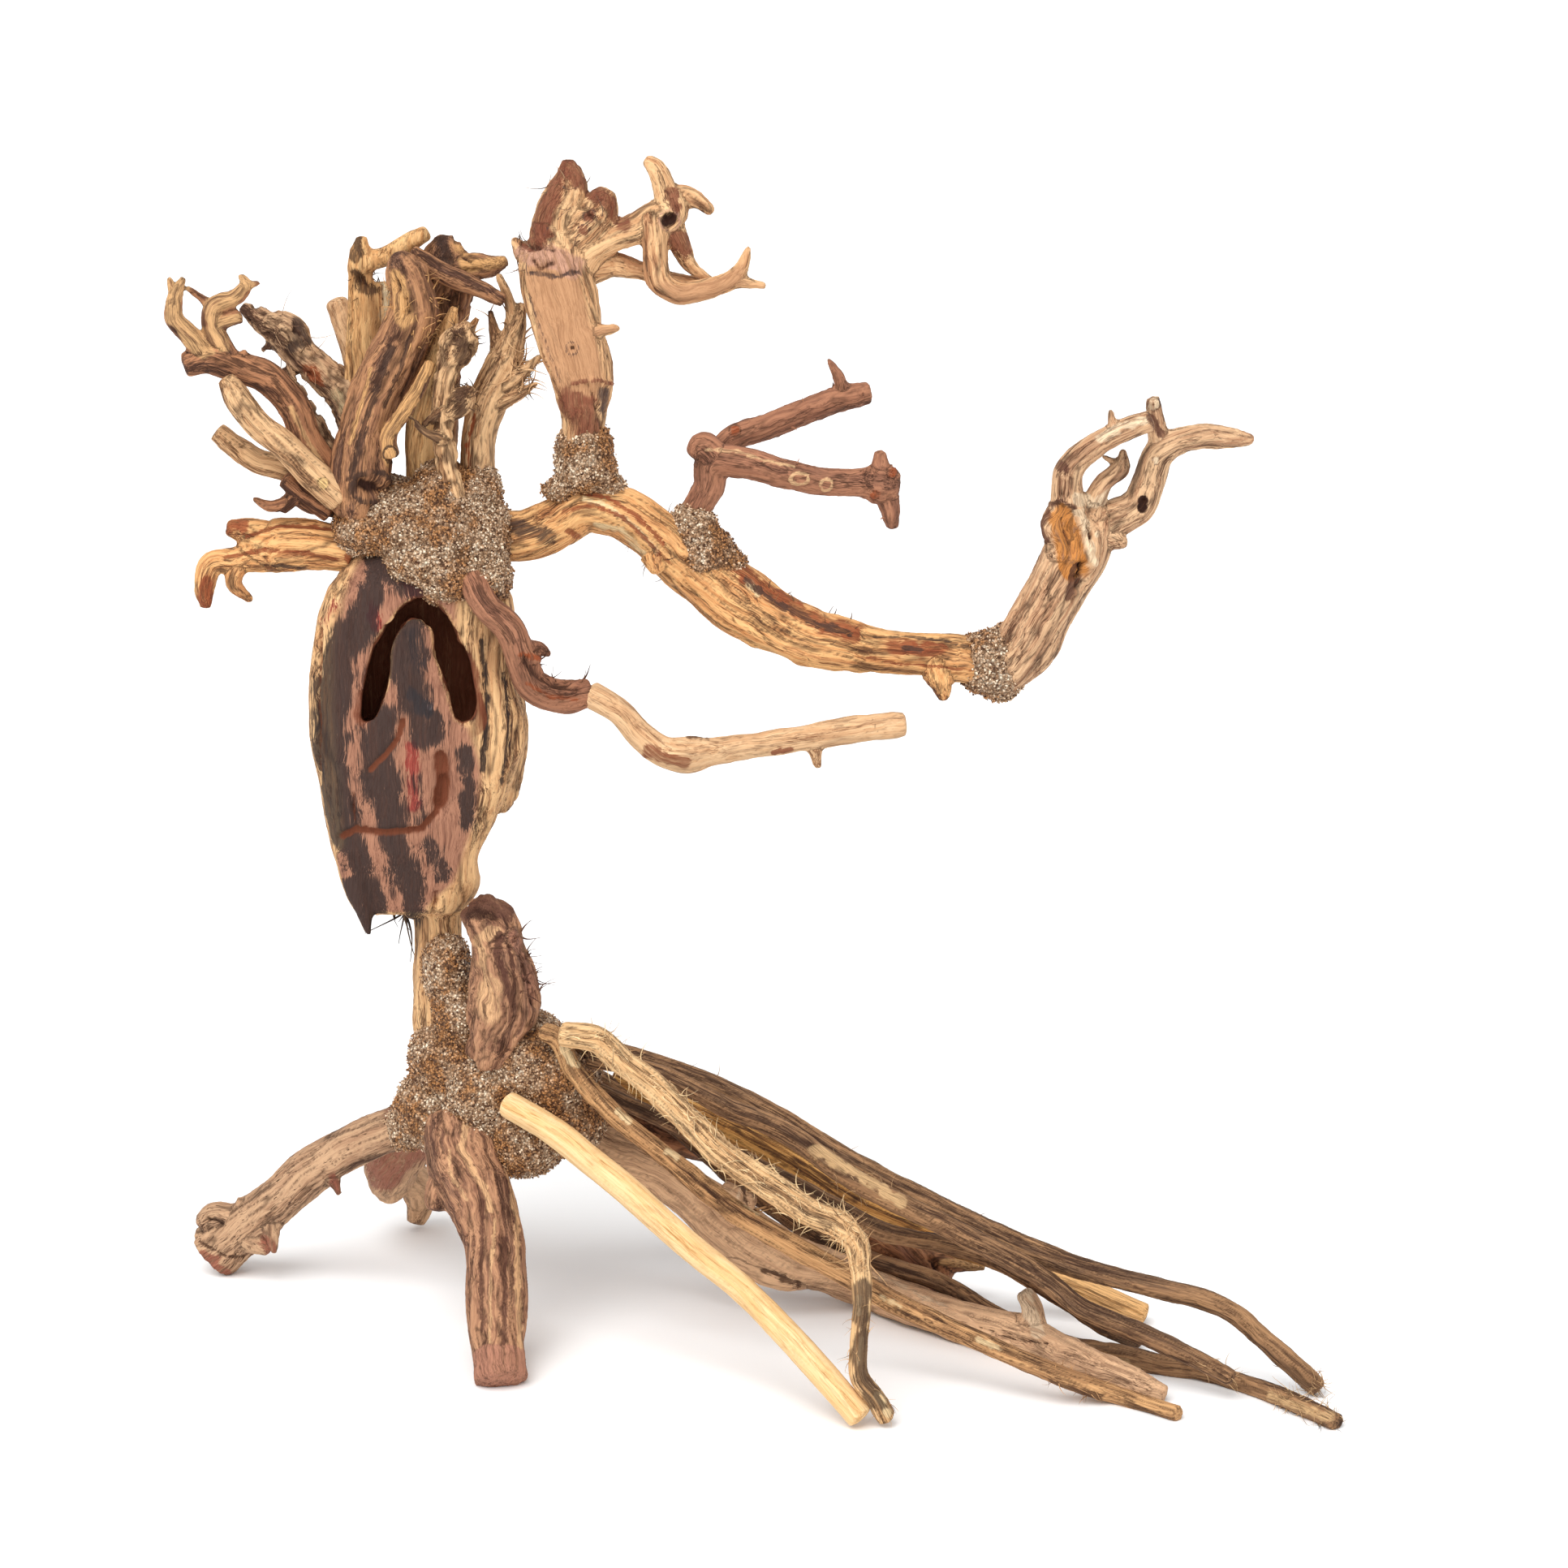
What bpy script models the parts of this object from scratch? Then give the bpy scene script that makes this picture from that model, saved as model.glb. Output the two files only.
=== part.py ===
"""Aquarium driftwood: weathered wood pieces joined with lumps of sand and glue.

Every limb is drawn as it looks from the front. A point on it has four values in
millimetres: how far across the drawing it is, how far up, how deep behind the
trunk it lies (negative is nearer the viewer) and the limb's radius there. The
drawing is made from a little above, so seen() turns such a point into a place.
"""

import math

import bmesh
import bpy
from mathutils import Vector, noise

MM = 0.001
GAP = 0.3                    # clearance between pieces that touch

# The drawing: seen from above at this tilt, from this far, aimed at this height
DRAWING_TILT = math.radians(15)
DRAWING_DISTANCE = 1600
DRAWING_HEIGHT = 170

# The model's origin lies under the middle of the drawn object
MIDDLE_ACROSS = -12.0
MIDDLE_DEPTH = -15.5

GROUND = None                # a depth of GROUND lies the limb on the ground
SINK = 0.5                   # how far a limb's round underside is worn flat there

BARK_LUMP = 0.09             # unevenness of a limb, as a share of its radius
BARK_SCALE = 14.0            # size of that unevenness
BARK_SEED = 7

GROUND_BLOCK = (600, 600, 80)    # block under the ground that wears the undersides flat
LIMB_WELD = 0.01             # a tube's end cap is welded to its wall within this distance
CUT_WELD = 0.002             # the same for the edge of a cut

# Trunk: height on the drawing, left edge, right edge, front depth, back depth
TRUNK_SECTIONS = [
    (70, -133, -93, -17, 17),
    (61, -140, -85, -21, 20),
    (53, -143, -83.5, -22, 22),
    (32, -146, -82.5, -22, 23),
    (16, -146, -79, -22, 23),
    (0, -143, -84, -22, 22),
    (-11, -141, -89.5, -21, 20),
    (-22, -138.5, -94.5, -20, 17),
    (-32, -135, -94, -18, 14),
    (-40, -131, -99, -16, 11),
]
TRUNK_CORNERS = 16
TRUNK_FLATNESS = 0.35        # lower is a flatter sawn front
TRUNK_STEM = [
    (-107, -26, 0, 9.5), (-106, -42, 0, 8.6), (-106.5, -58, 0, 8), (-106.5, -74, 0, 8), (-104, -88, 0, 8.5),
]
TRUNK_SPLINTER = [(-134, -20, -14, 5), (-131.5, -33, -14, 3.8), (-129, -41, -14, 2.4), (-127.8, -46.5, -14, 1)]
TRUNK_TIP = [(-118, -30, -10, 6.5), (-115.5, -37, -11, 4), (-113.5, -41.5, -12, 1.6)]
TRUNK_FOLD = [(-96, 60, 4, 8), (-90, 30, 6, 9.5), (-88, 14, 6, 9.5), (-93, -6, 4, 8)]

# The trunk's arched hollow runs round a tongue of core wood
HOLLOW_OUTLINE = [
    (-130.5, 19), (-129, 32), (-125, 45), (-119.5, 53), (-112, 58), (-104, 53), (-100, 45), (-96.5, 32), (-96, 22),
    (-99, 18), (-102, 22), (-104, 29), (-108, 40), (-109.5, 48), (-114.5, 50.5), (-119.5, 44.5), (-121.5, 33),
    (-124, 26), (-127, 20),
]
HOLLOW_FRONT = -34.0
HOLLOW_BACK = 6.0

KNOT_PIECE = [
    [(-94.5, -38, -20, 6), (-91, -43, -20, 8.5), (-88, -52, -20, 10), (-86, -63.5, -20, 10.8),
     (-88.5, -74, -19, 9.5), (-91.5, -84, -17, 8)],
    [(-89, -48, -24, 5), (-82, -46, -24, 3)],
]
KNOT_HOLLOW = [(-78.5, -63.5, -24, 3.2)]

MAIN_ARM = [
    [(-93, 76, 0, 8.2), (-78, 77, -4, 8.2), (-69, 81, -6, 8), (-61, 85.5, -8, 7.8), (-52, 84, -8, 7.8),
     (-41, 78, -6, 8.2), (-32, 70.5, -4, 8.8), (-22.5, 63, -4, 9), (-13, 56, -6, 9.6), (0.5, 48, -8, 8.6),
     (14.5, 43.5, -8, 7.7), (28, 41, -6, 7), (42, 40, -4, 7), (56, 38, -2, 7.5), (62, 37, -1, 6.5)],
    [(46, 38, -6, 5), (48, 32, -8, 3.5), (49.5, 26, -9, 1.5)],
    [(-40, 70, -10, 4), (-39, 65, -12, 1.6)],
]

ARM_TIP = [
    [(65.5, 32, 0, 7), (69.5, 37, 0, 8.7), (73.5, 42, 0, 9.6), (79.5, 52, 0, 9.7), (85.5, 62, 0, 9.9),
     (90, 71, 0, 10), (92, 80, 0, 8.8)],
    [(89, 77, -2, 7), (87.5, 88, -4, 5.4), (88, 97, -5, 4.6), (96.5, 104.5, -6, 3.9), (104, 108.5, -7, 3.7),
     (113, 112, -8, 3.5)],
    [(101.5, 107, -7, 2), (100.5, 115.5, -8, 1)],
    [(92, 77, 2, 8), (101, 81.5, 3, 6.6), (110, 87, 4, 6), (112.5, 94, 4, 5.4), (116, 102, 3, 5),
     (122, 105.5, 3, 4.5), (129, 107, 4, 4.1), (138, 106.5, 5, 3.3), (144.5, 106, 5, 1.6)],
    [(116, 103, 3, 3.6), (114.6, 112, 3, 3), (113.5, 118.5, 2, 2.4)],
    [(98, 76, -1, 4), (105.5, 74, -2, 2)],
    [(95, 86, 0, 3.6), (98.5, 93, -1, 3), (104, 97.5, -1, 2.8), (104.5, 103, -1, 1.2)],
    [(104, 98, 0, 1.6), (98, 101, 0, 0.8)],
]
ARM_TIP_HOLLOWS = [(87.5, 79, -9, 4.2), (86, 72, -10, 4.6), (85, 65, -10, 4.2), (110.5, 86.5, -2.5, 2.2)]

MAST = [
    [(-61.5, 104, -8, 7), (-61.5, 113, -8, 7.6), (-61.8, 119, -8, 8.6), (-62.5, 127, -8, 9.8), (-66, 139, -8, 10.2),
     (-69, 151, -8, 10.6), (-71.5, 161, -8, 10.2), (-73, 168, -8, 7)],
    [(-72, 165, -6, 8), (-70, 176, -6, 7), (-66, 186, -6, 5.2), (-66.5, 192, -6, 2.2)],
    [(-66, 168, -6, 7), (-57, 177, -6, 6.4), (-55, 182.5, -6, 3.4)],
    [(-64, 160, -6, 6), (-59.5, 165, -6, 5.2), (-52.5, 168.5, -6, 5), (-45.5, 171, -6, 5), (-40, 174, -6, 5.4),
     (-35.5, 175.5, -6, 6), (-37, 184, -6, 3.6), (-39.5, 190, -6, 2.8), (-42.5, 192.5, -6, 1.8)],
    [(-35.5, 178, -5, 4), (-31.5, 182, -5, 3), (-27, 180, -5, 2.8), (-22, 176, -5, 1.8)],
    [(-35, 172, -5, 4.6), (-31.5, 165, -4, 3.6), (-29, 160, -4, 2.4), (-22, 154.5, -4, 1.4)],
    [(-40, 173, -8, 4.4), (-39.5, 162, -9, 4.1), (-38, 155, -10, 4.2), (-33, 151.5, -11, 3.8), (-24, 152.5, -12, 3.6),
     (-17, 155, -12, 3.2), (-12.5, 160, -12, 2.2), (-11, 165.5, -12, 1)],
    [(-16, 155, -12, 2.6), (-5.5, 153.5, -13, 1.2)],
    [(-60, 158, -2, 4.4), (-52.5, 160, -2, 4), (-45.5, 158.5, -2, 3.2), (-35, 155.5, 0, 2.6), (-25, 154.5, 2, 1.8)],
    [(-60, 139, -12, 3), (-51, 140.5, -13, 1.4)],
    [(-76, 160, -6, 4), (-80.5, 164, -6, 3), (-83.5, 168, -6, 1.2)],
]
MAST_HOLE = [(-35, 175, -12, 2.4)]
MAST_FACE = -15.5            # depth of the mast's sawn front
MAST_SLICE = (44, 40, 50)    # what was sawn off there: width, thickness, height
MAST_SLICE_MIDDLE = (-67, 142)
MAST_SLICE_LEAN = math.radians(4)

FORKED_TWIG = [
    [(-28.5, 78, -5, 5), (-27, 84, -4, 4.8), (-23, 92, -4, 5), (-22, 99, -5, 5.2), (-13, 99, -8, 5),
     (0.5, 95.5, -12, 4.6), (14.5, 93, -14, 4.2), (24, 93, -15, 4.2), (30.5, 92.5, -15, 6), (35, 92.5, -15, 3.6)],
    [(-20, 100, -6, 4.8), (-25.5, 104, -6, 4.4), (-27.5, 101, -6, 3)],
    [(30, 94, -15, 3.8), (29.5, 102.5, -16, 1.6)],
    [(31, 91, -15, 4), (32.5, 85, -15, 3.4), (33.5, 79, -15, 2)],
    [(-22, 99, 0, 4.6), (-16, 106, 4, 4.5), (-4, 110.5, 8, 4.2), (10, 116, 12, 4), (21, 119.5, 14, 4),
     (26, 120.5, 15, 3.4)],
    [(19, 119, 13, 2.4), (16, 127, 12, 1.8), (13.5, 131, 12, 0.8)],
]

LOWER_ARM = [
    [(-96, 63, -20, 4.6), (-91, 54, -27, 4.8), (-85, 48.5, -28, 5), (-81.5, 39, -27, 5.3), (-77.5, 30.5, -23, 5.5),
     (-67, 27, -16, 5.2), (-60.5, 28, -13, 4.8)],
    [(-81, 40, -26, 4), (-75, 41.5, -25, 2.4), (-72, 39.5, -25, 1)],
]
LOWER_ARM_HOLLOW = [(-80, 33.5, -30, 3.4), (-75, 31, -27, 3)]
LOWER_ARM_TIP = [
    [(-60, 28, -13, 4.6), (-50, 21.5, -16, 4.5), (-44, 15, -19, 4.6), (-37, 10, -21, 5), (-30, 9, -22, 5.8),
     (-22, 10, -22, 4.6), (-8, 12, -21, 4), (8.5, 14.5, -20, 4), (24, 17, -19, 4), (37, 18.5, -18, 3.6)],
    [(9, 13, -20, 3), (10.5, 5, -20, 1.2)],
]

CROWN_BRANCH = [
    [(-131, 84, -9, 8), (-130.5, 94, -10, 10), (-128.5, 110, -9, 8.8), (-123.5, 123, -8, 8.5), (-117.5, 135, -8, 8.2),
     (-114, 145, -8, 7.4), (-114.5, 153, -8, 6.4), (-117.5, 160, -7, 5), (-119, 163.5, -6, 2.4)],
    [(-109, 130, -14, 2), (-112, 123, -17, 2.4), (-117, 115, -19, 2.6), (-122, 106, -20, 2.8), (-121, 101, -20, 3.2)],
]
CROWN_POCKET = [(-119, 152, -13.5, 3.4), (-118, 146, -14, 3)]

BOARD_SIZE = (7.6, 4.2, 50)
BOARD_MIDDLE = (-131, 141, 7)
BOARD_LEAN = math.radians(-2)
BOARD_SLAB_SIZE = (5.5, 5, 24)
BOARD_SLAB_MIDDLE = (-124.5, 143, 8)
BOARD_LIMBS = [
    [(-131, 158, 7, 4), (-130.5, 164, 7, 3.4), (-130, 168.5, 7, 1.8)],
    [(-130, 160.5, 7, 3.6), (-122, 163, 6, 3.2), (-113.5, 168, 5, 3), (-110, 170, 5, 2.6)],
    [(-131, 124, 7, 3.4), (-129.5, 112, 6, 3.4), (-128, 98, 6, 3)],
]

CROWN_BACK = [
    [(-107, 88, 9, 5.5), (-106, 112, 9, 6), (-107, 138, 9, 6.4), (-108, 150, 9, 6.2), (-104.5, 163, 9, 6.4),
     (-104, 168.5, 9, 3)],
    [(-105, 158, 8, 5.4), (-97, 159.5, 7, 5), (-91, 159.5, 6, 4), (-85.5, 161, 5, 2)],
    [(-104, 122, 12, 4.5), (-101, 146, 12, 4.6), (-98, 157, 9, 4.4)],
]
CROWN_STICK = [[(-114.5, 164, 0, 2.6), (-105, 157.5, -1, 3.4), (-96, 153.5, -2, 3), (-86.5, 149, -3, 2.2)]]
CROWN_FORK = [
    [(-111, 87, -1, 5.4), (-111.5, 104, -1, 5.4), (-110, 118, -1, 5), (-108, 128, -1, 4.2), (-103, 141, -2, 2.8),
     (-101.5, 147, -2, 1.2)],
    [(-108, 120, -2, 3.6), (-102.5, 129, -5, 2.8), (-94.5, 143.5, -6, 1)],
]
CROWN_STEM = [
    [(-102, 88, -14, 4.2), (-104, 99, -14, 4), (-105, 113, -14, 3.8), (-104, 127, -14, 3.8), (-99, 137.5, -13, 5.4),
     (-97, 142, -13, 2)],
    [(-104, 114, -14, 3.4), (-98.5, 119, -15, 4.2), (-96, 122, -15, 1.6)],
    [(-104, 106, -16, 2), (-110, 108, -19, 1.3), (-116, 114, -21, 0.8)],
    [(-105, 116, -16, 1.8), (-113, 108.5, -17, 0.8)],
]
CROWN_SPRAY = [
    [(-94, 86, 0, 6), (-94.5, 97, 0, 5.8), (-94, 107, 0, 5.6), (-91, 118.5, 0, 6.2), (-86.5, 128.5, 0, 5.4),
     (-83, 139, 0, 3.4), (-80.5, 148, 0, 1.2)],
    [(-87, 128, 1, 3.6), (-89, 138, 1, 2), (-90.5, 146, 1, 0.9)],
    [(-88, 122, -2, 3.4), (-80, 127, -4, 2.2), (-75, 132, -5, 0.9)],
    [(-89, 117, -2, 3.4), (-82, 120, -4, 2), (-76, 123.5, -5, 0.9)],
    [(-84, 138, 0, 2.2), (-84.5, 148, 0, 1.8), (-88, 157, 0, 1.2)],
]

ANTLER_BRANCH = [
    [(-133, 84, -4, 5.2), (-140.5, 95, -5, 5.2), (-147, 106, -6, 5), (-152.5, 118.5, -7, 4.8), (-159, 125, -8, 4.8),
     (-169, 128.5, -9, 4.5), (-177.5, 131, -10, 4.5), (-184.5, 129, -11, 3.4)],
    [(-178, 131, -10, 3.8), (-182, 137, -11, 3.4), (-188, 144, -12, 3), (-187.5, 150, -12, 2.5), (-185, 156, -12, 0.9)],
    [(-187.5, 149, -12, 2), (-189.5, 156, -12, 0.8)],
    [(-170, 129, -9, 3.8), (-173, 135, -9, 3.4), (-176.5, 142, -9, 3.2), (-175.5, 147.5, -9, 3), (-169, 150, -9, 2.8),
     (-166, 154, -9, 2), (-167.5, 157, -9, 0.8)],
    [(-166.5, 153, -9, 1.8), (-161.5, 154.5, -9, 0.8)],
    [(-176, 147, -9, 1.8), (-184, 153, -10, 0.8)],
    [(-174, 142, -9, 2.6), (-167.5, 144, -9, 2.4)],
    [(-168, 129, -9, 2.4), (-166, 133.5, -9, 0.9)],
]
PALE_BRANCH = [
    [(-137, 88, -14, 5), (-144, 94.5, -15, 5), (-153.5, 104, -16, 4.5), (-163, 112, -17, 4.3), (-169, 120, -17, 4),
     (-172, 125, -17, 2.6)],
]
DARK_BRANCH = [
    [(-126, 87, 9, 5), (-130, 104, 9, 5.5), (-135, 120, 9, 6), (-142.5, 127, 9, 5.2), (-149, 133, 9, 5),
     (-153.5, 139, 9, 6), (-160, 142.5, 9, 4), (-167, 147, 9, 1.6)],
    [(-140, 103, 6, 3.2), (-146, 113, 6, 3.4), (-152, 123, 7, 2.8), (-154, 128, 7, 1.2)],
    [(-134, 97, 7, 3.4), (-140, 103, 6, 3.2)],
    [(-153, 137, 8, 3), (-161, 133.5, 8, 0.9)],
]
PALE_SLAB = [
    [(-127, 90, 16, 3), (-129.5, 112, 16, 3.6), (-131.5, 128, 16, 3.8), (-134.5, 140, 16, 4), (-138, 149, 16, 3.2)],
]
BACK_STUB = [[(-131, 84, 4, 4.6), (-140, 87, 5, 5), (-148, 88.5, 6, 4.6), (-151.5, 89, 6, 3)]]
PALE_CURL = [
    [(-141, 90, 2, 3.6), (-153.5, 97, 0, 3.8), (-162, 99.5, -1, 3.8), (-169, 104, -2, 3.6), (-174.5, 108.5, -2, 3)],
]
RED_STUB = [
    [(-140, 84, -5, 3.4), (-149, 90, -6, 3.4), (-153.5, 94, -7, 3)],
    [(-149, 90, -6, 3), (-155, 85, -7, 2.4)],
    [(-153, 87, -7, 2.2), (-158, 85.5, -8, 2), (-163.5, 88, -8, 0.9)],
]
LEFT_STUMP = [
    [(-133, 72, -5, 7.6), (-146.5, 73.5, -5, 8.2), (-157, 73, -5, 8.2), (-162, 73, -5, 6.4)],
    [(-156, 75, -5, 6), (-166.5, 78, -5, 4.4), (-171.5, 79, -5, 2.6)],
    [(-158, 71, -6, 6), (-169, 69, -6, 4.2), (-176, 68, -6, 3.8), (-178.5, 61.5, -6, 3.6), (-178, 54.5, -6, 2)],
    [(-167, 69, -7, 3), (-169.5, 62, -8, 2.6), (-164, 56.5, -8, 1.2)],
]

LEFT_LEG = [
    [(-110, -101, 2, 7), (-118, -105, 4, 7.2), (-132, -111, 9, 7), (-145, -119, 14, 7), (-158, -130, 20, 7.2),
     (-167.5, -138, 25, 8.2), (-175, -144, 29, 8.6)],
    [(-168, -134, 24, 5), (-176, -133, 26, 4.4), (-180, -135, 27, 2.6)],
    [(-166, -136, 22, 4), (-168, -127.5, 22, 1)],
    [(-140, -118, 10, 3.4), (-137, -126.5, 9, 1)],
    [(-158, -136, 16, 3), (-157, -144.5, 13, 1)],
    [(-164, -140, 20, 5), (-158.5, -143.5, 17, 2)],
]
FRONT_LEG = [
    [(-100, -102, -12, 9.5), (-98.5, -112, -18, 11.5), (-97.5, -119, -23, 12), (-92, -130, -33, 10),
     (-89, -143, -43, 9), (-88.5, -157, -53, 9.2), (-88.5, -171, -62, 9.4), (-87, -183.5, -70, 9.3)],
    [(-100, -119, -22, 7), (-106, -126, -26, 5.4), (-107, -131, -28, 3.4)],
]
REAR_LEG = [
    [(-106, -98, 12, 7), (-115, -108, 30, 9), (-121, -118, 50, 9.2), (-121, -123, 60, 7)],
    [(-119, -119, 54, 6), (-112.5, -124, 66, 5.4), (-112, -129, 70, 4.8), (-113.5, -135, GROUND, 3)],
]
MAIN_ROOT = [
    [(-68, -106, 2, 6.4), (-52.5, -114.5, -1, 6.8), (-39.5, -119, -3, 7), (-26.5, -127.5, -5, 7.6),
     (-13.5, -138, -7, 8.8), (-0.5, -146, -9, 8.6), (12.5, -150, -8, 7.4), (25.5, -155, GROUND, 7),
     (38, -160, GROUND, 6.8), (59, -167, GROUND, 6.8), (75.5, -172, GROUND, 6.8), (92, -179.5, GROUND, 6.2),
     (109, -185.5, GROUND, 4.6), (117, -188.5, GROUND, 2.8)],
    [(77, -168, -50, 4.4), (76, -160, -49, 3.4), (73.5, -156.5, -48, 2.8)],
    [(-19, -126, -10, 4.4), (-10, -130, -13, 3.6)],
    [(-12, -146, -10, 5), (-3, -151, -12, 5.2), (6, -153, -12, 3.4)],
]
REAR_ROOT = [
    [(-64, -97, 13, 6), (-40, -106, 20, 6.6), (-20, -112, 25, 7), (5, -123, 25, 7.4), (25, -136, 15, 8),
     (37, -145, 6, 8.6), (46, -155.5, 0, 8.4)],
    [(40, -147, 3, 5), (52, -147.5, 2, 3.4), (62, -149, 2, 1)],
]
FRONT_STICK = [
    [(-85, -98.5, -27, 4.2), (-69.5, -108, -38, 4.4), (-59, -116.5, -46, 4.3), (-48.5, -125, -54, 4.3),
     (-37, -135.5, -62, 4.2), (-26.5, -144.5, -69, 4.2), (-13.5, -155, -78, 4.2), (-0.5, -168, -88, 4.2),
     (10, -179.5, -97, 4.2), (23.5, -195, GROUND, 4.2)],
]
REAR_STICK = [
    [(-52, -90, 8, 4), (-32.5, -98.5, 4, 4.3), (-5.5, -112, -2, 4.4), (26, -131, -8, 4.3), (80, -150.5, -16, 4.1),
     (111, -163.5, GROUND, 3.8)],
]

STRIPED_VINE = [
    [(-74, -76, -25, 3.2), (-70, -78, -27, 3.4), (-65.5, -87, -30, 3.4), (-59, -95, -33, 3.4), (-51, -103, -37, 3.3),
     (-35, -116, -43, 3.3), (-14.5, -132, -50, 3.3), (3, -142.5, -56, 3.3), (17, -150, -60, 3.3),
     (34.5, -160, -66, 3.3), (53, -168.5, -73, 3.2), (81, -180.5, -85, 3.2), (103.5, -188.5, GROUND, 3.1),
     (121.5, -194, GROUND, 2.6)],
]
FRAYED_VINE = [
    [(-68, -77, -34, 4), (-56, -79.5, -38, 4.4), (-50, -85.5, -42, 4.5), (-41, -92.5, -46, 4.4),
     (-32.5, -101, -50, 4.4), (-19, -114, -56, 4.2), (-1, -126, -63, 4.2), (8, -132, -68, 4), (16.5, -135.5, -73, 4),
     (22, -141, -79, 3.6), (23.5, -149, -84, 3.1), (24, -161, -91, 2.9), (23, -173, -97, 2.9), (23.5, -183, -102, 3),
     (28, -189, -104, 3.2), (31.5, -195, GROUND, 3.2)],
]
UPPER_VINE = [
    [(-64, -79, -18, 3.4), (-42, -85.5, -22, 3.5), (-32.5, -88.5, -24, 3.5), (-5.5, -101, -28, 3.5),
     (17, -114.5, -33, 3.5), (43.5, -128.5, -42, 3.5), (66, -139, -50, 3.5), (78.5, -144.5, -54, 3.5),
     (103.5, -152.5, -62, 3.5), (116, -155.5, -66, 3.5), (128.5, -158.5, -68, 3.5), (138.5, -163, -71, 3.4),
     (147, -170.5, -74, 3.3), (156, -178, -78, 3.2), (164.5, -186, GROUND, 3)],
]
PATCHED_VINE = [
    [(-60, -84, -27, 3.2), (-37, -90, -31, 3.3), (-14.5, -101, -36, 3.3), (-4, -105, -38, 3.3), (21, -121.5, -46, 3.3),
     (55.5, -139, -55, 3.3), (81, -153, -62, 3.3), (91, -161, -66, 3.3), (103.5, -166.5, -70, 3.3),
     (116, -172, -74, 3.2), (128.5, -178, -79, 3.1), (138, -183, -84, 2.8)],
]
INNER_VINE = [
    [(-58, -94, -12, 2.8), (-30, -107, -15, 2.9), (-2, -121, -19, 2.9), (17, -131, -22, 2.9), (31, -138, -25, 2.8),
     (47.5, -141.5, -29, 2.8), (64, -146, -33, 2.8), (75.5, -152.5, -37, 2.8), (86.5, -159, -41, 2.8),
     (98, -167, -45, 2.7), (109, -172, GROUND, 2.4)],
]
LOW_VINE = [
    [(-62, -88, 3, 2.9), (-34, -105, 8, 3), (-12, -124, 13, 3), (9.5, -139, 12, 3), (28, -147, -1, 3),
     (48, -153.5, -17, 3), (66, -164, -33, 3), (82, -171, GROUND, 3), (91, -174, GROUND, 3.2), (103.5, -176, -55, 3.2),
     (116, -179, -60, 3.2), (128.5, -180.5, -65, 3.1), (138, -183.5, -71, 3), (153.5, -189, GROUND, 3),
     (164, -193.5, GROUND, 3), (170, -196.5, GROUND, 2.8)],
]

# Lumps of the sand and glue joints: middle on the drawing, then half width, half height, half depth
UPPER_JOINT = [
    (-128, 79, -6, 11, 9, 15), (-116, 81, -6, 13, 13, 18), (-104, 80, -6, 13, 14, 19), (-94, 77, -5, 11, 12, 16),
    (-92, 63, -12, 8.5, 9, 13), (-103, 66, -10, 12, 11, 16), (-113, 70, -9, 11, 9, 16), (-106, 92, -6, 8.5, 8, 14),
    (-94, 91, -3, 7, 8, 11), (-125, 88, -4, 10, 8, 14),
]
LOWER_JOINT = [
    (-101, -84, -4, 15, 14, 16), (-92, -93, -8, 15, 17, 19), (-109, -99, -1, 11, 12, 15), (-116, -105, 3, 7.5, 8, 10),
    (-79, -85, -10, 15, 16, 18), (-70, -90, -12, 14, 15, 18), (-66, -103, -14, 12, 11, 16), (-80, -108, -12, 14, 13, 17),
    (-101, -104, -4, 13, 13, 17), (-104, -57, -6, 8, 13, 10), (-99, -70, -8, 9, 12, 13), (-84, -110, -20, 7, 11, 8),
]
MAST_JOINT = [(-61.5, 102, -8, 9, 9.5, 9.5), (-60, 96, -9, 9.5, 7, 10)]
TWIG_JOINT = [(-25, 72, -5, 10, 8.5, 9.5), (-28, 79, -5, 7.5, 7, 8)]
ELBOW_JOINT = [(62, 37.5, -1, 10, 10, 10), (66, 36, 0, 9.5, 10.5, 10)]

JOINT_VOXEL = 2.6
JOINT_SHARE = 0.2            # share of a joint's remeshed faces that is kept

SAND = (0.34, 0.24, 0.16)
DARK_BARK = (0.10, 0.06, 0.04)
TAN_WOOD = (0.50, 0.32, 0.17)
PALE_WOOD = (0.68, 0.47, 0.24)
GOLD_WOOD = (0.62, 0.36, 0.13)
GREY_BROWN = (0.27, 0.19, 0.13)
RED_BROWN = (0.22, 0.09, 0.05)
WOOD_ROUGHNESS = 0.8
SAND_ROUGHNESS = 0.95
SHARP_ANGLE = math.radians(50)   # edges sharper than this are shaded sharp


def seen(across, up, depth):
    """Place of a point of the drawing that lies at this depth."""
    level = DRAWING_DISTANCE * math.cos(DRAWING_TILT)
    eye_height = DRAWING_HEIGHT + DRAWING_DISTANCE * math.sin(DRAWING_TILT)
    reach = (depth + level) / (level + up * math.sin(DRAWING_TILT))
    drop = DRAWING_DISTANCE * math.sin(DRAWING_TILT) - up * math.cos(DRAWING_TILT)
    place = Vector((across * reach - MIDDLE_ACROSS, depth - MIDDLE_DEPTH, eye_height - reach * drop))
    return place * MM


def ground_depth(up, height):
    """Depth at which a drawn point lies this high over the ground."""
    eye_height = DRAWING_HEIGHT + DRAWING_DISTANCE * math.sin(DRAWING_TILT)
    drop = DRAWING_DISTANCE * math.sin(DRAWING_TILT) - up * math.cos(DRAWING_TILT)
    reach = (eye_height - height) / drop
    level = DRAWING_DISTANCE * math.cos(DRAWING_TILT)
    return reach * (level + up * math.sin(DRAWING_TILT)) - level


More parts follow.
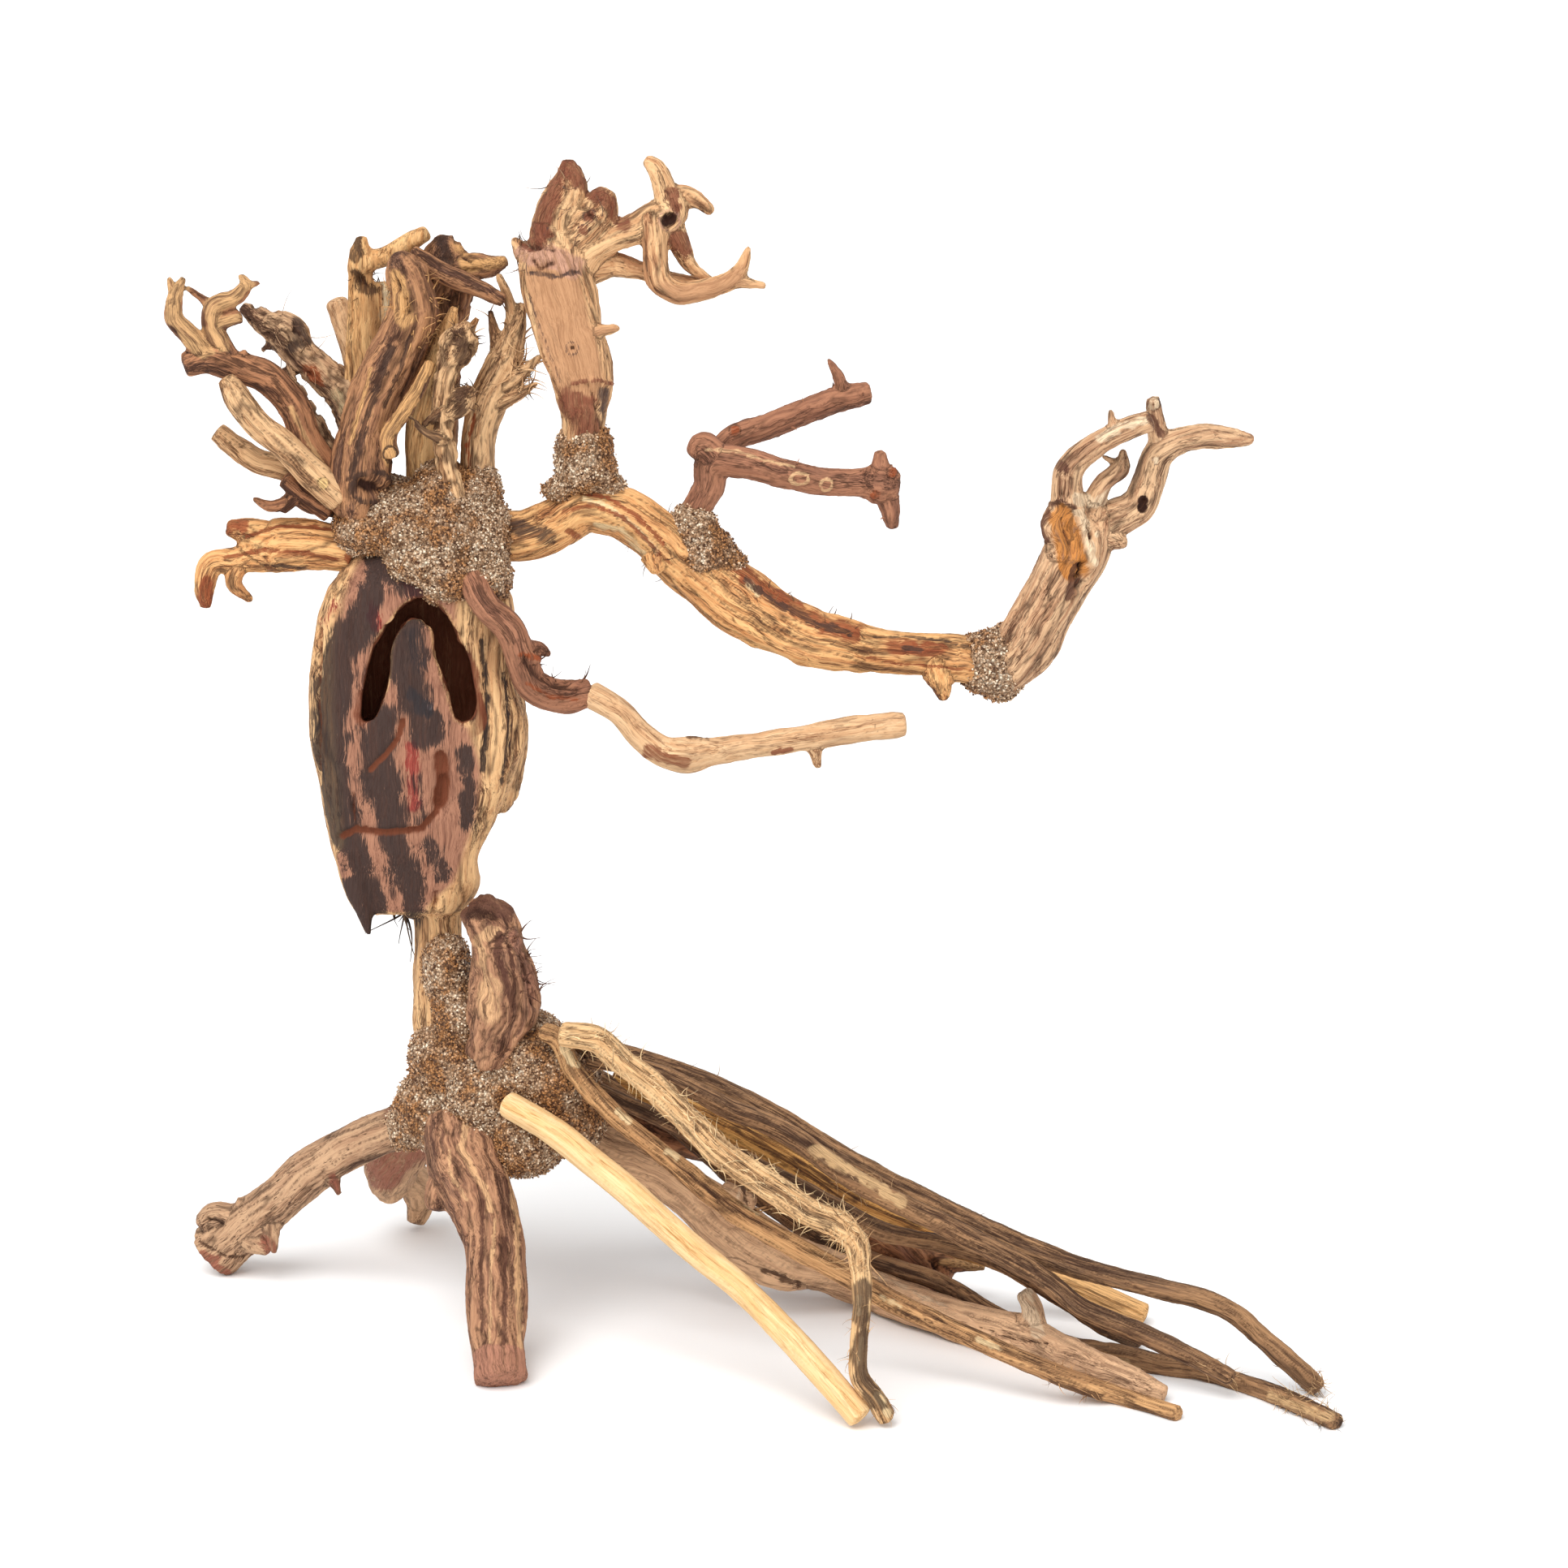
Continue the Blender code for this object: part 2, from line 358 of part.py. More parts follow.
def placed(limb, grow):
    """Places and radii of a limb, in metres, with the radii and ends grown."""
    spots = []
    for across, up, depth, radius in limb:
        if depth is GROUND:
            depth = ground_depth(up, radius - SINK)
        spots.append((seen(across, up, depth), (radius + grow) * MM))
    first, second = spots[0][0], spots[1][0]
    last, before = spots[-1][0], spots[-2][0]
    spots[0] = (first + (first - second).normalized() * grow * MM, spots[0][1])
    spots[-1] = (last + (last - before).normalized() * grow * MM, spots[-1][1])
    return spots


def add_object(name, mesh, collection):
    """New object for a mesh, in a collection."""
    part = bpy.data.objects.new(name, mesh)
    collection.objects.link(part)
    return part


def evaluated_mesh(part):
    """Mesh of an object with its modifiers applied."""
    graph = bpy.context.evaluated_depsgraph_get()
    return bpy.data.meshes.new_from_object(part.evaluated_get(graph))


def apply_modifiers(part):
    """Replace an object's mesh by its evaluated one."""
    mesh = evaluated_mesh(part)
    part.modifiers.clear()
    part.data = mesh


def limb_mesh(limb, grow, sides):
    """Closed tube along a limb, a little uneven like weathered wood."""
    curve = bpy.data.curves.new("limb", "CURVE")
    curve.dimensions = "3D"
    curve.bevel_depth = 1.0
    curve.bevel_resolution = sides // 2 - 2
    curve.use_fill_caps = True
    curve.twist_mode = "MINIMUM"
    spots = placed(limb, grow)
    spline = curve.splines.new("POLY")
    spline.points.add(len(spots) - 1)
    for point, (place, radius) in zip(spline.points, spots):
        point.co = (*place, 1)
        point.radius = radius
    tube = add_object("limb", curve, bpy.context.scene.collection)
    bpy.context.view_layer.update()
    mesh = evaluated_mesh(tube)
    bpy.data.objects.remove(tube)
    shell = bmesh.new()
    shell.from_mesh(mesh)
    bmesh.ops.remove_doubles(shell, verts=shell.verts, dist=LIMB_WELD * MM)
    thickness = sum(radius for _, radius in spots) / len(spots)
    for vertex in shell.verts:
        vertex.co += noise.noise_vector(vertex.co / (BARK_SCALE * MM)) * thickness * BARK_LUMP
    bmesh.ops.recalc_face_normals(shell, faces=shell.faces)
    shell.to_mesh(mesh)
    shell.free()
    return mesh


def joined(name, meshes, collection):
    """One object that is the union of closed meshes."""
    loose = bpy.data.collections.new("loose")
    bpy.context.scene.collection.children.link(loose)
    base = add_object(name, meshes[0], collection)
    if len(meshes) > 1:
        others = [add_object("loose", mesh, loose) for mesh in meshes[1:]]
        union = base.modifiers.new("union", "BOOLEAN")
        union.operation = "UNION"
        union.operand_type = "COLLECTION"
        union.collection = loose
        bpy.context.view_layer.update()
        apply_modifiers(base)
        for other in others:
            bpy.data.objects.remove(other)
    bpy.data.collections.remove(loose)
    return base


def cut(part, cutter):
    """Take a cutter object out of a part and apply the cut."""
    difference = part.modifiers.new("cut", "BOOLEAN")
    difference.operation = "DIFFERENCE"
    difference.object = cutter
    bpy.context.view_layer.update()
    apply_modifiers(part)


def keep_largest(part):
    """Drop loose scraps, so that one closed body is left."""
    body = bmesh.new()
    body.from_mesh(part.data)
    bmesh.ops.remove_doubles(body, verts=body.verts, dist=CUT_WELD * MM)
    unseen = set(body.verts)
    islands = []
    while unseen:
        front = [unseen.pop()]
        island = list(front)
        while front:
            vertex = front.pop()
            for edge in vertex.link_edges:
                other = edge.other_vert(vertex)
                if other in unseen:
                    unseen.remove(other)
                    front.append(other)
                    island.append(other)
        islands.append(island)
    islands.sort(key=len)
    for island in islands[:-1]:
        bmesh.ops.delete(body, geom=island, context="VERTS")
    bmesh.ops.triangulate(body, faces=body.faces)
    body.to_mesh(part.data)
    body.free()


def ball_mesh(middle, half_sizes, fineness):
    """Closed ball or egg, centred on a place."""
    shell = bmesh.new()
    bmesh.ops.create_icosphere(shell, subdivisions=fineness, radius=1)
    for vertex in shell.verts:
        offset = Vector(coordinate * half for coordinate, half in zip(vertex.co, half_sizes))
        vertex.co = middle + offset * MM
    mesh = bpy.data.meshes.new("ball")
    shell.to_mesh(mesh)
    shell.free()
    return mesh


def box_mesh(size, middle, lean):
    """Closed box of this size in millimetres, leaning in the plane of the drawing."""
    shell = bmesh.new()
    bmesh.ops.create_cube(shell, size=1)
    for vertex in shell.verts:
        across, depth, up = (coordinate * side for coordinate, side in zip(vertex.co, size))
        turned = (
            across * math.cos(lean) - up * math.sin(lean),
            depth,
            across * math.sin(lean) + up * math.cos(lean),
        )
        vertex.co = middle + Vector(turned) * MM
    bmesh.ops.recalc_face_normals(shell, faces=shell.faces)
    mesh = bpy.data.meshes.new("box")
    shell.to_mesh(mesh)
    shell.free()
    return mesh


def trunk_ring(section, grow):
    """Corners of one trunk section: sawn flat in front and round behind."""
    up, left, right, front, back = section
    ring = []
    for step in range(TRUNK_CORNERS):
        angle = 2 * math.pi * step / TRUNK_CORNERS
        across = (left + right) / 2 + ((right - left) / 2 + grow) * math.cos(angle)
        side = math.sin(angle)
        if side < 0:
            depth = -(-front + grow) * (-side) ** TRUNK_FLATNESS
        else:
            depth = (back + grow) * side
        ring.append(seen(across, up, depth))
    return ring


def trunk_shell(grow):
    """Loft through the trunk's sections."""
    shell = bmesh.new()
    rings = []
    for section in TRUNK_SECTIONS:
        rings.append([shell.verts.new(corner) for corner in trunk_ring(section, grow)])
    for upper, lower in zip(rings, rings[1:]):
        for step in range(TRUNK_CORNERS):
            after = (step + 1) % TRUNK_CORNERS
            shell.faces.new((upper[step], upper[after], lower[after], lower[step]))
    shell.faces.new(rings[0])
    shell.faces.new(reversed(rings[-1]))
    bmesh.ops.recalc_face_normals(shell, faces=shell.faces)
    bmesh.ops.triangulate(shell, faces=shell.faces)
    mesh = bpy.data.meshes.new("trunk")
    shell.to_mesh(mesh)
    shell.free()
    return mesh


def hollow_cutter():
    """Prism of the trunk's arched hollow."""
    shell = bmesh.new()
    front = [shell.verts.new(seen(across, up, HOLLOW_FRONT)) for across, up in HOLLOW_OUTLINE]
    back = [shell.verts.new(seen(across, up, HOLLOW_BACK)) for across, up in HOLLOW_OUTLINE]
    shell.faces.new(front)
    shell.faces.new(reversed(back))
    for step in range(len(front)):
        after = (step + 1) % len(front)
        shell.faces.new((front[step], back[step], back[after], front[after]))
    bmesh.ops.recalc_face_normals(shell, faces=shell.faces)
    bmesh.ops.triangulate(shell, faces=shell.faces)
    mesh = bpy.data.meshes.new("hollow")
    shell.to_mesh(mesh)
    shell.free()
    return mesh


def trunk(name, collection, grow):
    """Hollow log with its stem, splinters and a fold of wood at its right side."""
    meshes = [trunk_shell(grow)]
    for limb, sides in ((TRUNK_STEM, 10), (TRUNK_SPLINTER, 6), (TRUNK_TIP, 6), (TRUNK_FOLD, 8)):
        meshes.append(limb_mesh(limb, grow, sides))
    log = joined(name, meshes, collection)
    if grow == 0:
        cut_with_meshes(log, [hollow_cutter()])
    return log


def cut_with_meshes(part, meshes):
    """Take closed meshes out of a part."""
    cutter = joined("cutter", meshes, bpy.data.collections["cutters"])
    cutter.hide_render = True
    cutter.display_type = "WIRE"
    cut(part, cutter)
    bpy.data.objects.remove(cutter)


def hollows(spots):
    """Balls that carve knot holes, one for each spot."""
    return [ball_mesh(seen(across, up, depth), (radius,) * 3, 1) for across, up, depth, radius in spots]


def limbs(name, collection, grow, routes, sides, holes=()):
    """Wood piece made of limbs that grow into each other, with its knot holes."""
    piece = joined(name, [limb_mesh(route, grow, sides) for route in routes], collection)
    if grow == 0:
        for hollow in hollows(holes):
            cut_with_meshes(piece, [hollow])
    return piece


def mast(name, collection, grow):
    """Upright branch whose front was sawn flat."""
    piece = limbs(name, collection, grow, MAST, 8, MAST_HOLE)
    middle = seen(*MAST_SLICE_MIDDLE, MAST_FACE - grow) - Vector((0, MAST_SLICE[1] / 2, 0)) * MM
    cut_with_meshes(piece, [box_mesh(MAST_SLICE, middle, MAST_SLICE_LEAN)])
    return piece


def board(name, collection, grow):
    """Flat golden board with a grey slab along it, a horn and a side twig."""
    swell = Vector((2 * grow,) * 3)
    meshes = [
        box_mesh(Vector(BOARD_SIZE) + swell, seen(*BOARD_MIDDLE), BOARD_LEAN),
        box_mesh(Vector(BOARD_SLAB_SIZE) + swell, seen(*BOARD_SLAB_MIDDLE), BOARD_LEAN),
    ]
    meshes += [limb_mesh(limb, grow, 6) for limb in BOARD_LIMBS]
    return joined(name, meshes, collection)


def sand_joint(name, collection, lumps):
    """Lump of sand and glue, before the wood is taken out of it."""
    meshes = [ball_mesh(seen(*lump[:3]), lump[3:], 3) for lump in lumps]
    piece = joined(name, meshes, collection)
    remesh = piece.modifiers.new("even faces", "REMESH")
    remesh.mode = "VOXEL"
    remesh.voxel_size = JOINT_VOXEL * MM
    fewer = piece.modifiers.new("fewer faces", "DECIMATE")
    fewer.ratio = JOINT_SHARE
    fewer.use_collapse_triangulate = True
    bpy.context.view_layer.update()
    apply_modifiers(piece)
    return piece


def finish(name, colour, roughness):
    """Plain material with this colour."""
    material = bpy.data.materials.new(name)
    material.use_nodes = True
    shader = material.node_tree.nodes["Principled BSDF"]
    shader.inputs["Base Color"].default_value = (*colour, 1)
    shader.inputs["Roughness"].default_value = roughness
    shader.inputs["Metallic"].default_value = 0
    material.diffuse_color = (*colour, 1)
    return material


def wood_makers():
    """Name, colour and maker of each wood piece; each is cut by those before it."""
    def of(routes, sides=8, holes=()):
        return lambda name, collection, grow: limbs(name, collection, grow, routes, sides, holes)

    return [
        ("trunk", GREY_BROWN, trunk),
        ("main_arm", TAN_WOOD, of(MAIN_ARM, 10)),
        ("arm_tip", TAN_WOOD, of(ARM_TIP, 8, ARM_TIP_HOLLOWS)),
        ("mast", TAN_WOOD, mast),
        ("forked_twig", RED_BROWN, of(FORKED_TWIG)),
        ("knot_piece", GREY_BROWN, of(KNOT_PIECE, 8, KNOT_HOLLOW)),
        ("lower_arm", TAN_WOOD, of(LOWER_ARM, 8, LOWER_ARM_HOLLOW)),
        ("lower_arm_tip", TAN_WOOD, of(LOWER_ARM_TIP)),
        ("crown_branch", DARK_BARK, of(CROWN_BRANCH, 8, CROWN_POCKET)),
        ("left_stump", RED_BROWN, of(LEFT_STUMP)),
        ("crown_stem", RED_BROWN, of(CROWN_STEM)),
        ("crown_spray", TAN_WOOD, of(CROWN_SPRAY)),
        ("crown_fork", TAN_WOOD, of(CROWN_FORK, 6)),
        ("crown_back", DARK_BARK, of(CROWN_BACK)),
        ("crown_board", GOLD_WOOD, board),
        ("crown_stick", TAN_WOOD, of(CROWN_STICK, 6)),
        ("antler_branch", RED_BROWN, of(ANTLER_BRANCH)),
        ("pale_branch", PALE_WOOD, of(PALE_BRANCH)),
        ("dark_branch", DARK_BARK, of(DARK_BRANCH)),
        ("pale_slab", PALE_WOOD, of(PALE_SLAB)),
        ("back_stub", RED_BROWN, of(BACK_STUB)),
        ("pale_curl", PALE_WOOD, of(PALE_CURL)),
        ("red_stub", RED_BROWN, of(RED_STUB, 6)),
        ("left_leg", GREY_BROWN, of(LEFT_LEG)),
        ("front_leg", GREY_BROWN, of(FRONT_LEG, 10)),
        ("rear_leg", PALE_WOOD, of(REAR_LEG)),
        ("main_root", TAN_WOOD, of(MAIN_ROOT, 8)),
        ("rear_root", RED_BROWN, of(REAR_ROOT)),
        ("front_stick", PALE_WOOD, of(FRONT_STICK, 6)),
        ("rear_stick", GOLD_WOOD, of(REAR_STICK, 6)),
        ("striped_vine", TAN_WOOD, of(STRIPED_VINE, 6)),
        ("frayed_vine", PALE_WOOD, of(FRAYED_VINE, 6)),
        ("upper_vine", DARK_BARK, of(UPPER_VINE, 6)),
        ("patched_vine", DARK_BARK, of(PATCHED_VINE, 6)),
        ("inner_vine", DARK_BARK, of(INNER_VINE, 6)),
        ("low_vine", DARK_BARK, of(LOW_VINE, 6)),
    ]


JOINTS = [
    ("upper_joint", UPPER_JOINT),
    ("lower_joint", LOWER_JOINT),
    ("mast_joint", MAST_JOINT),
    ("twig_joint", TWIG_JOINT),
    ("elbow_joint", ELBOW_JOINT),
]


def box_of(part):
    """Lowest and highest corners of an object whose mesh is in place."""
    columns = list(zip(*(vertex.co for vertex in part.data.vertices)))
    return [min(column) for column in columns], [max(column) for column in columns]


def near(part, other):
    """Whether the boxes of two objects meet."""
    (low, high), (other_low, other_high) = box_of(part), box_of(other)
    return all(low[axis] <= other_high[axis] and other_low[axis] <= high[axis] for axis in range(3))


def clear_of(part, neighbours):
    """Cut a part back from the grown copies of the pieces that it meets."""
    for neighbour in neighbours:
        if near(part, neighbour):
            cut(part, neighbour)
    keep_largest(part)


def wear_flat(part):
    """Cut off what lies under the ground."""
    if box_of(part)[0][2] < 0:
        middle = Vector((0, 0, -GROUND_BLOCK[2] / 2)) * MM
        cut_with_meshes(part, [box_mesh(GROUND_BLOCK, middle, 0)])
        keep_largest(part)


def smooth(part, colour, roughness):
    """Smooth shading and a material."""
    part.data.materials.clear()
    part.data.materials.append(finish(part.name, colour, roughness))
    part.data.shade_smooth()
    part.data.set_sharp_from_angle(angle=SHARP_ANGLE)


def main():
    """Build every piece of wood, then the sand joints between them."""
    noise.seed_set(BARK_SEED)
    for existing in list(bpy.data.objects):
        bpy.data.objects.remove(existing)
    driftwood = bpy.data.collections.new("driftwood")
    cutters = bpy.data.collections.new("cutters")
    for collection in (driftwood, cutters):
        bpy.context.scene.collection.children.link(collection)
    grown = []
    for name, colour, maker in wood_makers():
        piece = maker(name, driftwood, 0)
        clear_of(piece, grown)
        wear_flat(piece)
        smooth(piece, colour, WOOD_ROUGHNESS)
        grown.append(maker("cutter", cutters, GAP))
    for name, lumps in JOINTS:
        piece = sand_joint(name, driftwood, lumps)
        clear_of(piece, grown)
        smooth(piece, SAND, SAND_ROUGHNESS)
    for cutter in grown:
        bpy.data.objects.remove(cutter)


main()
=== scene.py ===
"""Looks of the driftwood ornament: weathered wood pieces joined with sand and glue."""

import logging
import math
from collections.abc import Iterable, Sequence
from dataclasses import dataclass, field
from enum import Enum
from itertools import product

import bpy
import numpy as np
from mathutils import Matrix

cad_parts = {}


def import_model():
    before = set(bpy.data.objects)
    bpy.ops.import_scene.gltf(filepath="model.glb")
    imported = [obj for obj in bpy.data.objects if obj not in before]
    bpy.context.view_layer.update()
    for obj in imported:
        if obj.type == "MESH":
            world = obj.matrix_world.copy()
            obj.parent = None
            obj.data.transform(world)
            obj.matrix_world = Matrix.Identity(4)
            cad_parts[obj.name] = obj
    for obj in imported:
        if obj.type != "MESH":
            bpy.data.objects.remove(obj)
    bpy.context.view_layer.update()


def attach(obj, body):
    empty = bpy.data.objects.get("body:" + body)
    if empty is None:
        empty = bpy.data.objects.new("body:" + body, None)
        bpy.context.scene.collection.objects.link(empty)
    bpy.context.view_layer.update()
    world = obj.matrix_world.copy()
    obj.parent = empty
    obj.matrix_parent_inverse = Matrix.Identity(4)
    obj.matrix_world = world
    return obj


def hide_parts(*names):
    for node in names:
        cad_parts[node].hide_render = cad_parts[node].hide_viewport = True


LOG = logging.getLogger("driftwood")

MM = 0.001
GROUND = math.nan            # a depth of GROUND lies the limb on the ground
BODY = "root"

Colour = tuple[int, int, int]
Spot = tuple[float, float, float, float]
Route = tuple[Spot, ...]
Routes = tuple[Route, ...]
Spots = tuple[tuple[float, float], ...]
Triple = tuple[float, float, float]
Array = np.ndarray
Socket = bpy.types.NodeSocket


def placed(name: str, data: bpy.types.ID) -> bpy.types.Object:
    """New object in the scene.

    Args:
        name: Its name.
        data: Its mesh, light or camera.

    Returns:
        The object.
    """
    item = bpy.data.objects.new(name, data)
    bpy.context.scene.collection.objects.link(item)
    return item


def linear(colour: Colour) -> tuple[float, float, float, float]:
    """Linear colour of a display colour, each channel raised to the power 2.2."""
    red, green, blue = ((channel / 255) ** 2.2 for channel in colour)
    return red, green, blue, 1.0


def eased(value: Array, low: float, high: float) -> Array:
    """0 below low, 1 above high and a smooth step, 3t2 - 2t3, between."""
    t = np.clip((value - low) / (high - low), 0, 1)
    return t * t * (3 - 2 * t)


@dataclass(frozen=True)
class Drawing:
    """The front view in which the wood is laid out, in millimetres.

    It is drawn from a little above. A spot is how far across it is, how far up, and
    how deep behind the trunk it lies.
    """

    tilt: float = math.radians(15)
    distance: float = 1600.0
    height: float = 170.0
    middle_across: float = -12.0
    middle_depth: float = -15.5
    sink: float = 0.5

    @property
    def level(self) -> float:
        """Level distance from the eye to the trunk."""
        return self.distance * math.cos(self.tilt)

    @property
    def rise(self) -> float:
        """How far the eye is above the height that it looks at."""
        return self.distance * math.sin(self.tilt)

    def place(self, spots: Array) -> Array:
        """Place of each spot: the sight line through it, followed to its depth.

        Args:
            spots: One row for each spot: across, up, depth.

        Returns:
            One row for each place: x, y, z in millimetres.
        """
        across, up, depth = spots[:, 0], spots[:, 1], spots[:, 2]
        reach = (depth + self.level) / (self.level + up * math.sin(self.tilt))
        drop = self.rise - up * math.cos(self.tilt)
        x = across * reach - self.middle_across
        z = self.height + self.rise - reach * drop
        return np.stack((x, depth - self.middle_depth, z), axis=1)

    def drawn(self, places: Array) -> Array:
        """Where places are seen on the drawing: the inverse of place().

        Args:
            places: One row for each place: x, y, z in millimetres.

        Returns:
            One row for each: across, up, depth.
        """
        depth = places[:, 1] + self.middle_depth
        slope = (self.height + self.rise - places[:, 2]) / (depth + self.level)
        sine, cosine = math.sin(self.tilt), math.cos(self.tilt)
        up = (self.rise - slope * self.level) / (slope * sine + cosine)
        reach = (depth + self.level) / (self.level + up * sine)
        return np.stack(((places[:, 0] + self.middle_across) / reach, up, depth), axis=1)

    def ground_depth(self, up: Array, height: Array) -> Array:
        """Depth at which spots lie this high over the ground.

        Args:
            up: How far up each is drawn.
            height: Real height of each over the ground.

        Returns:
            One depth for each spot.
        """
        drop = self.rise - up * math.cos(self.tilt)
        reach = (self.height + self.rise - height) / drop
        return reach * (self.level + up * math.sin(self.tilt)) - self.level

    def laid(self, route: Route) -> Array:
        """Places and radii along a route.

        Args:
            route: Across, up, depth and radius at each spot.

        Returns:
            One row for each spot: x, y, z, radius in millimetres.
        """
        spots = np.array(route, dtype=float)
        lying = np.isnan(spots[:, 2])
        spots[lying, 2] = self.ground_depth(spots[lying, 1], spots[lying, 3] - self.sink)
        return np.column_stack((self.place(spots[:, :3]), spots[:, 3]))

    def eye(self) -> Triple:
        """Place of the eye, in millimetres."""
        return -self.middle_across, -self.middle_depth - self.level, self.height + self.rise


class Unevenness:
    """Seeded lattice noise: random numbers at whole places, eased in between."""

    PRIMES = (73856093, 19349663, 83492791)
    SIZE = 4096

    def __init__(self, seed: int) -> None:
        """Fill the table of random numbers."""
        self.table = np.random.default_rng(seed).random(self.SIZE) * 2 - 1

    def value(self, points: Array) -> Array:
        """Noise from -1 to 1: the eight corners of a cell, weighted by 3t2 - 2t3.

        Args:
            points: One row of three numbers for each value.

        Returns:
            One number for each row.
        """
        cell = np.floor(points).astype(np.int64)
        fraction = points - cell
        fade = fraction * fraction * (3 - 2 * fraction)
        total = np.zeros(len(points))
        for corner in product((0, 1), repeat=3):
            lattice = (cell + np.array(corner)) * np.array(self.PRIMES)
            index = (lattice[:, 0] ^ lattice[:, 1] ^ lattice[:, 2]) % self.SIZE
            weight = np.prod(np.where(np.array(corner) == 1, fade, 1 - fade), axis=1)
            total += weight * self.table[index]
        return total

    def layers(self, points: Array, octaves: int = 3, share: float = 0.5) -> Array:
        """Sum of octaves of value(), each twice as fine and weaker than the last.

        Args:
            points: One row of three numbers for each value.
            octaves: How many layers.
            share: Strength of a layer as a share of the one before it.

        Returns:
            One number for each row, about -1 to 1.
        """
        total, strength, whole = np.zeros(len(points)), 1.0, 0.0
        for octave in range(octaves):
            total += strength * self.value(points * 2.0**octave + 17.3 * octave)
            whole += strength
            strength *= share
        return total / whole


@dataclass
class Surface:
    """A mesh as whole arrays: points in millimetres, and polygons with their marks."""

    points: Array
    corners: Array
    sizes: Array
    marks: dict[str, Array] = field(default_factory=dict)

    @classmethod
    def grid(cls, points: Array, closed: bool = True) -> "Surface":
        """Surface of four-sided faces over a grid of points.

        Args:
            points: Array of rows by columns by three.
            closed: Whether the last column meets the first.

        Returns:
            The surface.
        """
        rows, columns = points.shape[:2]
        index = np.arange(rows * columns).reshape(rows, columns)
        after = np.roll(index, -1, axis=1) if closed else index[:, 1:]
        here = index if closed else index[:, :-1]
        faces = np.stack((here[:-1], after[:-1], after[1:], here[1:]), axis=-1).reshape(-1)
        return cls(points.reshape(-1, 3), faces, np.full(len(faces) // 4, 4))

    @classmethod
    def together(cls, surfaces: Iterable["Surface"]) -> "Surface":
        """Several surfaces as one; marks that one of them lacks are 0 there.

        Args:
            surfaces: The surfaces to join.

        Returns:
            The joined surface.
        """
        surfaces = list(surfaces)
        starts = np.cumsum([0] + [len(surface.points) for surface in surfaces[:-1]])
        names = {name: mark.shape[1:] for surface in surfaces for name, mark in surface.marks.items()}
        marks = {
            name: np.concatenate([
                surface.marks.get(name, np.zeros((len(surface.points), *shape))) for surface in surfaces
            ])
            for name, shape in names.items()
        }
        return cls(
            np.concatenate([surface.points for surface in surfaces]),
            np.concatenate([surface.corners + start for surface, start in zip(surfaces, starts)]),
            np.concatenate([surface.sizes for surface in surfaces]),
            marks,
        )

    @classmethod
    def of_mesh(cls, mesh: bpy.types.Mesh) -> "Surface":
        """Surface of a Blender mesh in metres.

        Args:
            mesh: The mesh to read.

        Returns:
            The surface.
        """
        points = np.empty(len(mesh.vertices) * 3)
        mesh.vertices.foreach_get("co", points)
        corners = np.empty(len(mesh.loops), dtype=np.int64)
        mesh.loops.foreach_get("vertex_index", corners)
        sizes = np.empty(len(mesh.polygons), dtype=np.int64)
        mesh.polygons.foreach_get("loop_total", sizes)
        return cls(points.reshape(-1, 3) / MM, corners, sizes)

    def mesh(self, name: str, smooth: bool = True) -> bpy.types.Mesh:
        """Blender mesh of the surface, in metres.

        Args:
            name: Name of the mesh.
            smooth: Whether its faces are shaded smooth.

        Returns:
            The mesh, with the marks as its attributes.
        """
        mesh = bpy.data.meshes.new(name)
        mesh.vertices.add(len(self.points))
        mesh.vertices.foreach_set("co", (self.points * MM).ravel())
        mesh.loops.add(len(self.corners))
        mesh.loops.foreach_set("vertex_index", self.corners.astype(np.int32))
        mesh.polygons.add(len(self.sizes))
        starts = np.concatenate(([0], np.cumsum(self.sizes)[:-1]))
        mesh.polygons.foreach_set("loop_start", starts.astype(np.int32))
        mesh.polygons.foreach_set("use_smooth", np.full(len(self.sizes), smooth))
        for mark, values in self.marks.items():
            if values.ndim == 2:
                mesh.attributes.new(mark, "FLOAT_VECTOR", "POINT").data.foreach_set("vector", values.ravel())
            else:
                mesh.attributes.new(mark, "FLOAT", "POINT").data.foreach_set("value", values)
        mesh.update(calc_edges=True)
        mesh.validate()
        return mesh

    def normals(self) -> Array:
        """Outward normal at each point, as Blender averages it."""
        mesh = self.mesh("measured")
        normals = np.empty(len(mesh.vertices) * 3)
        mesh.vertices.foreach_get("normal", normals)
        bpy.data.meshes.remove(mesh)
        return normals.reshape(-1, 3)


def smooth_path(spots: Array, spacing: float) -> Array:
    """Smooth curve through spots: a cubic between each two, with the slopes of their neighbours' chords.

    Args:
        spots: One row for each spot; every column is carried along.
        spacing: Distance between the rows that come back.

    Returns:
        Evenly spaced rows along the curve.
    """
    chords = np.linalg.norm(np.diff(spots[:, :3], axis=0), axis=1)
    at = np.concatenate(([0.0], np.cumsum(chords)))
    slopes = np.gradient(spots, at, axis=0)
    want = np.linspace(0, at[-1], max(4, int(at[-1] / spacing) + 1))
    here = np.clip(np.searchsorted(at, want, side="right") - 1, 0, len(at) - 2)
    span = (at[here + 1] - at[here])[:, None]
    t = (want - at[here])[:, None] / span
    return (
        (2 * t**3 - 3 * t**2 + 1) * spots[here]
        + (t**3 - 2 * t**2 + t) * span * slopes[here]
        + (3 * t**2 - 2 * t**3) * spots[here + 1]
        + (t**3 - t**2) * span * slopes[here + 1]
    )


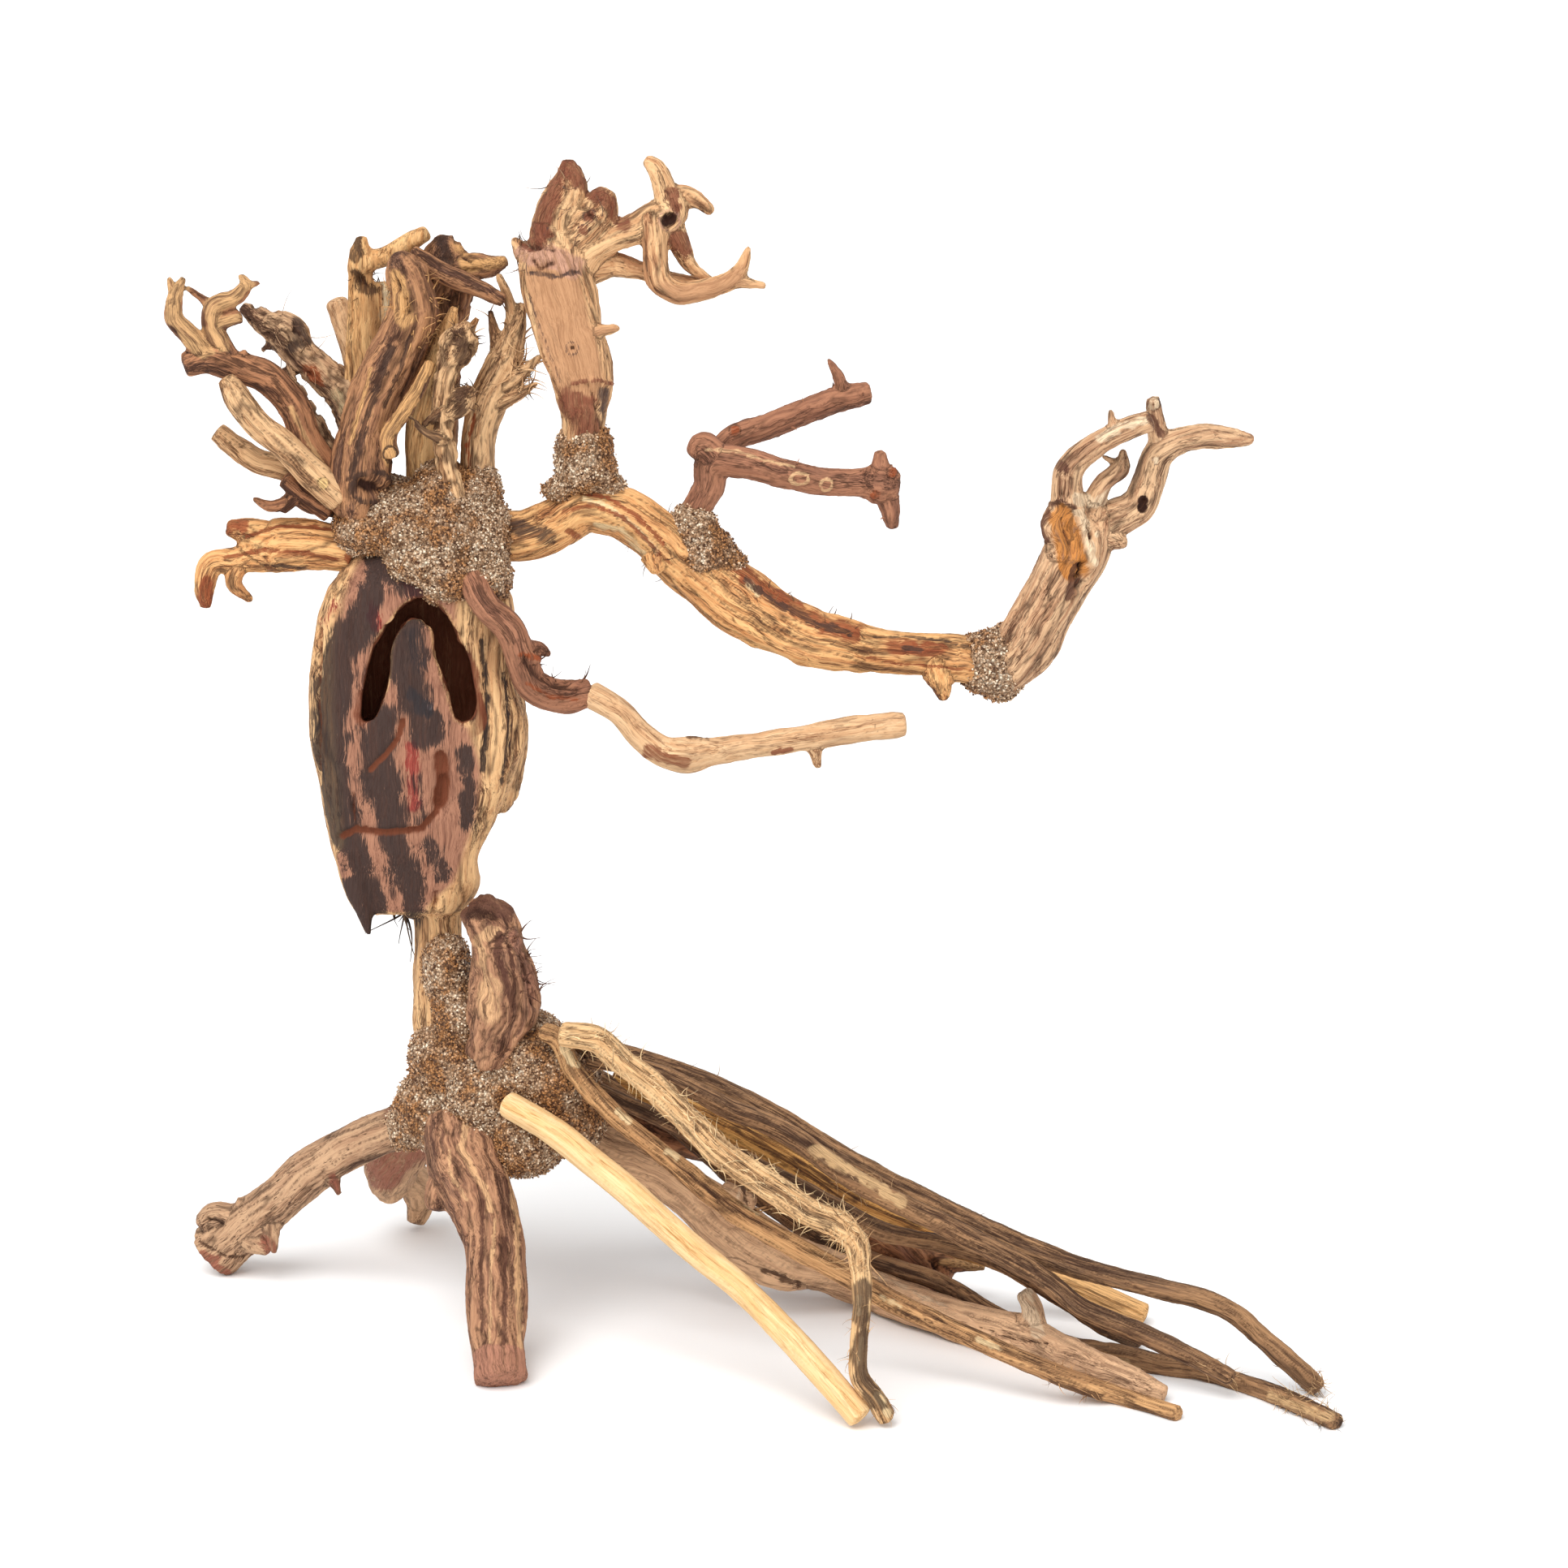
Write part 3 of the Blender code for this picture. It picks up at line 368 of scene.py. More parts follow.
@dataclass
class Limb:
    """A limb's centre line, with its radius and a frame at each place."""

    centre: Array
    radius: Array
    along: Array
    ahead: Array
    side: Array
    over: Array

    SPACING = 0.8
    THINNEST = 0.35
    CAP_WIDTH = (0, 0.6, 0.92)
    CAP_DOME = (0.22, 0.17, 0.05)

    @classmethod
    def of(cls, laid: Array) -> "Limb":
        """Limb along laid spots.

        Its frame: the axis least in line with the limb, squared to it, and their cross
        product.

        Args:
            laid: One row for each spot: x, y, z, radius.

        Returns:
            The limb.
        """
        path = smooth_path(laid, cls.SPACING)
        centre, radius = path[:, :3], np.maximum(path[:, 3], cls.THINNEST)
        ahead = np.gradient(centre, axis=0)
        ahead /= np.linalg.norm(ahead, axis=1)[:, None]
        axis = np.eye(3)[np.argmin(np.abs(ahead).max(axis=0))]
        side = axis - ahead * (ahead @ axis)[:, None]
        side /= np.linalg.norm(side, axis=1)[:, None]
        along = np.concatenate(([0.0], np.cumsum(np.linalg.norm(np.diff(centre, axis=0), axis=1))))
        return cls(centre, radius, along, ahead, side, np.cross(ahead, side))

    def shell(self, noise: Unevenness, uneven: float, flatness: float = 0.0, sides: int = 28) -> Surface:
        """Closed tube: at angle a and length s, the centre plus radius times a lumpy circle.

        Args:
            noise: Pattern of the lumps.
            uneven: Size of the lumps, as a share of the radius.
            flatness: How oval the limb is.
            sides: Corners of its section.

        Returns:
            The tube, with slightly domed ends.
        """
        count, cap = len(self.radius), len(self.CAP_WIDTH)
        factor = np.concatenate((self.CAP_WIDTH, np.ones(count), self.CAP_WIDTH[::-1]))
        row = np.clip(np.arange(-cap, count + cap), 0, count - 1)
        dome = np.concatenate((np.negative(self.CAP_DOME), np.zeros(count), self.CAP_DOME[::-1]))
        angle = np.linspace(0, 2 * math.pi, sides, endpoint=False)
        cosine, sine = np.cos(angle), np.sin(angle)
        radius, along = self.radius[row], self.along[row]
        spots = np.stack(np.broadcast_arrays(
            along[:, None] / (radius[:, None] * 1.8), cosine * 0.9 + 3.1, sine * 0.9 + 5.7,
        ), axis=-1)
        lumps = 1 + uneven * noise.layers(spots.reshape(-1, 3), 2).reshape(spots.shape[:2])
        oval = 1 + flatness * np.cos(2 * (angle + along[:, None] / 60))
        width = (radius * factor)[:, None] * lumps * oval
        ring = self.side[row][:, None] * cosine[:, None] + self.over[row][:, None] * sine[:, None]
        middle = self.centre[row] + self.ahead[row] * (dome * radius)[:, None]
        return Surface.grid(middle[:, None] + ring * width[..., None])


class Grain:
    """Coordinates that follow the wood: length along the nearest limb and two across it."""

    BLOCK = 6000
    APART = 61.0

    def __init__(self, limbs: Sequence[Limb]) -> None:
        """Gather the limbs' centre lines.

        Args:
            limbs: Limbs of one piece.
        """
        self.centre = np.concatenate([limb.centre for limb in limbs])
        self.radius = np.concatenate([limb.radius for limb in limbs])
        self.along = np.concatenate([limb.along + self.APART * place for place, limb in enumerate(limbs)])
        self.frame = np.concatenate([np.stack((limb.ahead, limb.side, limb.over), axis=1) for limb in limbs])

    def nearest(self, points: Array) -> Array:
        """The limb sample with the least squared distance less squared radius.

        Args:
            points: Places in millimetres.

        Returns:
            Number of the sample for each place.
        """
        own = (self.centre**2).sum(axis=1) - self.radius**2
        starts = range(0, len(points), self.BLOCK)
        blocks = (points[start:start + self.BLOCK] for start in starts)
        return np.concatenate([np.argmin(own - 2 * block @ self.centre.T, axis=1) for block in blocks])

    def at(self, points: Array) -> Array:
        """Length along, side and over of each place, in the frame of its nearest sample."""
        nearest = self.nearest(points)
        grain = np.einsum("nij,nj->ni", self.frame[nearest], points - self.centre[nearest])
        grain[:, 0] += self.along[nearest]
        return grain


class Tone(Enum):
    """Masks that a stroke can paint."""

    # painted shade: darkness put into cracks, hollows and knot holes, where shadow falls
    HOLE = "hole"
    DARK = "dark"
    PALE = "pale"
    WARM = "warm"
    NONE = "none"


HOLE, DARK, PALE, WARM = Tone.HOLE, Tone.DARK, Tone.PALE, Tone.WARM


@dataclass(frozen=True)
class Stroke:
    """A crack, hollow, ridge or patch on the side that faces the viewer.

    line holds drawn spots (across, up). A positive depth carves in, a negative one
    raises the wood, both in millimetres.
    """

    line: Spots
    width: float
    depth: float = 0.0
    tone: Tone = Tone.NONE
    strength: float = 1.0
    edge: float = 0.5
    core: float = 0.08
    back: bool = False
    depths: tuple[float, float] = (-400.0, 400.0)

    def share(self, drawn: Array, facing: Array, noise: Unevenness) -> Array:
        """How much of the stroke is at each point.

        It is 1 on the line and eases to 0 at the width, whose edge wanders with noise.

        Args:
            drawn: Across, up and depth of each point.
            facing: How much each point faces the viewer, -1 to 1.
            noise: Pattern of the wandering edge.

        Returns:
            Shares from 0 to 1.
        """
        flat = drawn[:, :2]
        line = np.array(self.line, dtype=float)
        if len(line) == 1:
            distance = np.linalg.norm(flat - line[0], axis=1)
        else:
            start, step = line[:-1], np.diff(line, axis=0)
            t = ((flat[:, None] - start) * step).sum(axis=2) / (step**2).sum(axis=1)
            nearest = start + np.clip(t, 0, 1)[..., None] * step
            distance = np.linalg.norm(flat[:, None] - nearest, axis=2).min(axis=1)
        spots = np.column_stack((flat / max(self.width * 0.8, 1.2), np.full(len(flat), self.width)))
        distance = distance + noise.layers(spots, 2) * self.width * self.edge
        share = 1 - eased(distance, self.width * self.core, self.width)
        near, far = self.depths
        share *= eased(drawn[:, 2], near, near + 2) * (1 - eased(drawn[:, 2], far - 2, far))
        return share if self.back else share * eased(facing, 0.0, 0.25)


Marks = tuple[Stroke, ...]


def oval(across: float, up: float, half: float, tall: float) -> Spots:
    """Drawn spots of a closed oval: cosine and sine of twelve even angles."""
    angles = (turn * math.pi / 6 for turn in range(13))
    return tuple((across + half * math.cos(angle), up + tall * math.sin(angle)) for angle in angles)


def knot(across: float, up: float, size: float, paint: Tone = Tone.PALE) -> Marks:
    """Knot of a broken twig: a raised ring, a thin dark line round it and a sunk middle with painted shade in it.

    Args:
        across: How far across it is.
        up: How far up it is.
        size: Its radius.
        paint: Mask of the raised ring.

    Returns:
        Its strokes.
    """
    return (
        Stroke(((across, up),), size * 1.6, -size * 0.35, paint, 0.7, core=0.4),
        Stroke(oval(across, up, size * 1.15, size * 1.2), size * 0.35, size * 0.2, DARK, 0.55),
        Stroke(((across, up),), size * 0.55, size * 0.5, HOLE, 0.7),
    )


@dataclass(frozen=True)
class Relief:
    """How rough a piece of wood is, in millimetres."""

    swell: float = 0.55
    swell_size: float = 9.0
    ridge: float = 0.55
    ridge_width: float = 2.3
    ridge_length: float = 24.0
    wave: float = 1.6
    wave_length: float = 16.0
    grit: float = 0.12
    rot: float = 0.0

    def raised(self, grain: Array, radius: Array, noise: Unevenness) -> tuple[Array, Array]:
        """Height of the bark: swellings, wavy lengthwise ridges with sharp grooves, and grit.

        A groove lies where a stretched noise crosses 0; the ridge between two grooves
        rises as the square root of that noise.

        Args:
            grain: Grain coordinates of each point.
            radius: Radius of the limb at each point.
            noise: The piece's noise.

        Returns:
            Height of each point in millimetres, and how deep in a groove it is, 0 to 1;
            the finish paints shade into the grooves by it.
        """
        slim = np.clip(radius / 6.0, 0.25, 1.3)
        swell = noise.layers(grain / (self.swell_size * np.array((1.8, 1, 1))), 2)
        bend = np.stack((
            np.zeros(len(grain)),
            noise.value(grain / self.wave_length + 31.7),
            noise.value(grain / self.wave_length + 57.1),
        ), axis=1) * self.wave
        stretched = (grain + bend) / np.array((self.ridge_length, self.ridge_width, self.ridge_width))
        crossing = np.abs(noise.layers(stretched, 2, 0.45))
        ridge = np.sqrt(crossing)
        groove = 1 - eased(crossing, 0.0, 0.16)
        grit = noise.layers(grain / 1.3, 2)
        height = slim * (self.swell * swell + self.ridge * (ridge - 0.5)) + self.grit * grit
        if self.rot:
            pits = eased(noise.layers(grain / 2.6 + 9.1, 2), 0.08, 0.45)
            height -= self.rot * pits
            groove = np.maximum(groove, pits)
        return height, groove


class Value:
    """A number in a material; Python operators on it add Math nodes."""

    def __init__(self, shade: "Shade", socket: Socket) -> None:
        """Wrap a socket."""
        self.shade = shade
        self.socket = socket

    def _math(self, operation: str, first: "Value | float", second: "Value | float") -> "Value":
        """Math node on two numbers."""
        node = self.shade.node("ShaderNodeMath", {"operation": operation}, {0: first, 1: second})
        return Value(self.shade, node.outputs[0])

    def __add__(self, other: "Value | float") -> "Value":
        """Sum."""
        return self._math("ADD", self, other)

    __radd__ = __add__

    def __sub__(self, other: "Value | float") -> "Value":
        """Difference."""
        return self._math("SUBTRACT", self, other)

    def __rsub__(self, other: float) -> "Value":
        """Difference from a plain number."""
        return self._math("SUBTRACT", other, self)

    def __mul__(self, other: "Value | float") -> "Value":
        """Product."""
        return self._math("MULTIPLY", self, other)

    __rmul__ = __mul__

    def __abs__(self) -> "Value":
        """Distance from 0."""
        return self._math("ABSOLUTE", self, 0.0)

    def step(self, low: float, high: float) -> "Value":
        """Smooth step from 0 at low to 1 at high.

        Args:
            low: Where it begins.
            high: Where it ends.

        Returns:
            The eased number.
        """
        settings = {"interpolation_type": "SMOOTHSTEP"}
        node = self.shade.node("ShaderNodeMapRange", settings, {0: self, 1: low, 2: high, 3: 0.0, 4: 1.0})
        return Value(self.shade, node.outputs[0])


class Shade:
    """A material that is being put together."""

    def __init__(self, name: str) -> None:
        """Start a material with its Principled shader.

        Args:
            name: Name of the material.
        """
        self.material = bpy.data.materials.new(name)
        self.material.use_nodes = True
        self.nodes = self.material.node_tree.nodes
        self.links = self.material.node_tree.links
        self.shader = self.nodes["Principled BSDF"]

    def feed(self, socket: Socket, value: object) -> None:
        """Link a socket to a value, or set it to a constant.

        Args:
            socket: Input to fill.
            value: A Value, an output socket, a number or a tuple.
        """
        if isinstance(value, Value):
            value = value.socket
        if isinstance(value, Socket):
            self.links.new(value, socket)
        else:
            socket.default_value = value

    def node(self, kind: str, settings: dict[str, object], inputs: dict[int | str, object]) -> bpy.types.Node:
        """Add a node.

        Args:
            kind: Blender's name of the node type.
            settings: Its properties, set before its sockets.
            inputs: Values or links of its sockets, by number or name.

        Returns:
            The node.
        """
        node = self.nodes.new(kind)
        for name, setting in settings.items():
            setattr(node, name, setting)
        for socket, value in inputs.items():
            self.feed(node.inputs[socket], value)
        return node

    def mark(self, name: str) -> Value:
        """A number that is stored on the mesh."""
        node = self.node("ShaderNodeAttribute", {"attribute_name": name}, {})
        return Value(self, node.outputs["Fac"])

    def vector(self, name: str) -> Socket:
        """A vector that is stored on the mesh."""
        return self.node("ShaderNodeAttribute", {"attribute_name": name}, {}).outputs["Vector"]

    def scaled(self, vector: Socket, scale: Triple) -> Socket:
        """A vector times three constants."""
        return self.node("ShaderNodeVectorMath", {"operation": "MULTIPLY"}, {0: vector, 1: scale}).outputs[0]

    def wavy(self, vector: Socket, size: float, push: float) -> Socket:
        """A vector pushed about by a soft noise.

        Args:
            vector: Coordinates to push.
            size: Size of the waves.
            push: How far they push.

        Returns:
            The pushed coordinates.
        """
        spread = self.scaled(vector, (1 / size,) * 3)
        noise = self.node("ShaderNodeTexNoise", {}, {"Vector": spread, "Scale": 1.0, "Detail": 1.0})
        centred = self.node(
            "ShaderNodeVectorMath", {"operation": "SUBTRACT"}, {0: noise.outputs["Color"], 1: (0.5, 0.5, 0.5)}
        )
        pushed = self.scaled(centred.outputs[0], (0.0, 2 * push, 2 * push))
        return self.node("ShaderNodeVectorMath", {"operation": "ADD"}, {0: vector, 1: pushed}).outputs[0]

    def noise(
        self, vector: Socket, size: Triple, detail: float = 3.0, rough: float = 0.55
    ) -> Value:
        """Noise texture with this size along each coordinate, about 0.2 to 0.8."""
        spread = self.scaled(vector, (1 / size[0], 1 / size[1], 1 / size[2]))
        inputs = {"Vector": spread, "Scale": 1.0, "Detail": detail, "Roughness": rough}
        return Value(self, self.node("ShaderNodeTexNoise", {}, inputs).outputs["Fac"])

    def mix(self, share: Value | float, first: object, second: object, blend: str = "MIX") -> Socket:
        """Colour between two colours.

        Args:
            share: 0 for the first, 1 for the second.
            first: A Colour or an output socket.
            second: A Colour or an output socket.
            blend: How the second goes over the first.

        Returns:
            The mixed colour.
        """
        first, second = (linear(item) if isinstance(item, tuple) else item for item in (first, second))
        settings = {"data_type": "RGBA", "blend_type": blend}
        return self.node("ShaderNodeMix", settings, {0: share, 6: first, 7: second}).outputs[2]

    def bump(self, height: Value, distance: float, strength: float = 1.0) -> None:
        """Bump of the shader's normal by a height."""
        inputs = {"Strength": strength, "Distance": distance * MM, "Height": height}
        node = self.node("ShaderNodeBump", {}, inputs)
        self.feed(self.shader.inputs["Normal"], node.outputs["Normal"])


@dataclass(frozen=True)
class WoodFinish:
    """Weathered wood: streaks, stains and thin dark lines along its grain."""

    name: str
    light: Colour = (222, 170, 108)
    middle: Colour = (184, 126, 76)
    accent: Colour = (142, 122, 92)
    stain: Colour = (104, 62, 38)
    accent_share: float = 0.3
    stain_share: float = 0.3
    dark: Colour = (58, 36, 24)
    line_share: float = 0.7
    dash_share: float = 0.4
    streak_size: Triple = (30.0, 1.3, 1.3)
    fibre_size: Triple = (7.0, 0.32, 0.32)
    line_size: Triple = (34.0, 2.6, 2.6)
    dash_size: Triple = (3.6, 0.7, 0.7)
    patch_size: Triple = (52.0, 5.0, 5.0)
    wave: float = 1.3
    # how strongly the grooves are darkened: painted shade in the grooves
    groove_shade_share: float = 0.8
    # colour of the painted shade in holes, cracks and hollows
    hole: Colour = (52, 29, 19)
    mark_dark: Colour = (74, 48, 34)
    mark_pale: Colour = (236, 206, 158)
    mark_warm: Colour = (150, 74, 40)
    ragged: float = 2.6
    through: float = 0.6
    veins: float = 0.6
    sawn: Colour | None = None
    sawn_dark: Colour = (150, 104, 70)
    rough: float = 0.78
    bump: float = 0.4

    def material(self) -> bpy.types.Material:
        """Build the material.

        Returns:
            A Principled material that reads the marks grain, groove, hole, dark, pale,
            warm and sawn; groove and hole are painted shade.
        """
        shade = Shade(self.name)
        grain = shade.vector("grain")
        bent = shade.wavy(grain, 9.0, self.wave)
        streak = shade.noise(bent, self.streak_size, 5.0, 0.66)
        fibre = shade.noise(bent, self.fibre_size, 4.0, 0.65)
        tone = shade.noise(bent, (60.0, 4.6, 4.6), 4.0, 0.6)
        patch = shade.noise(bent, self.patch_size, 4.0, 0.6)
        dash = shade.noise(bent, self.dash_size, 2.0, 0.5)
        crossing = abs(shade.noise(bent, self.line_size, 3.0, 0.6) - 0.5)
        line = (1 - crossing.step(0.0, 0.028)) * patch.step(0.38, 0.55)
        fine = fibre * 0.5 + streak * 0.5
        sawn = shade.mark("sawn")
        colour = shade.mix((streak * 0.7 + tone * 0.5).step(0.48, 0.74), self.light, self.middle)
        weathered = (tone + (fibre - 0.5) * 0.5).step(0.52, 0.64)
        colour = shade.mix(weathered * self.accent_share, colour, self.accent)
        edge = 0.72 - 0.34 * self.stain_share
        stained = (patch + (fine - 0.5) * 1.2).step(edge - 0.07, edge + 0.1)
        colour = shade.mix(stained * 0.8, colour, shade.mix(fibre.step(0.4, 0.62), self.stain, self.dark))
        colour = shade.mix(fibre.step(0.5, 0.72) * 0.36, colour, self.stain)
        colour = shade.mix((1 - fine).step(0.5, 0.64) * 0.4, colour, self.light)
        if self.sawn:
            smooth = shade.mix(fine.step(0.42, 0.62) * 0.75, self.sawn, self.sawn_dark)
            colour = shade.mix(sawn, colour, smooth)
        plain = 1 - sawn * 0.75
        colour = shade.mix(line * plain * self.line_share, colour, self.dark)
        colour = shade.mix(dash.step(0.64, 0.71) * plain * self.dash_share, colour, self.dark)
        # painted shade in the grooves of the relief
        groove = shade.mark("groove") * (fibre * 0.8 + 0.5)
        colour = shade.mix(groove * self.groove_shade_share, colour, self.dark)
        for name, paint in (("pale", self.mark_pale), ("warm", self.mark_warm), ("dark", self.mark_dark)):
            mark = shade.mark(name)
            share = (mark + (fine - 0.5) * self.ragged).step(0.2, 0.62) * mark.step(0.0, 0.25)
            share = share * (1 - streak.step(0.48, 0.66) * self.through)
            veined = shade.mix(fine.step(0.44, 0.6) * self.veins, paint, self.dark)
            colour = shade.mix(share * 0.9, colour, veined)
        # painted shade: holes, cracks and hollows darkened to the hole colour, streaked with stain
        painted_hole_shade = (shade.mark("hole") + (fine - 0.5) * 0.9).step(0.3, 0.9)
        colour = shade.mix(painted_hole_shade, colour, shade.mix(streak.step(0.5, 0.68) * 0.55, self.hole, self.stain))
        shade.feed(shade.shader.inputs["Base Color"], colour)
        shade.feed(shade.shader.inputs["Roughness"], (fibre - 0.5) * 0.3 + self.rough)
        shade.shader.inputs["Specular IOR Level"].default_value = 0.25
        shade.bump(streak * 0.5 + fibre * 0.5 - line * 0.3 - dash.step(0.6, 0.72) * 0.2, self.bump)
        return shade.material


@dataclass(frozen=True)
class SandFinish:
    """Coarse sand in clear amber glue: each grain has its own tone."""

    name: str = "sand_and_glue"
    grain_size: float = 0.85
    rough: float = 0.7

    def material(self) -> bpy.types.Material:
        """Build the material.

        Returns:
            A Principled material that reads the marks grain and tone.
        """
        shade = Shade(self.name)
        place = shade.vector("grain")
        spread = shade.scaled(place, (1 / self.grain_size,) * 3)
        cells = shade.node("ShaderNodeTexVoronoi", {}, {"Vector": spread, "Scale": 1.0})
        parts = shade.node("ShaderNodeSeparateColor", {}, {0: cells.outputs["Color"]})
        tone = shade.mark("tone")
        loose = tone.step(0.001, 0.002)
        pick = tone + (1 - loose) * Value(shade, parts.outputs[0])
        area = shade.noise(place, (11.0, 11.0, 11.0), 5.0, 0.7)
        colour = shade.mix(pick.step(0.05, 0.22), (78, 48, 28), (150, 116, 86))
        colour = shade.mix(pick.step(0.35, 0.6), colour, (190, 160, 130))
        colour = shade.mix(pick.step(0.8, 0.9), colour, (242, 222, 194))
        amber = shade.mix(pick.step(0.1, 0.8), (74, 42, 18), (176, 116, 58))
        colour = shade.mix(area.step(0.44, 0.58) * 0.85, colour, amber)
        gap = Value(shade, cells.outputs["Distance"]).step(0.3, 0.8) * (1 - loose)
        colour = shade.mix(gap * 0.65, colour, (78, 56, 38))
        shade.feed(shade.shader.inputs["Base Color"], colour)
        shade.feed(shade.shader.inputs["Roughness"], pick * -0.25 + self.rough)
        shade.shader.inputs["Specular IOR Level"].default_value = 0.4
        shade.bump(1 - gap, 0.4)
        return shade.material


@dataclass(frozen=True)
class Strands:
    """Loose fibres, hairs or rootlets that leave the wood."""

    count: int
    length: float
    thickness: float = 0.16
    curl: float = 0.5
    lift: float = 0.5
    spots: Spots = ()
    spread: float = 9.0
    tone: Tone = Tone.NONE
    hang: float = 0.0

    BENDS = 7
    SIDES = 4

    def grow(
        self, drawn: Array, points: Array, normals: Array, ahead: Array, rng: np.random.Generator
    ) -> Surface:
        """Tapered threads: each bends from its root's direction as the square of its length.

        Args:
            drawn: Where each point of the wood is drawn.
            points: Points of the wood.
            normals: Their normals.
            ahead: Direction of the limb at each.
            rng: Source of the random choices.

        Returns:
            All the threads as one surface.
        """
        if self.spots:
            middles = np.array(self.spots)
            near = np.linalg.norm(drawn[:, None, :2] - middles, axis=2).min(axis=1) < self.spread
            choices = np.flatnonzero(near)
        else:
            choices = np.arange(len(points))
        root = rng.choice(choices, self.count)
        way = rng.choice((-1.0, 1.0), self.count)[:, None] * ahead[root] * (1 - self.lift)
        way = way + normals[root] * self.lift + rng.normal(0, 0.25, (self.count, 3))
        way[:, 2] -= self.hang
        way /= np.linalg.norm(way, axis=1)[:, None]
        sideways = rng.normal(0, 1, (self.count, 3))
        sideways -= way * (sideways * way).sum(axis=1)[:, None]
        sideways /= np.linalg.norm(sideways, axis=1)[:, None]
        across = np.cross(way, sideways)
        length = self.length * rng.uniform(0.45, 1.2, self.count)
        t = np.linspace(0, 1, self.BENDS)[:, None, None]
        path = points[root] - 0.2 * normals[root] + t * way * length[:, None]
        path = path + (t**2 * sideways + 0.4 * t**3 * across) * (self.curl * length)[:, None]
        path[..., 2] -= self.hang * (t[..., 0] ** 2) * length * 0.5
        thick = self.thickness * (1 - 0.75 * t) * rng.uniform(0.7, 1.4, self.count)[:, None]
        angle = np.linspace(0, 2 * math.pi, self.SIDES, endpoint=False)
        ring = sideways[:, None] * np.cos(angle)[:, None] + across[:, None] * np.sin(angle)[:, None]
        tube = path[:, :, None] + ring * thick[..., None]
        threads = Surface.together(Surface.grid(tube[:, one]) for one in range(self.count))
        rows = np.repeat(np.tile(np.linspace(0, 1, self.BENDS), self.count), self.SIDES)
        owner = np.repeat(np.arange(self.count), self.BENDS * self.SIDES)
        grain = (rows * length[owner] + owner * 7.7, owner * 3.1, owner * 1.7)
        threads.marks["grain"] = np.stack(grain, axis=1)
        if self.tone is not Tone.NONE:
            threads.marks[self.tone.value] = np.ones(len(threads.points))
        return threads


Finish = WoodFinish | SandFinish


@dataclass
class Workshop:
    """What every piece is made with."""

    drawing: Drawing
    materials: dict[str, bpy.types.Material] = field(default_factory=dict)

    def material(self, finish: Finish) -> bpy.types.Material:
        """Material of a finish, built once."""
        if finish.name not in self.materials:
            self.materials[finish.name] = finish.material()
        return self.materials[finish.name]

    def facing(self, points: Array, normals: Array) -> Array:
        """How much each point faces the viewer: the cosine to its sight line."""
        sight = np.array(self.drawing.eye()) - points
        sight /= np.linalg.norm(sight, axis=1)[:, None]
        return (sight * normals).sum(axis=1)

    def cast(
        self, name: str, shells: Iterable[Surface], voxel: float, cutters: Iterable[Surface] = (),
        smoothing: int = 3
    ) -> Surface:
        """One skin round overlapping shells, with cutters taken out of it, in even small faces.

        Args:
            name: Name of the piece.
            shells: Closed shells.
            voxel: Size of a face in millimetres.
            cutters: Closed shells to take out.
            smoothing: Rounds of smoothing.

        Returns:
            The skin.
        """
        def remesh(item: bpy.types.Object) -> None:
            """Even out an object's faces."""
            even = item.modifiers.new("even", "REMESH")
            even.mode = "VOXEL"
            even.voxel_size = voxel * MM

        body = placed(name, Surface.together(shells).mesh(name))
        tools = [body]
        remesh(body)
        for cutter in cutters:
            tool = placed("cutter", cutter.mesh("cutter"))
            tools.append(tool)
            remesh(tool)
            carve = body.modifiers.new("carve", "BOOLEAN")
            carve.operation = "DIFFERENCE"
            carve.solver = "MANIFOLD"
            carve.object = tool
        if len(tools) > 1:
            remesh(body)
        soften = body.modifiers.new("soften", "SMOOTH")
        soften.factor = 0.5
        soften.iterations = smoothing
        bpy.context.view_layer.update()
        graph = bpy.context.evaluated_depsgraph_get()
        skin = Surface.of_mesh(bpy.data.meshes.new_from_object(body.evaluated_get(graph)))
        for tool in tools:
            bpy.data.objects.remove(tool)
        return skin

    def show(self, name: str, surface: Surface, finish: Finish, smooth: bool) -> None:
        """Put a finished surface in the scene in place of its CAD node.

        Args:
            name: Name of the node that it stands for.
            surface: The finished surface.
            finish: Its finish.
            smooth: Whether it is shaded smooth.
        """
        piece = placed(f"{name}_wood" if smooth else f"{name}_sand", surface.mesh(name, smooth))
        piece.data.materials.append(self.material(finish))
        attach(piece, BODY)
        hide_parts(name)
        LOG.info("%s: %d points, %d faces", piece.name, len(surface.points), len(surface.sizes))


def ball(middle: Array, half: Sequence[float]) -> Surface:
    """Egg round a place: latitude and longitude on a sphere, scaled by the half sizes.

    Args:
        middle: Its middle.
        half: Half its width, depth and height.

    Returns:
        The closed egg.
    """
    latitude = np.linspace(-math.pi / 2, math.pi / 2, 17)[:, None]
    longitude = np.linspace(0, 2 * math.pi, 24, endpoint=False)
    rim = np.cos(latitude)
    axes = np.broadcast_arrays(rim * np.cos(longitude), rim * np.sin(longitude), np.sin(latitude))
    globe = np.stack(axes, axis=-1)
    return Surface.grid(np.asarray(middle) + globe * np.asarray(half))


def pit(middle: Array, radius: float, noise: Unevenness) -> Surface:
    """Ragged upright egg that a knot hole is cut with: its radius wavers with noise.

    Args:
        middle: Its middle.
        radius: Its radius.
        noise: Pattern of the wavering.

    Returns:
        The closed egg.
    """
    egg = ball(middle, (radius * 0.8, radius * 1.1, radius * 1.2))
    away = egg.points - middle
    egg.points = middle + away * (1 + 0.35 * noise.layers(away / (0.8 * radius) + 3.3, 2))[:, None]
    return egg


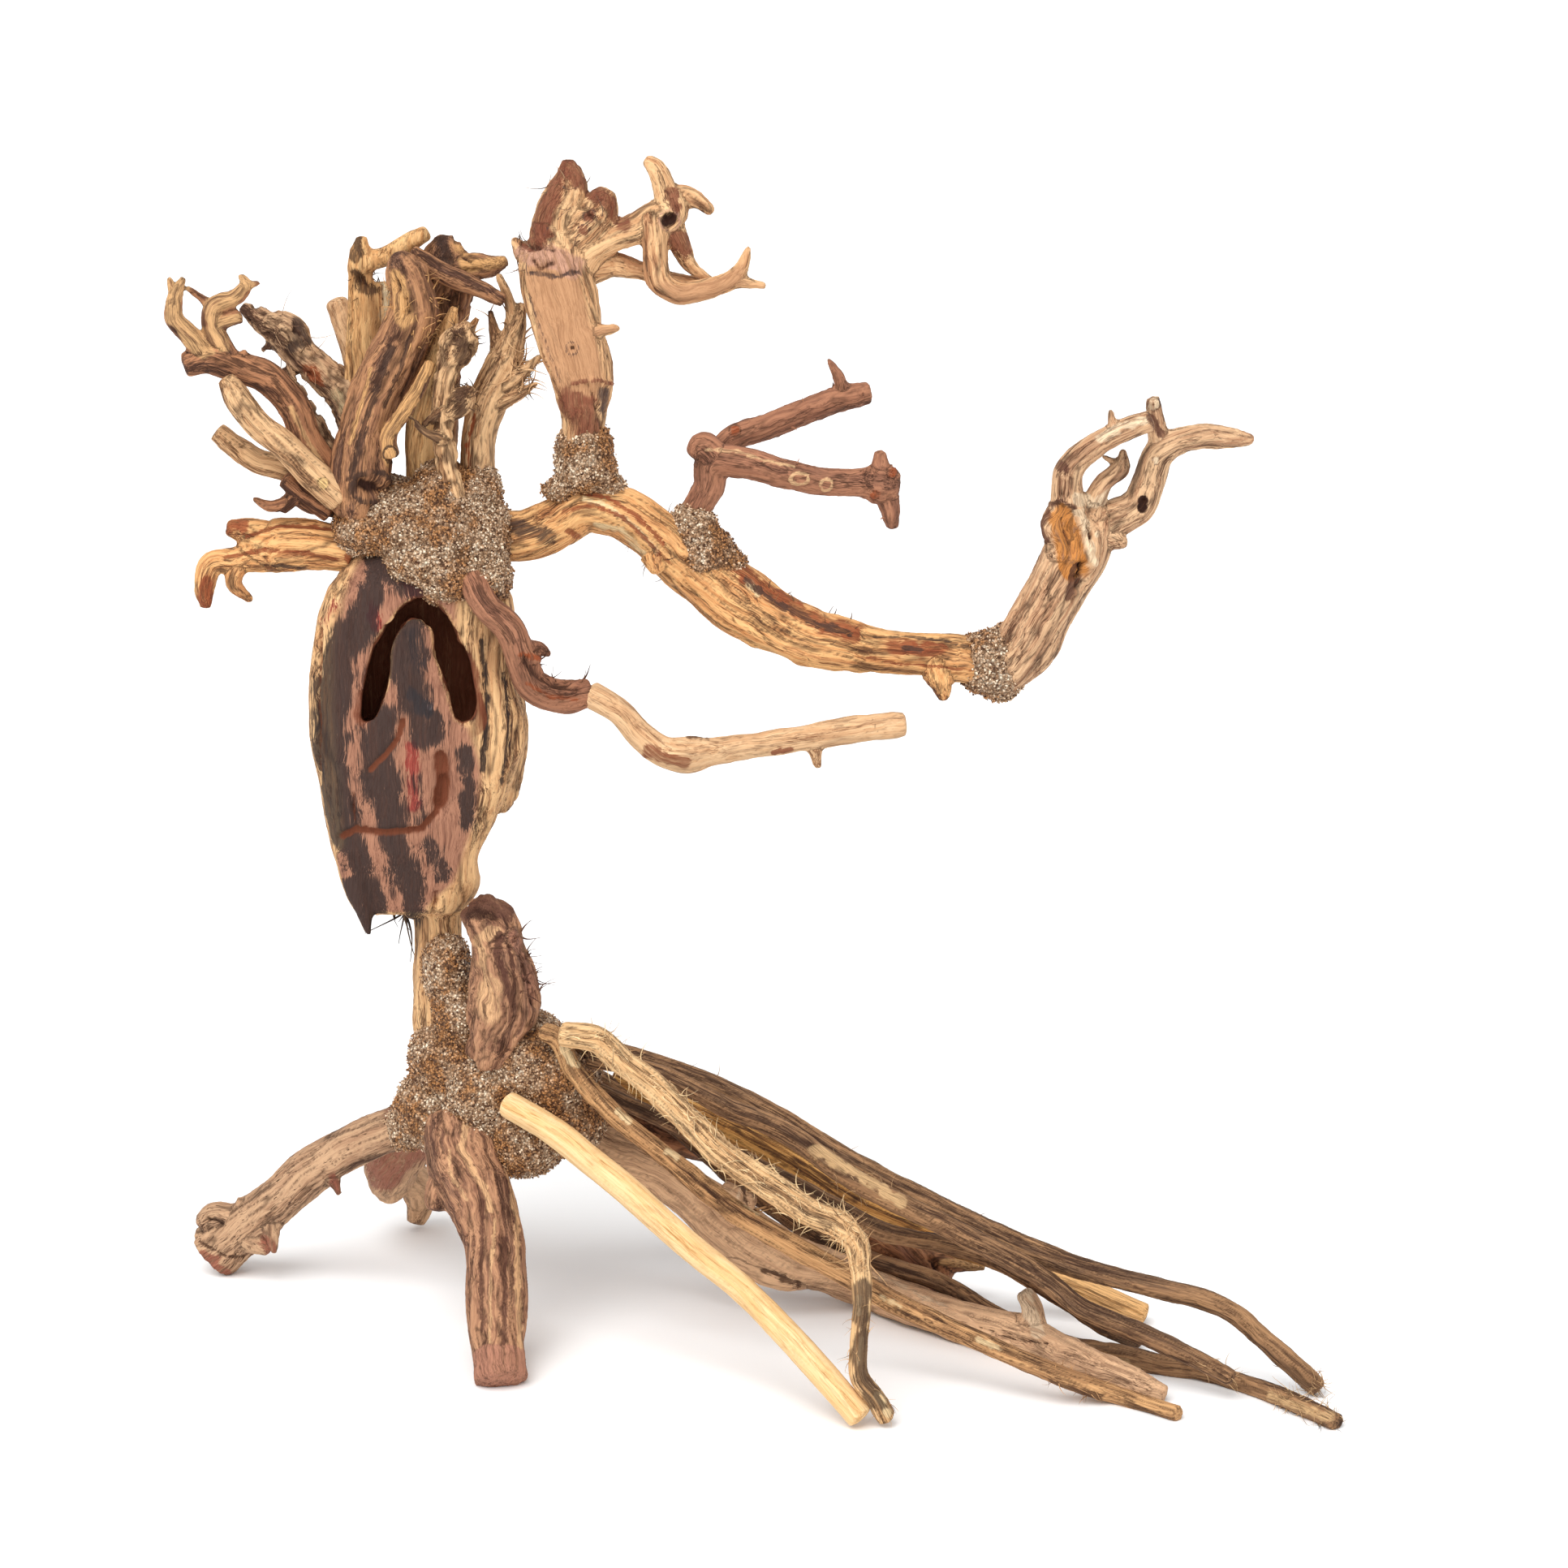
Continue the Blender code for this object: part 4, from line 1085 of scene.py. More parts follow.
@dataclass
class Wood:
    """One piece of wood: its limbs, holes, finish and details."""

    name: str
    slot: str
    finish: WoodFinish
    routes: Routes
    relief: Relief = Relief()
    holes: tuple[Spot, ...] = ()
    strokes: Marks = ()
    strands: tuple[Strands, ...] = ()
    voxel: float = 0.8
    uneven: float = 0.13
    flatness: float = 0.08

    PLANED = 0.9
    HOLE_SHADE = (0.9, 1.5)

    def seed(self) -> int:
        """A number of the piece's own, from the letters of its name."""
        return sum(place * ord(letter) for place, letter in enumerate(self.name, 1))

    def shells(self, drawing: Drawing, limbs: Sequence[Limb], noise: Unevenness) -> list[Surface]:
        """Closed shells whose union is the piece."""
        return [limb.shell(noise, self.uneven, self.flatness) for limb in limbs]

    def cutters(self, drawing: Drawing, noise: Unevenness) -> list[Surface]:
        """Closed shells that are taken out: a ragged egg for each knot hole."""
        return [pit(drawing.place(np.array([hole[:3]]))[0], hole[3], noise) for hole in self.holes]

    def sawn(self, drawn: Array, facing: Array) -> Array:
        """Share of a sawn face at each point; plain wood has none."""
        return np.zeros(len(drawn))

    def grained(self, grain: Grain, points: Array, drawn: Array) -> Array:
        """Grain coordinates of each point."""
        return grain.at(points)

    def build(self, shop: Workshop) -> None:
        """Make the piece and put it in the scene.

        The limbs are cast into one skin; each point is then moved along its normal by
        the relief of its grain and by the strokes.

        Args:
            shop: What the piece is made with.
        """
        noise = Unevenness(self.seed())
        limbs = [Limb.of(shop.drawing.laid(route)) for route in self.routes]
        cutters = self.cutters(shop.drawing, noise)
        skin = shop.cast(self.name, self.shells(shop.drawing, limbs, noise), self.voxel, cutters)
        drawn = shop.drawing.drawn(skin.points)
        normals = skin.normals()
        facing = shop.facing(skin.points, normals)
        wood = Grain(limbs)
        nearest = wood.nearest(skin.points)
        grain = self.grained(wood, skin.points, drawn)
        height, groove = self.relief.raised(grain, wood.radius[nearest], noise)
        sawn = self.sawn(drawn, facing)
        height *= 1 - self.PLANED * sawn
        groove *= 1 - self.PLANED * sawn
        marks = {tone.value: np.zeros(len(drawn)) for tone in Tone if tone is not Tone.NONE}
        # painted shade round each knot hole, fading out between the two HOLE_SHADE radii
        for hole in self.holes:
            away = np.linalg.norm(skin.points - shop.drawing.place(np.array([hole[:3]])), axis=1)
            low, high = (hole[3] * share for share in self.HOLE_SHADE)
            marks["hole"] = np.maximum(marks["hole"], 1 - eased(away, low, high))
        for stroke in self.strokes:
            share = stroke.share(drawn, facing, noise)
            height -= stroke.depth * share
            if stroke.tone is not Tone.NONE:
                mark = marks[stroke.tone.value]
                marks[stroke.tone.value] = np.maximum(mark, share * stroke.strength)
        skin.points = skin.points + normals * height[:, None]
        skin.points[:, 2] = np.maximum(skin.points[:, 2], 0.0)
        skin.marks = {"grain": grain, "groove": groove, "sawn": sawn, **marks}
        rng = np.random.default_rng(self.seed())
        ahead = wood.frame[nearest][:, 0]
        threads = [strands.grow(drawn, skin.points, normals, ahead, rng) for strands in self.strands]
        whole = Surface.together([skin, *threads])
        whole.points[:, 2] = np.maximum(whole.points[:, 2], 0.0)
        shop.show(self.name, whole, self.finish, True)


@dataclass
class Log(Wood):
    """The hollow trunk: sawn flat in front, with an arched hollow round a tongue of wood."""

    sections: tuple[tuple[float, ...], ...] = (
        (70, -133, -93, -17, 17), (61, -140, -85, -21, 20), (53, -143, -83.5, -22, 22),
        (32, -146, -82.5, -22, 23), (16, -146, -79, -22, 23), (0, -143, -84, -22, 22),
        (-11, -141, -89.5, -21, 20), (-22, -138.5, -94.5, -20, 17), (-32, -135, -94, -18, 14),
        (-40, -131, -99, -16, 11),
    )
    outline: Spots = (
        (-130.5, 19), (-129, 32), (-125, 45), (-119.5, 53), (-112, 58), (-104, 53), (-100, 45), (-96.5, 32),
        (-96, 22), (-99, 18), (-102, 22), (-104, 29), (-108, 40), (-109.5, 48), (-114.5, 50.5),
        (-119.5, 44.5), (-121.5, 33), (-124, 26), (-127, 20),
    )
    face_edge: Spots = ((-38, -110), (-30, -101.5), (-13, -95), (5, -93), (17, -97), (20, -101))
    front: float = -34.0
    back: float = 6.0
    flat: float = 0.35
    corners: int = 96

    CAP = (0.0, 0.5, 0.8, 0.94)

    def shells(self, drawing: Drawing, limbs: Sequence[Limb], noise: Unevenness) -> list[Surface]:
        """Loft of the sections, each half ellipse behind and nearly flat in front, and the limbs."""
        rows = np.array(self.sections)
        path = smooth_path(np.column_stack((rows[:, 0], np.zeros((len(rows), 2)), rows[:, 1:])), 0.9)
        up, (left, right, front, back) = path[:, 0], path[:, 3:].T
        angle = np.linspace(0, 2 * math.pi, self.corners, endpoint=False)
        cosine, sine = np.cos(angle), np.sin(angle)
        scale = np.concatenate((self.CAP, np.ones(len(up)), self.CAP[::-1]))
        row = np.clip(np.arange(-len(self.CAP), len(up) + len(self.CAP)), 0, len(up) - 1)
        middle, half = ((left + right) / 2)[row], ((right - left) / 2)[row] * scale
        across = middle[:, None] + half[:, None] * cosine
        before = np.where(sine < 0, np.abs(sine) ** self.flat, 0) * front[row][:, None]
        behind = np.where(sine < 0, 0, sine) * back[row][:, None]
        depth = (before + behind) * scale[:, None]
        spots = np.stack(np.broadcast_arrays(across, up[row][:, None], depth), axis=-1)
        loft = Surface.grid(drawing.place(spots.reshape(-1, 3)).reshape(spots.shape))
        return [loft, *super().shells(drawing, limbs, noise)]

    def cutters(self, drawing: Drawing, noise: Unevenness) -> list[Surface]:
        """The hollow: its outline as a smooth closed curve, carried from front to back."""
        ring = np.array(self.outline + self.outline[:1])
        curve = smooth_path(np.column_stack((ring, np.zeros(len(ring)))), 0.8)[:-1]
        return [prism(drawing, curve[:, :2], self.front, self.back), *super().cutters(drawing, noise)]

    def sawn(self, drawn: Array, facing: Array) -> Array:
        """The flat front: what faces the viewer on the front plane, left of the fold."""
        rows = np.array(self.sections)[::-1]
        plane = np.interp(drawn[:, 1], rows[:, 0], rows[:, 3])
        share = 1 - eased(drawn[:, 2] - plane, 2.5, 4.5)
        flat = np.where(drawn[:, 0] < -128, eased(facing, 0.1, 0.4), eased(facing, 0.55, 0.8))
        right = np.interp(drawn[:, 1], *np.array(self.face_edge).T)
        return share * flat * (1 - eased(drawn[:, 0], right - 1.5, right + 1.5))

    def grained(self, grain: Grain, points: Array, drawn: Array) -> Array:
        """Grain that runs up the log."""
        return drawn[:, [1, 0, 2]]


def prism(drawing: Drawing, outline: Array, front: float, back: float) -> Surface:
    """Closed prism: a drawn outline carried from one depth to another, with a polygon at each end.

    Args:
        drawing: Where it is drawn.
        outline: Across and up of each corner.
        front: Depth of the near end.
        back: Depth of the far end.

    Returns:
        The prism.
    """
    count = len(outline)
    near = drawing.place(np.column_stack((outline, np.full(count, front))))
    far = drawing.place(np.column_stack((outline, np.full(count, back))))
    wall = Surface.grid(np.stack((near, far)))
    corners = np.concatenate((wall.corners, np.arange(count)[::-1], np.arange(count) + count))
    return Surface(wall.points, corners, np.concatenate((wall.sizes, [count, count])))


@dataclass
class SawnLimb(Wood):
    """A branch whose front was sawn flat."""

    face: float = -15.5
    low: float = 117.0
    high: float = 167.0
    left: float = -89.0
    right: float = -45.0
    slice_depth: float = 30.0

    def cutters(self, drawing: Drawing, noise: Unevenness) -> list[Surface]:
        """The slice that was sawn off, and the knot holes."""
        block = np.array((
            (self.left, self.low), (self.right, self.low - 2), (self.right, self.high), (self.left, self.high),
        ))
        sliced = prism(drawing, block, self.face - self.slice_depth, self.face)
        return [sliced, *super().cutters(drawing, noise)]

    def sawn(self, drawn: Array, facing: Array) -> Array:
        """What faces the viewer on the sawn plane."""
        level = 1 - eased(np.abs(drawn[:, 2] - self.face), 0.8, 2.0)
        above = eased(drawn[:, 1], self.low - 1, self.low + 1)
        below = 1 - eased(drawn[:, 1], self.high - 3, self.high)
        return level * (above * below) * eased(facing, 0.5, 0.8)


@dataclass
class Plank(Wood):
    """A flat golden board with a slab along it, and its limbs."""

    board: tuple[float, float, float, float, float, float] = (-131.0, 141.0, 7.0, 3.8, 25.0, 2.1)
    slab: tuple[float, float, float, float, float, float] = (-124.5, 143.0, 8.0, 2.75, 12.0, 2.5)
    squareness: float = 0.3
    lean: float = 0.9

    def shells(self, drawing: Drawing, limbs: Sequence[Limb], noise: Unevenness) -> list[Surface]:
        """The board, its slab and its limbs."""
        flats = []
        line = np.linspace(-1, 1, 40)[:, None]
        around = np.linspace(0, 2 * math.pi, 32, endpoint=False)
        taper = np.where(np.abs(line) > 0.999, 0.0, 1.0)
        for across, up, depth, width, height, thick in (self.board, self.slab):
            x = np.sign(np.cos(around)) * np.abs(np.cos(around)) ** self.squareness * width * taper
            y = np.sign(np.sin(around)) * np.abs(np.sin(around)) ** self.squareness * thick * taper
            axes = np.broadcast_arrays(across + x + line * self.lean, up + line * height, depth + y)
            spots = np.stack(axes, axis=-1)
            flats.append(Surface.grid(drawing.place(spots.reshape(-1, 3)).reshape(spots.shape)))
        return [*flats, *super().shells(drawing, limbs, noise)]

    def grained(self, grain: Grain, points: Array, drawn: Array) -> Array:
        """Grain that runs up the board."""
        return drawn[:, [1, 0, 2]]


@dataclass
class SandJoint:
    """A lump of sand and glue: eggs run together, rough with grains."""

    name: str
    lumps: tuple[tuple[float, float, float, float, float, float], ...]
    finish: SandFinish = SandFinish()
    voxel: float = 0.8
    grains: float = 0.85
    grain_low: float = 0.24
    grain_high: float = 0.52
    smoothing: int = 40
    swell: float = 0.7
    swell_size: float = 6.0
    crumb: float = 0.35
    crumb_size: float = 1.5

    OCTAHEDRON = ((1, 0, 0), (0, 1, 0), (-1, 0, 0), (0, -1, 0), (0, 0, 1), (0, 0, -1))
    SIDES = ((0, 1, 4), (1, 2, 4), (2, 3, 4), (3, 0, 4), (1, 0, 5), (2, 1, 5), (3, 2, 5), (0, 3, 5))

    def build(self, shop: Workshop) -> None:
        """Cast the lump, roughen it and strew it with grains.

        The grains are stretched octahedra, each turned at random and half sunk at a
        random point of the lump.

        Args:
            shop: What it is made with.
        """
        noise = Unevenness(len(self.name) * 31 + len(self.lumps))
        rng = np.random.default_rng(len(self.lumps) * 101 + len(self.name))
        middles = shop.drawing.place(np.array(self.lumps)[:, :3])
        eggs = [ball(middle, (lump[3], lump[5], lump[4])) for middle, lump in zip(middles, self.lumps)]
        skin = shop.cast(self.name, eggs, self.voxel, smoothing=self.smoothing)
        normals = skin.normals()
        height = self.swell * noise.layers(skin.points / self.swell_size, 2)
        height = height + self.crumb * noise.layers(skin.points / self.crumb_size, 2)
        skin.points = skin.points + normals * height[:, None]
        skin.marks = {"grain": skin.points.copy(), "tone": np.zeros(len(skin.points))}
        count = int(len(skin.points) * self.grains)
        root = rng.choice(len(skin.points), count)
        turn = np.linalg.qr(rng.normal(size=(count, 3, 3)))[0]
        size = rng.uniform(self.grain_low, self.grain_high, (count, 1, 1))
        size = size * rng.uniform(0.6, 1.2, (count, 1, 3))
        corners = np.array(self.OCTAHEDRON, dtype=float)[None] * size
        middle = skin.points[root] + normals[root] * rng.uniform(-0.1, 0.35, (count, 1))
        middle += rng.normal(0, 0.25, (count, 3))
        points = np.einsum("nki,nij->nkj", corners, turn) + middle[:, None]
        flip = np.linalg.det(turn) < 0
        sides = np.where(flip[:, None, None], np.array(self.SIDES)[None, :, ::-1], np.array(self.SIDES)[None])
        faces = sides + (np.arange(count) * 6)[:, None, None]
        tone = np.repeat(rng.uniform(0.02, 1.0, count), 6)
        strewn = Surface(points.reshape(-1, 3), faces.reshape(-1), np.full(count * 8, 3))
        strewn.marks = {"grain": np.repeat(middle, 6, axis=0), "tone": tone}
        whole = Surface.together((skin, strewn))
        whole.points[:, 2] = np.maximum(whole.points[:, 2], 0.0)
        shop.show(self.name, whole, self.finish, False)


WEATHERED = WoodFinish(
    "weathered_wood", (230, 178, 120), (200, 136, 84), (146, 116, 88), (122, 66, 38), stain_share=0.3,
    mark_warm=(142, 72, 44), mark_dark=(72, 54, 46),
)
END_BRANCH = WoodFinish(
    "end_branch_wood", (218, 178, 138), (170, 124, 92), (130, 104, 84), (116, 74, 52), stain_share=0.3,
    mark_warm=(198, 128, 62), mark_dark=(92, 58, 46), mark_pale=(236, 208, 172), ragged=1.8,
)
# its hole colour is the painted shade of the hollow, the slots and the cracks
LOG_WOOD = WoodFinish(
    "trunk_wood", (224, 180, 130), (192, 142, 98), (146, 112, 82), (96, 58, 38), stain_share=0.36,
    sawn=(164, 116, 92), sawn_dark=(100, 62, 50), mark_dark=(40, 35, 36), mark_pale=(84, 82, 88),
    mark_warm=(142, 54, 48), ragged=3.4, hole=(112, 62, 42), through=0.1, veins=0.3,
)
MAST_WOOD = WoodFinish(
    "mast_wood", (230, 186, 138), (190, 138, 96), (146, 98, 72), (112, 66, 44), accent_share=0.4,
    stain_share=0.3, sawn=(190, 142, 104), sawn_dark=(152, 108, 76), mark_warm=(122, 68, 50),
    mark_pale=(196, 148, 124), mark_dark=(84, 66, 62),
)
TWIG_BARK = WoodFinish(
    "twig_bark", (170, 118, 90), (132, 88, 68), (112, 82, 68), (96, 62, 48), stain_share=0.25,
    mark_pale=(214, 172, 128), groove_shade_share=0.5,
)
DARK_BARK = WoodFinish(
    "dark_bark", (180, 130, 92), (126, 86, 64), (92, 72, 64), (72, 46, 36), accent_share=0.6, stain_share=0.4,
    mark_pale=(216, 164, 108), mark_warm=(150, 92, 60), mark_dark=(58, 42, 36),
)
GREY_BARK = WoodFinish(
    "grey_bark", (212, 172, 132), (164, 122, 92), (108, 78, 62), (78, 52, 40), accent_share=0.55,
    stain_share=0.45, mark_dark=(74, 58, 50),
)
RED_BARK = WoodFinish(
    "red_bark", (178, 124, 88), (116, 78, 58), (84, 62, 52), (72, 46, 38), accent_share=0.5, stain_share=0.35,
    mark_pale=(212, 166, 116), mark_warm=(172, 120, 94),
)
PALE_WOOD = WoodFinish(
    "pale_wood", (222, 184, 142), (204, 158, 116), (178, 134, 98), (150, 100, 68), stain_share=0.12,
    dark=(96, 62, 42), line_share=0.45, dash_share=0.3, groove_shade_share=0.4, mark_warm=(128, 70, 46),
)
TAN_WOOD = WoodFinish(
    "tan_wood", (222, 180, 134), (180, 134, 94), (140, 110, 82), (112, 74, 50), stain_share=0.25,
    mark_pale=(236, 196, 132), mark_dark=(70, 46, 34),
)
GOLD_WOOD = WoodFinish(
    "golden_wood", (230, 184, 128), (206, 150, 96), (180, 132, 90), (146, 92, 52), stain_share=0.2,
    line_share=0.5, groove_shade_share=0.5, mark_pale=(222, 200, 162), mark_dark=(66, 44, 32),
)
GREY_WOOD = WoodFinish(
    "grey_brown_wood", (194, 156, 122), (160, 122, 94), (132, 108, 90), (108, 78, 58), stain_share=0.22,
    dash_share=0.85, mark_warm=(146, 86, 68),
)
ROOT_WOOD = WoodFinish(
    "root_wood", (214, 172, 134), (178, 138, 106), (140, 112, 90), (112, 80, 60), stain_share=0.12,
    dash_share=0.15, line_share=0.4, groove_shade_share=0.45, mark_pale=(214, 186, 154), mark_warm=(150, 94, 76),
)
STRIPED_WOOD = WoodFinish(
    "striped_wood", (186, 138, 104), (128, 88, 68), (104, 76, 64), (88, 58, 46), accent_share=0.6,
    stain_share=0.35, streak_size=(34, 1.4, 1.4), wave=2.4, mark_warm=(170, 118, 96),
    mark_pale=(214, 168, 124), ragged=2.4, mark_dark=(86, 54, 44),
)
STICK_WOOD = WoodFinish(
    "peeled_wood", (236, 202, 152), (226, 182, 124), (214, 168, 112), (202, 146, 84), stain_share=0.1,
    dark=(160, 108, 60), line_share=0.35, dash_share=0.15, groove_shade_share=0.25, bump=0.25, wave=0.4,
)
GOLD_STICK = WoodFinish(
    "gold_brown_stick", (214, 160, 92), (168, 114, 60), (132, 92, 54), (96, 64, 38), stain_share=0.35,
    streak_size=(36, 0.8, 0.8), wave=0.4, mark_pale=(234, 182, 122),
)
VINE_BARK = WoodFinish(
    "vine_bark", (164, 124, 88), (112, 82, 60), (88, 70, 56), (68, 50, 38), accent_share=0.5,
    stain_share=0.35, streak_size=(34, 0.8, 0.8), line_size=(38, 1.2, 1.2), wave=0.5,
    mark_pale=(206, 168, 122), ragged=3.6,
)
FIBROUS = WoodFinish(
    "fibrous_wood", (232, 192, 142), (200, 154, 106), (170, 132, 94), (128, 90, 58), stain_share=0.22,
    streak_size=(30, 0.8, 0.8), line_size=(34, 1.2, 1.2), wave=0.6, mark_dark=(84, 64, 48), ragged=2.2,
)
LINED_VINE = WoodFinish(
    "lined_vine", (208, 160, 110), (160, 116, 78), (120, 90, 66), (92, 64, 44), stain_share=0.2,
    streak_size=(40, 0.8, 0.8), line_size=(44, 1.3, 1.3), wave=0.4, line_share=0.85, ragged=3.4,
)

SMOOTH = Relief(swell=0.35, ridge=0.22, ridge_width=2, grit=0.05)
RUGGED = Relief(swell=0.8, ridge=0.9, ridge_width=2.6, ridge_length=16, wave=2.2, grit=0.2)
BARKY = Relief(swell=0.6, ridge=0.35, ridge_width=1.8, ridge_length=10, grit=0.22)
ROTTEN = Relief(swell=0.7, ridge=0.7, ridge_width=2.2, ridge_length=14, wave=2, grit=0.25, rot=0.9)
STRINGY = Relief(swell=0.4, ridge=0.6, ridge_width=1.3, ridge_length=34, wave=0.9, grit=0.06)


@dataclass
class Trunk:
    """The hollow trunk and the knotty piece under it."""

    stem: Route = (
        (-107, -26, 0, 9.5), (-106, -42, 0, 8.6), (-106.5, -58, 0, 8), (-106.5, -74, 0, 8),
        (-104, -88, 0, 8.5),
    )
    splinter: Route = (
        (-134, -20, -14, 5), (-131.5, -33, -14, 3.8), (-129, -41, -14, 2.4), (-127.8, -46.5, -14, 1),
    )
    tip: Route = ((-118, -30, -10, 6.5), (-115.5, -37, -11, 4), (-113.5, -41.5, -12, 1.6))
    fold: Route = ((-96, 60, 4, 8), (-90, 30, 6, 9.5), (-88, 14, 6, 9.5), (-93, -6, 4, 8))
    knot: Routes = (
        ((-94.5, -38, -20, 6), (-91, -43, -20, 8.5), (-88, -52, -20, 10), (-86, -63.5, -20, 10.8),
         (-88.5, -74, -19, 9.5), (-91.5, -84, -17, 8)), ((-89, -48, -24, 5), (-82, -46, -24, 3)),
    )
    knot_marks: Marks = (
        Stroke(((-89, -45), (-94.5, -48), (-93, -56), (-90, -62)), 3, 0, PALE),
        Stroke(((-91, -63), (-91, -71)), 5.5, 0, PALE),
        Stroke(((-87.7, -46.5), (-88.5, -53), (-85.5, -60), (-84, -67)), 2.2, 0.4, DARK),
        Stroke(((-98, -40), (-92, -36), (-85, -40)), 3.6, -0.8, DARK),
        Stroke(((-97, -41), (-93, -39.5), (-88.5, -41)), 2.8, 1.8, HOLE, 0.8),
        Stroke(((-82, -47), (-78, -56), (-77, -66)), 4.2, 0.6, WARM, 0.7),
        Stroke(((-80, -50), (-77.5, -60), (-76.5, -68)), 1.8, 1.6, HOLE, 0.7),
        Stroke(((-84.5, -50), (-82.5, -60), (-83.5, -70)), 1, 0.9, DARK, 0.9),
    )

    def build(self, shop: Workshop) -> None:
        """Build the trunk and its knot piece."""
        Log("trunk", "tan_wood", LOG_WOOD, (self.stem, self.splinter, self.tip, self.fold), voxel=0.9,
            strokes=self.strokes(), relief=Relief(swell=0.8, ridge=0.9, ridge_width=3.2, ridge_length=40),
            strands=(Strands(9, 9, 0.4, 1, 0.3, ((-119, -41),), 3, DARK, 0.7),)).build(shop)
        gnarled = Relief(swell=1.4, swell_size=6, ridge=1.1, ridge_length=14, wave=3, grit=0.2)
        Wood("knot_piece", "striped_wood", STRIPED_WOOD, self.knot, gnarled, (), self.knot_marks, uneven=0.2,
             strands=(Strands(60, 4, 0.35, 1, 0.1, ((-79, -50), (-77, -62)), 5, DARK),)).build(shop)

    def strokes(self) -> Marks:
        """Dark bands, red and grey spots, cracks and the long slot of the sawn face, with painted shade in the
        cracks, slot and hollow.
        """
        return (
            Stroke(((-127, 72), (-126, 63), (-130, 50)), 6, 0, DARK),
            Stroke(((-131, 48), (-137, 39), (-140, 24), (-140, 8), (-139, -7), (-136, -15)), 9.5, 0, DARK),
            Stroke(((-122, 65), (-117, 62), (-113, 60)), 7, 0, DARK, 0.8),
            Stroke(((-129, 34), (-130, 10), (-128, -6)), 4.5, 0, DARK, 0.45),
            Stroke(((-115, 47), (-116, 35), (-113, 24), (-109, 14)), 8.5, 0, DARK),
            Stroke(((-124, 21), (-125, 8), (-123, -4), (-121, -13)), 8.5, 0, DARK),
            Stroke(((-113, 2), (-111, -12)), 5, 0, DARK, 0.5),
            Stroke(((-98, 10), (-97, 0), (-98, -13)), 4.2, 0, DARK, 0.9),
            Stroke(((-135, -17), (-131, -27), (-128, -38)), 7, 0, DARK),
            Stroke(((-121, -17), (-117, -27), (-114, -39)), 7, 0, DARK),
            Stroke(((-109, -19), (-105, -28)), 4.6, 0, DARK, 0.7),
            Stroke(((-132, -32), (-129, -40), (-128, -47)), 6, 0, DARK, 1, 0.3, 0.5),
            Stroke(((-114, 46), (-113, 36)), 4.4, 0, PALE, 0.5),
            Stroke(((-114, 27), (-111, 23)), 4, 0, PALE, 0.9),
            Stroke(((-116, 61), (-113, 57)), 3.4, 0, WARM, 0.8),
            Stroke(((-127, 54), (-126, 49)), 4, 0, WARM, 0.7),
            Stroke(((-115, 12), (-114, 2), (-114, -7)), 3.6, 0, WARM, 0.75),
            Stroke(((-108, 21), (-107, 15)), 3.6, 0.5, DARK, 1),
            # painted shade over the walls and floor of the hollow
            Stroke(((-126, 22), (-124, 33), (-120, 45), (-113, 54), (-107, 52), (-102, 42), (-100, 30),
             (-98, 20)), 7, 0, HOLE, 0.85, 0.15, 0.85, True, (-22, 8)),
            Stroke(((-117.5, 19.5), (-119, 14), (-121, 11), (-127.5, 4)), 1.4, 1.2, HOLE, 1, 0.3, 0.3),
            Stroke(((-106, 8), (-105, 0), (-106, -6)), 3, 2.2, HOLE, 1, 0.15, 0.5),
            Stroke(((-105, 1), (-107, -8.5), (-111.5, -14), (-123, -15.3), (-132, -14), (-136.5, -16.5)),
             1.7, 1.7, HOLE, 1, 0.3, 0.3), Stroke(((-133, -3), (-132.5, -12)), 0.8, 1.6, HOLE, 0.7),
            Stroke(((-143, 48), (-143.8, 25), (-143, 0)), 0.9, 2, HOLE, 0.8, 0.3),
            Stroke(((-107, -34), (-108, -40)), 1.2, 2.2, HOLE, 0.7),
            Stroke(((-99, 42), (-96, 30), (-96, 20)), 3, 1.2, DARK, 0.7, back=True),
            Stroke(((-93, 44), (-91, 24), (-93, 4)), 1.6, 1, DARK, 0.8),
            Stroke(((-86, 34), (-84.5, 16), (-87, 0)), 1.2, 0.6, DARK, 0.7),
            Stroke(((-138, 56), (-141, 50)), 2.6, -0.6, WARM, 0.5),
        )


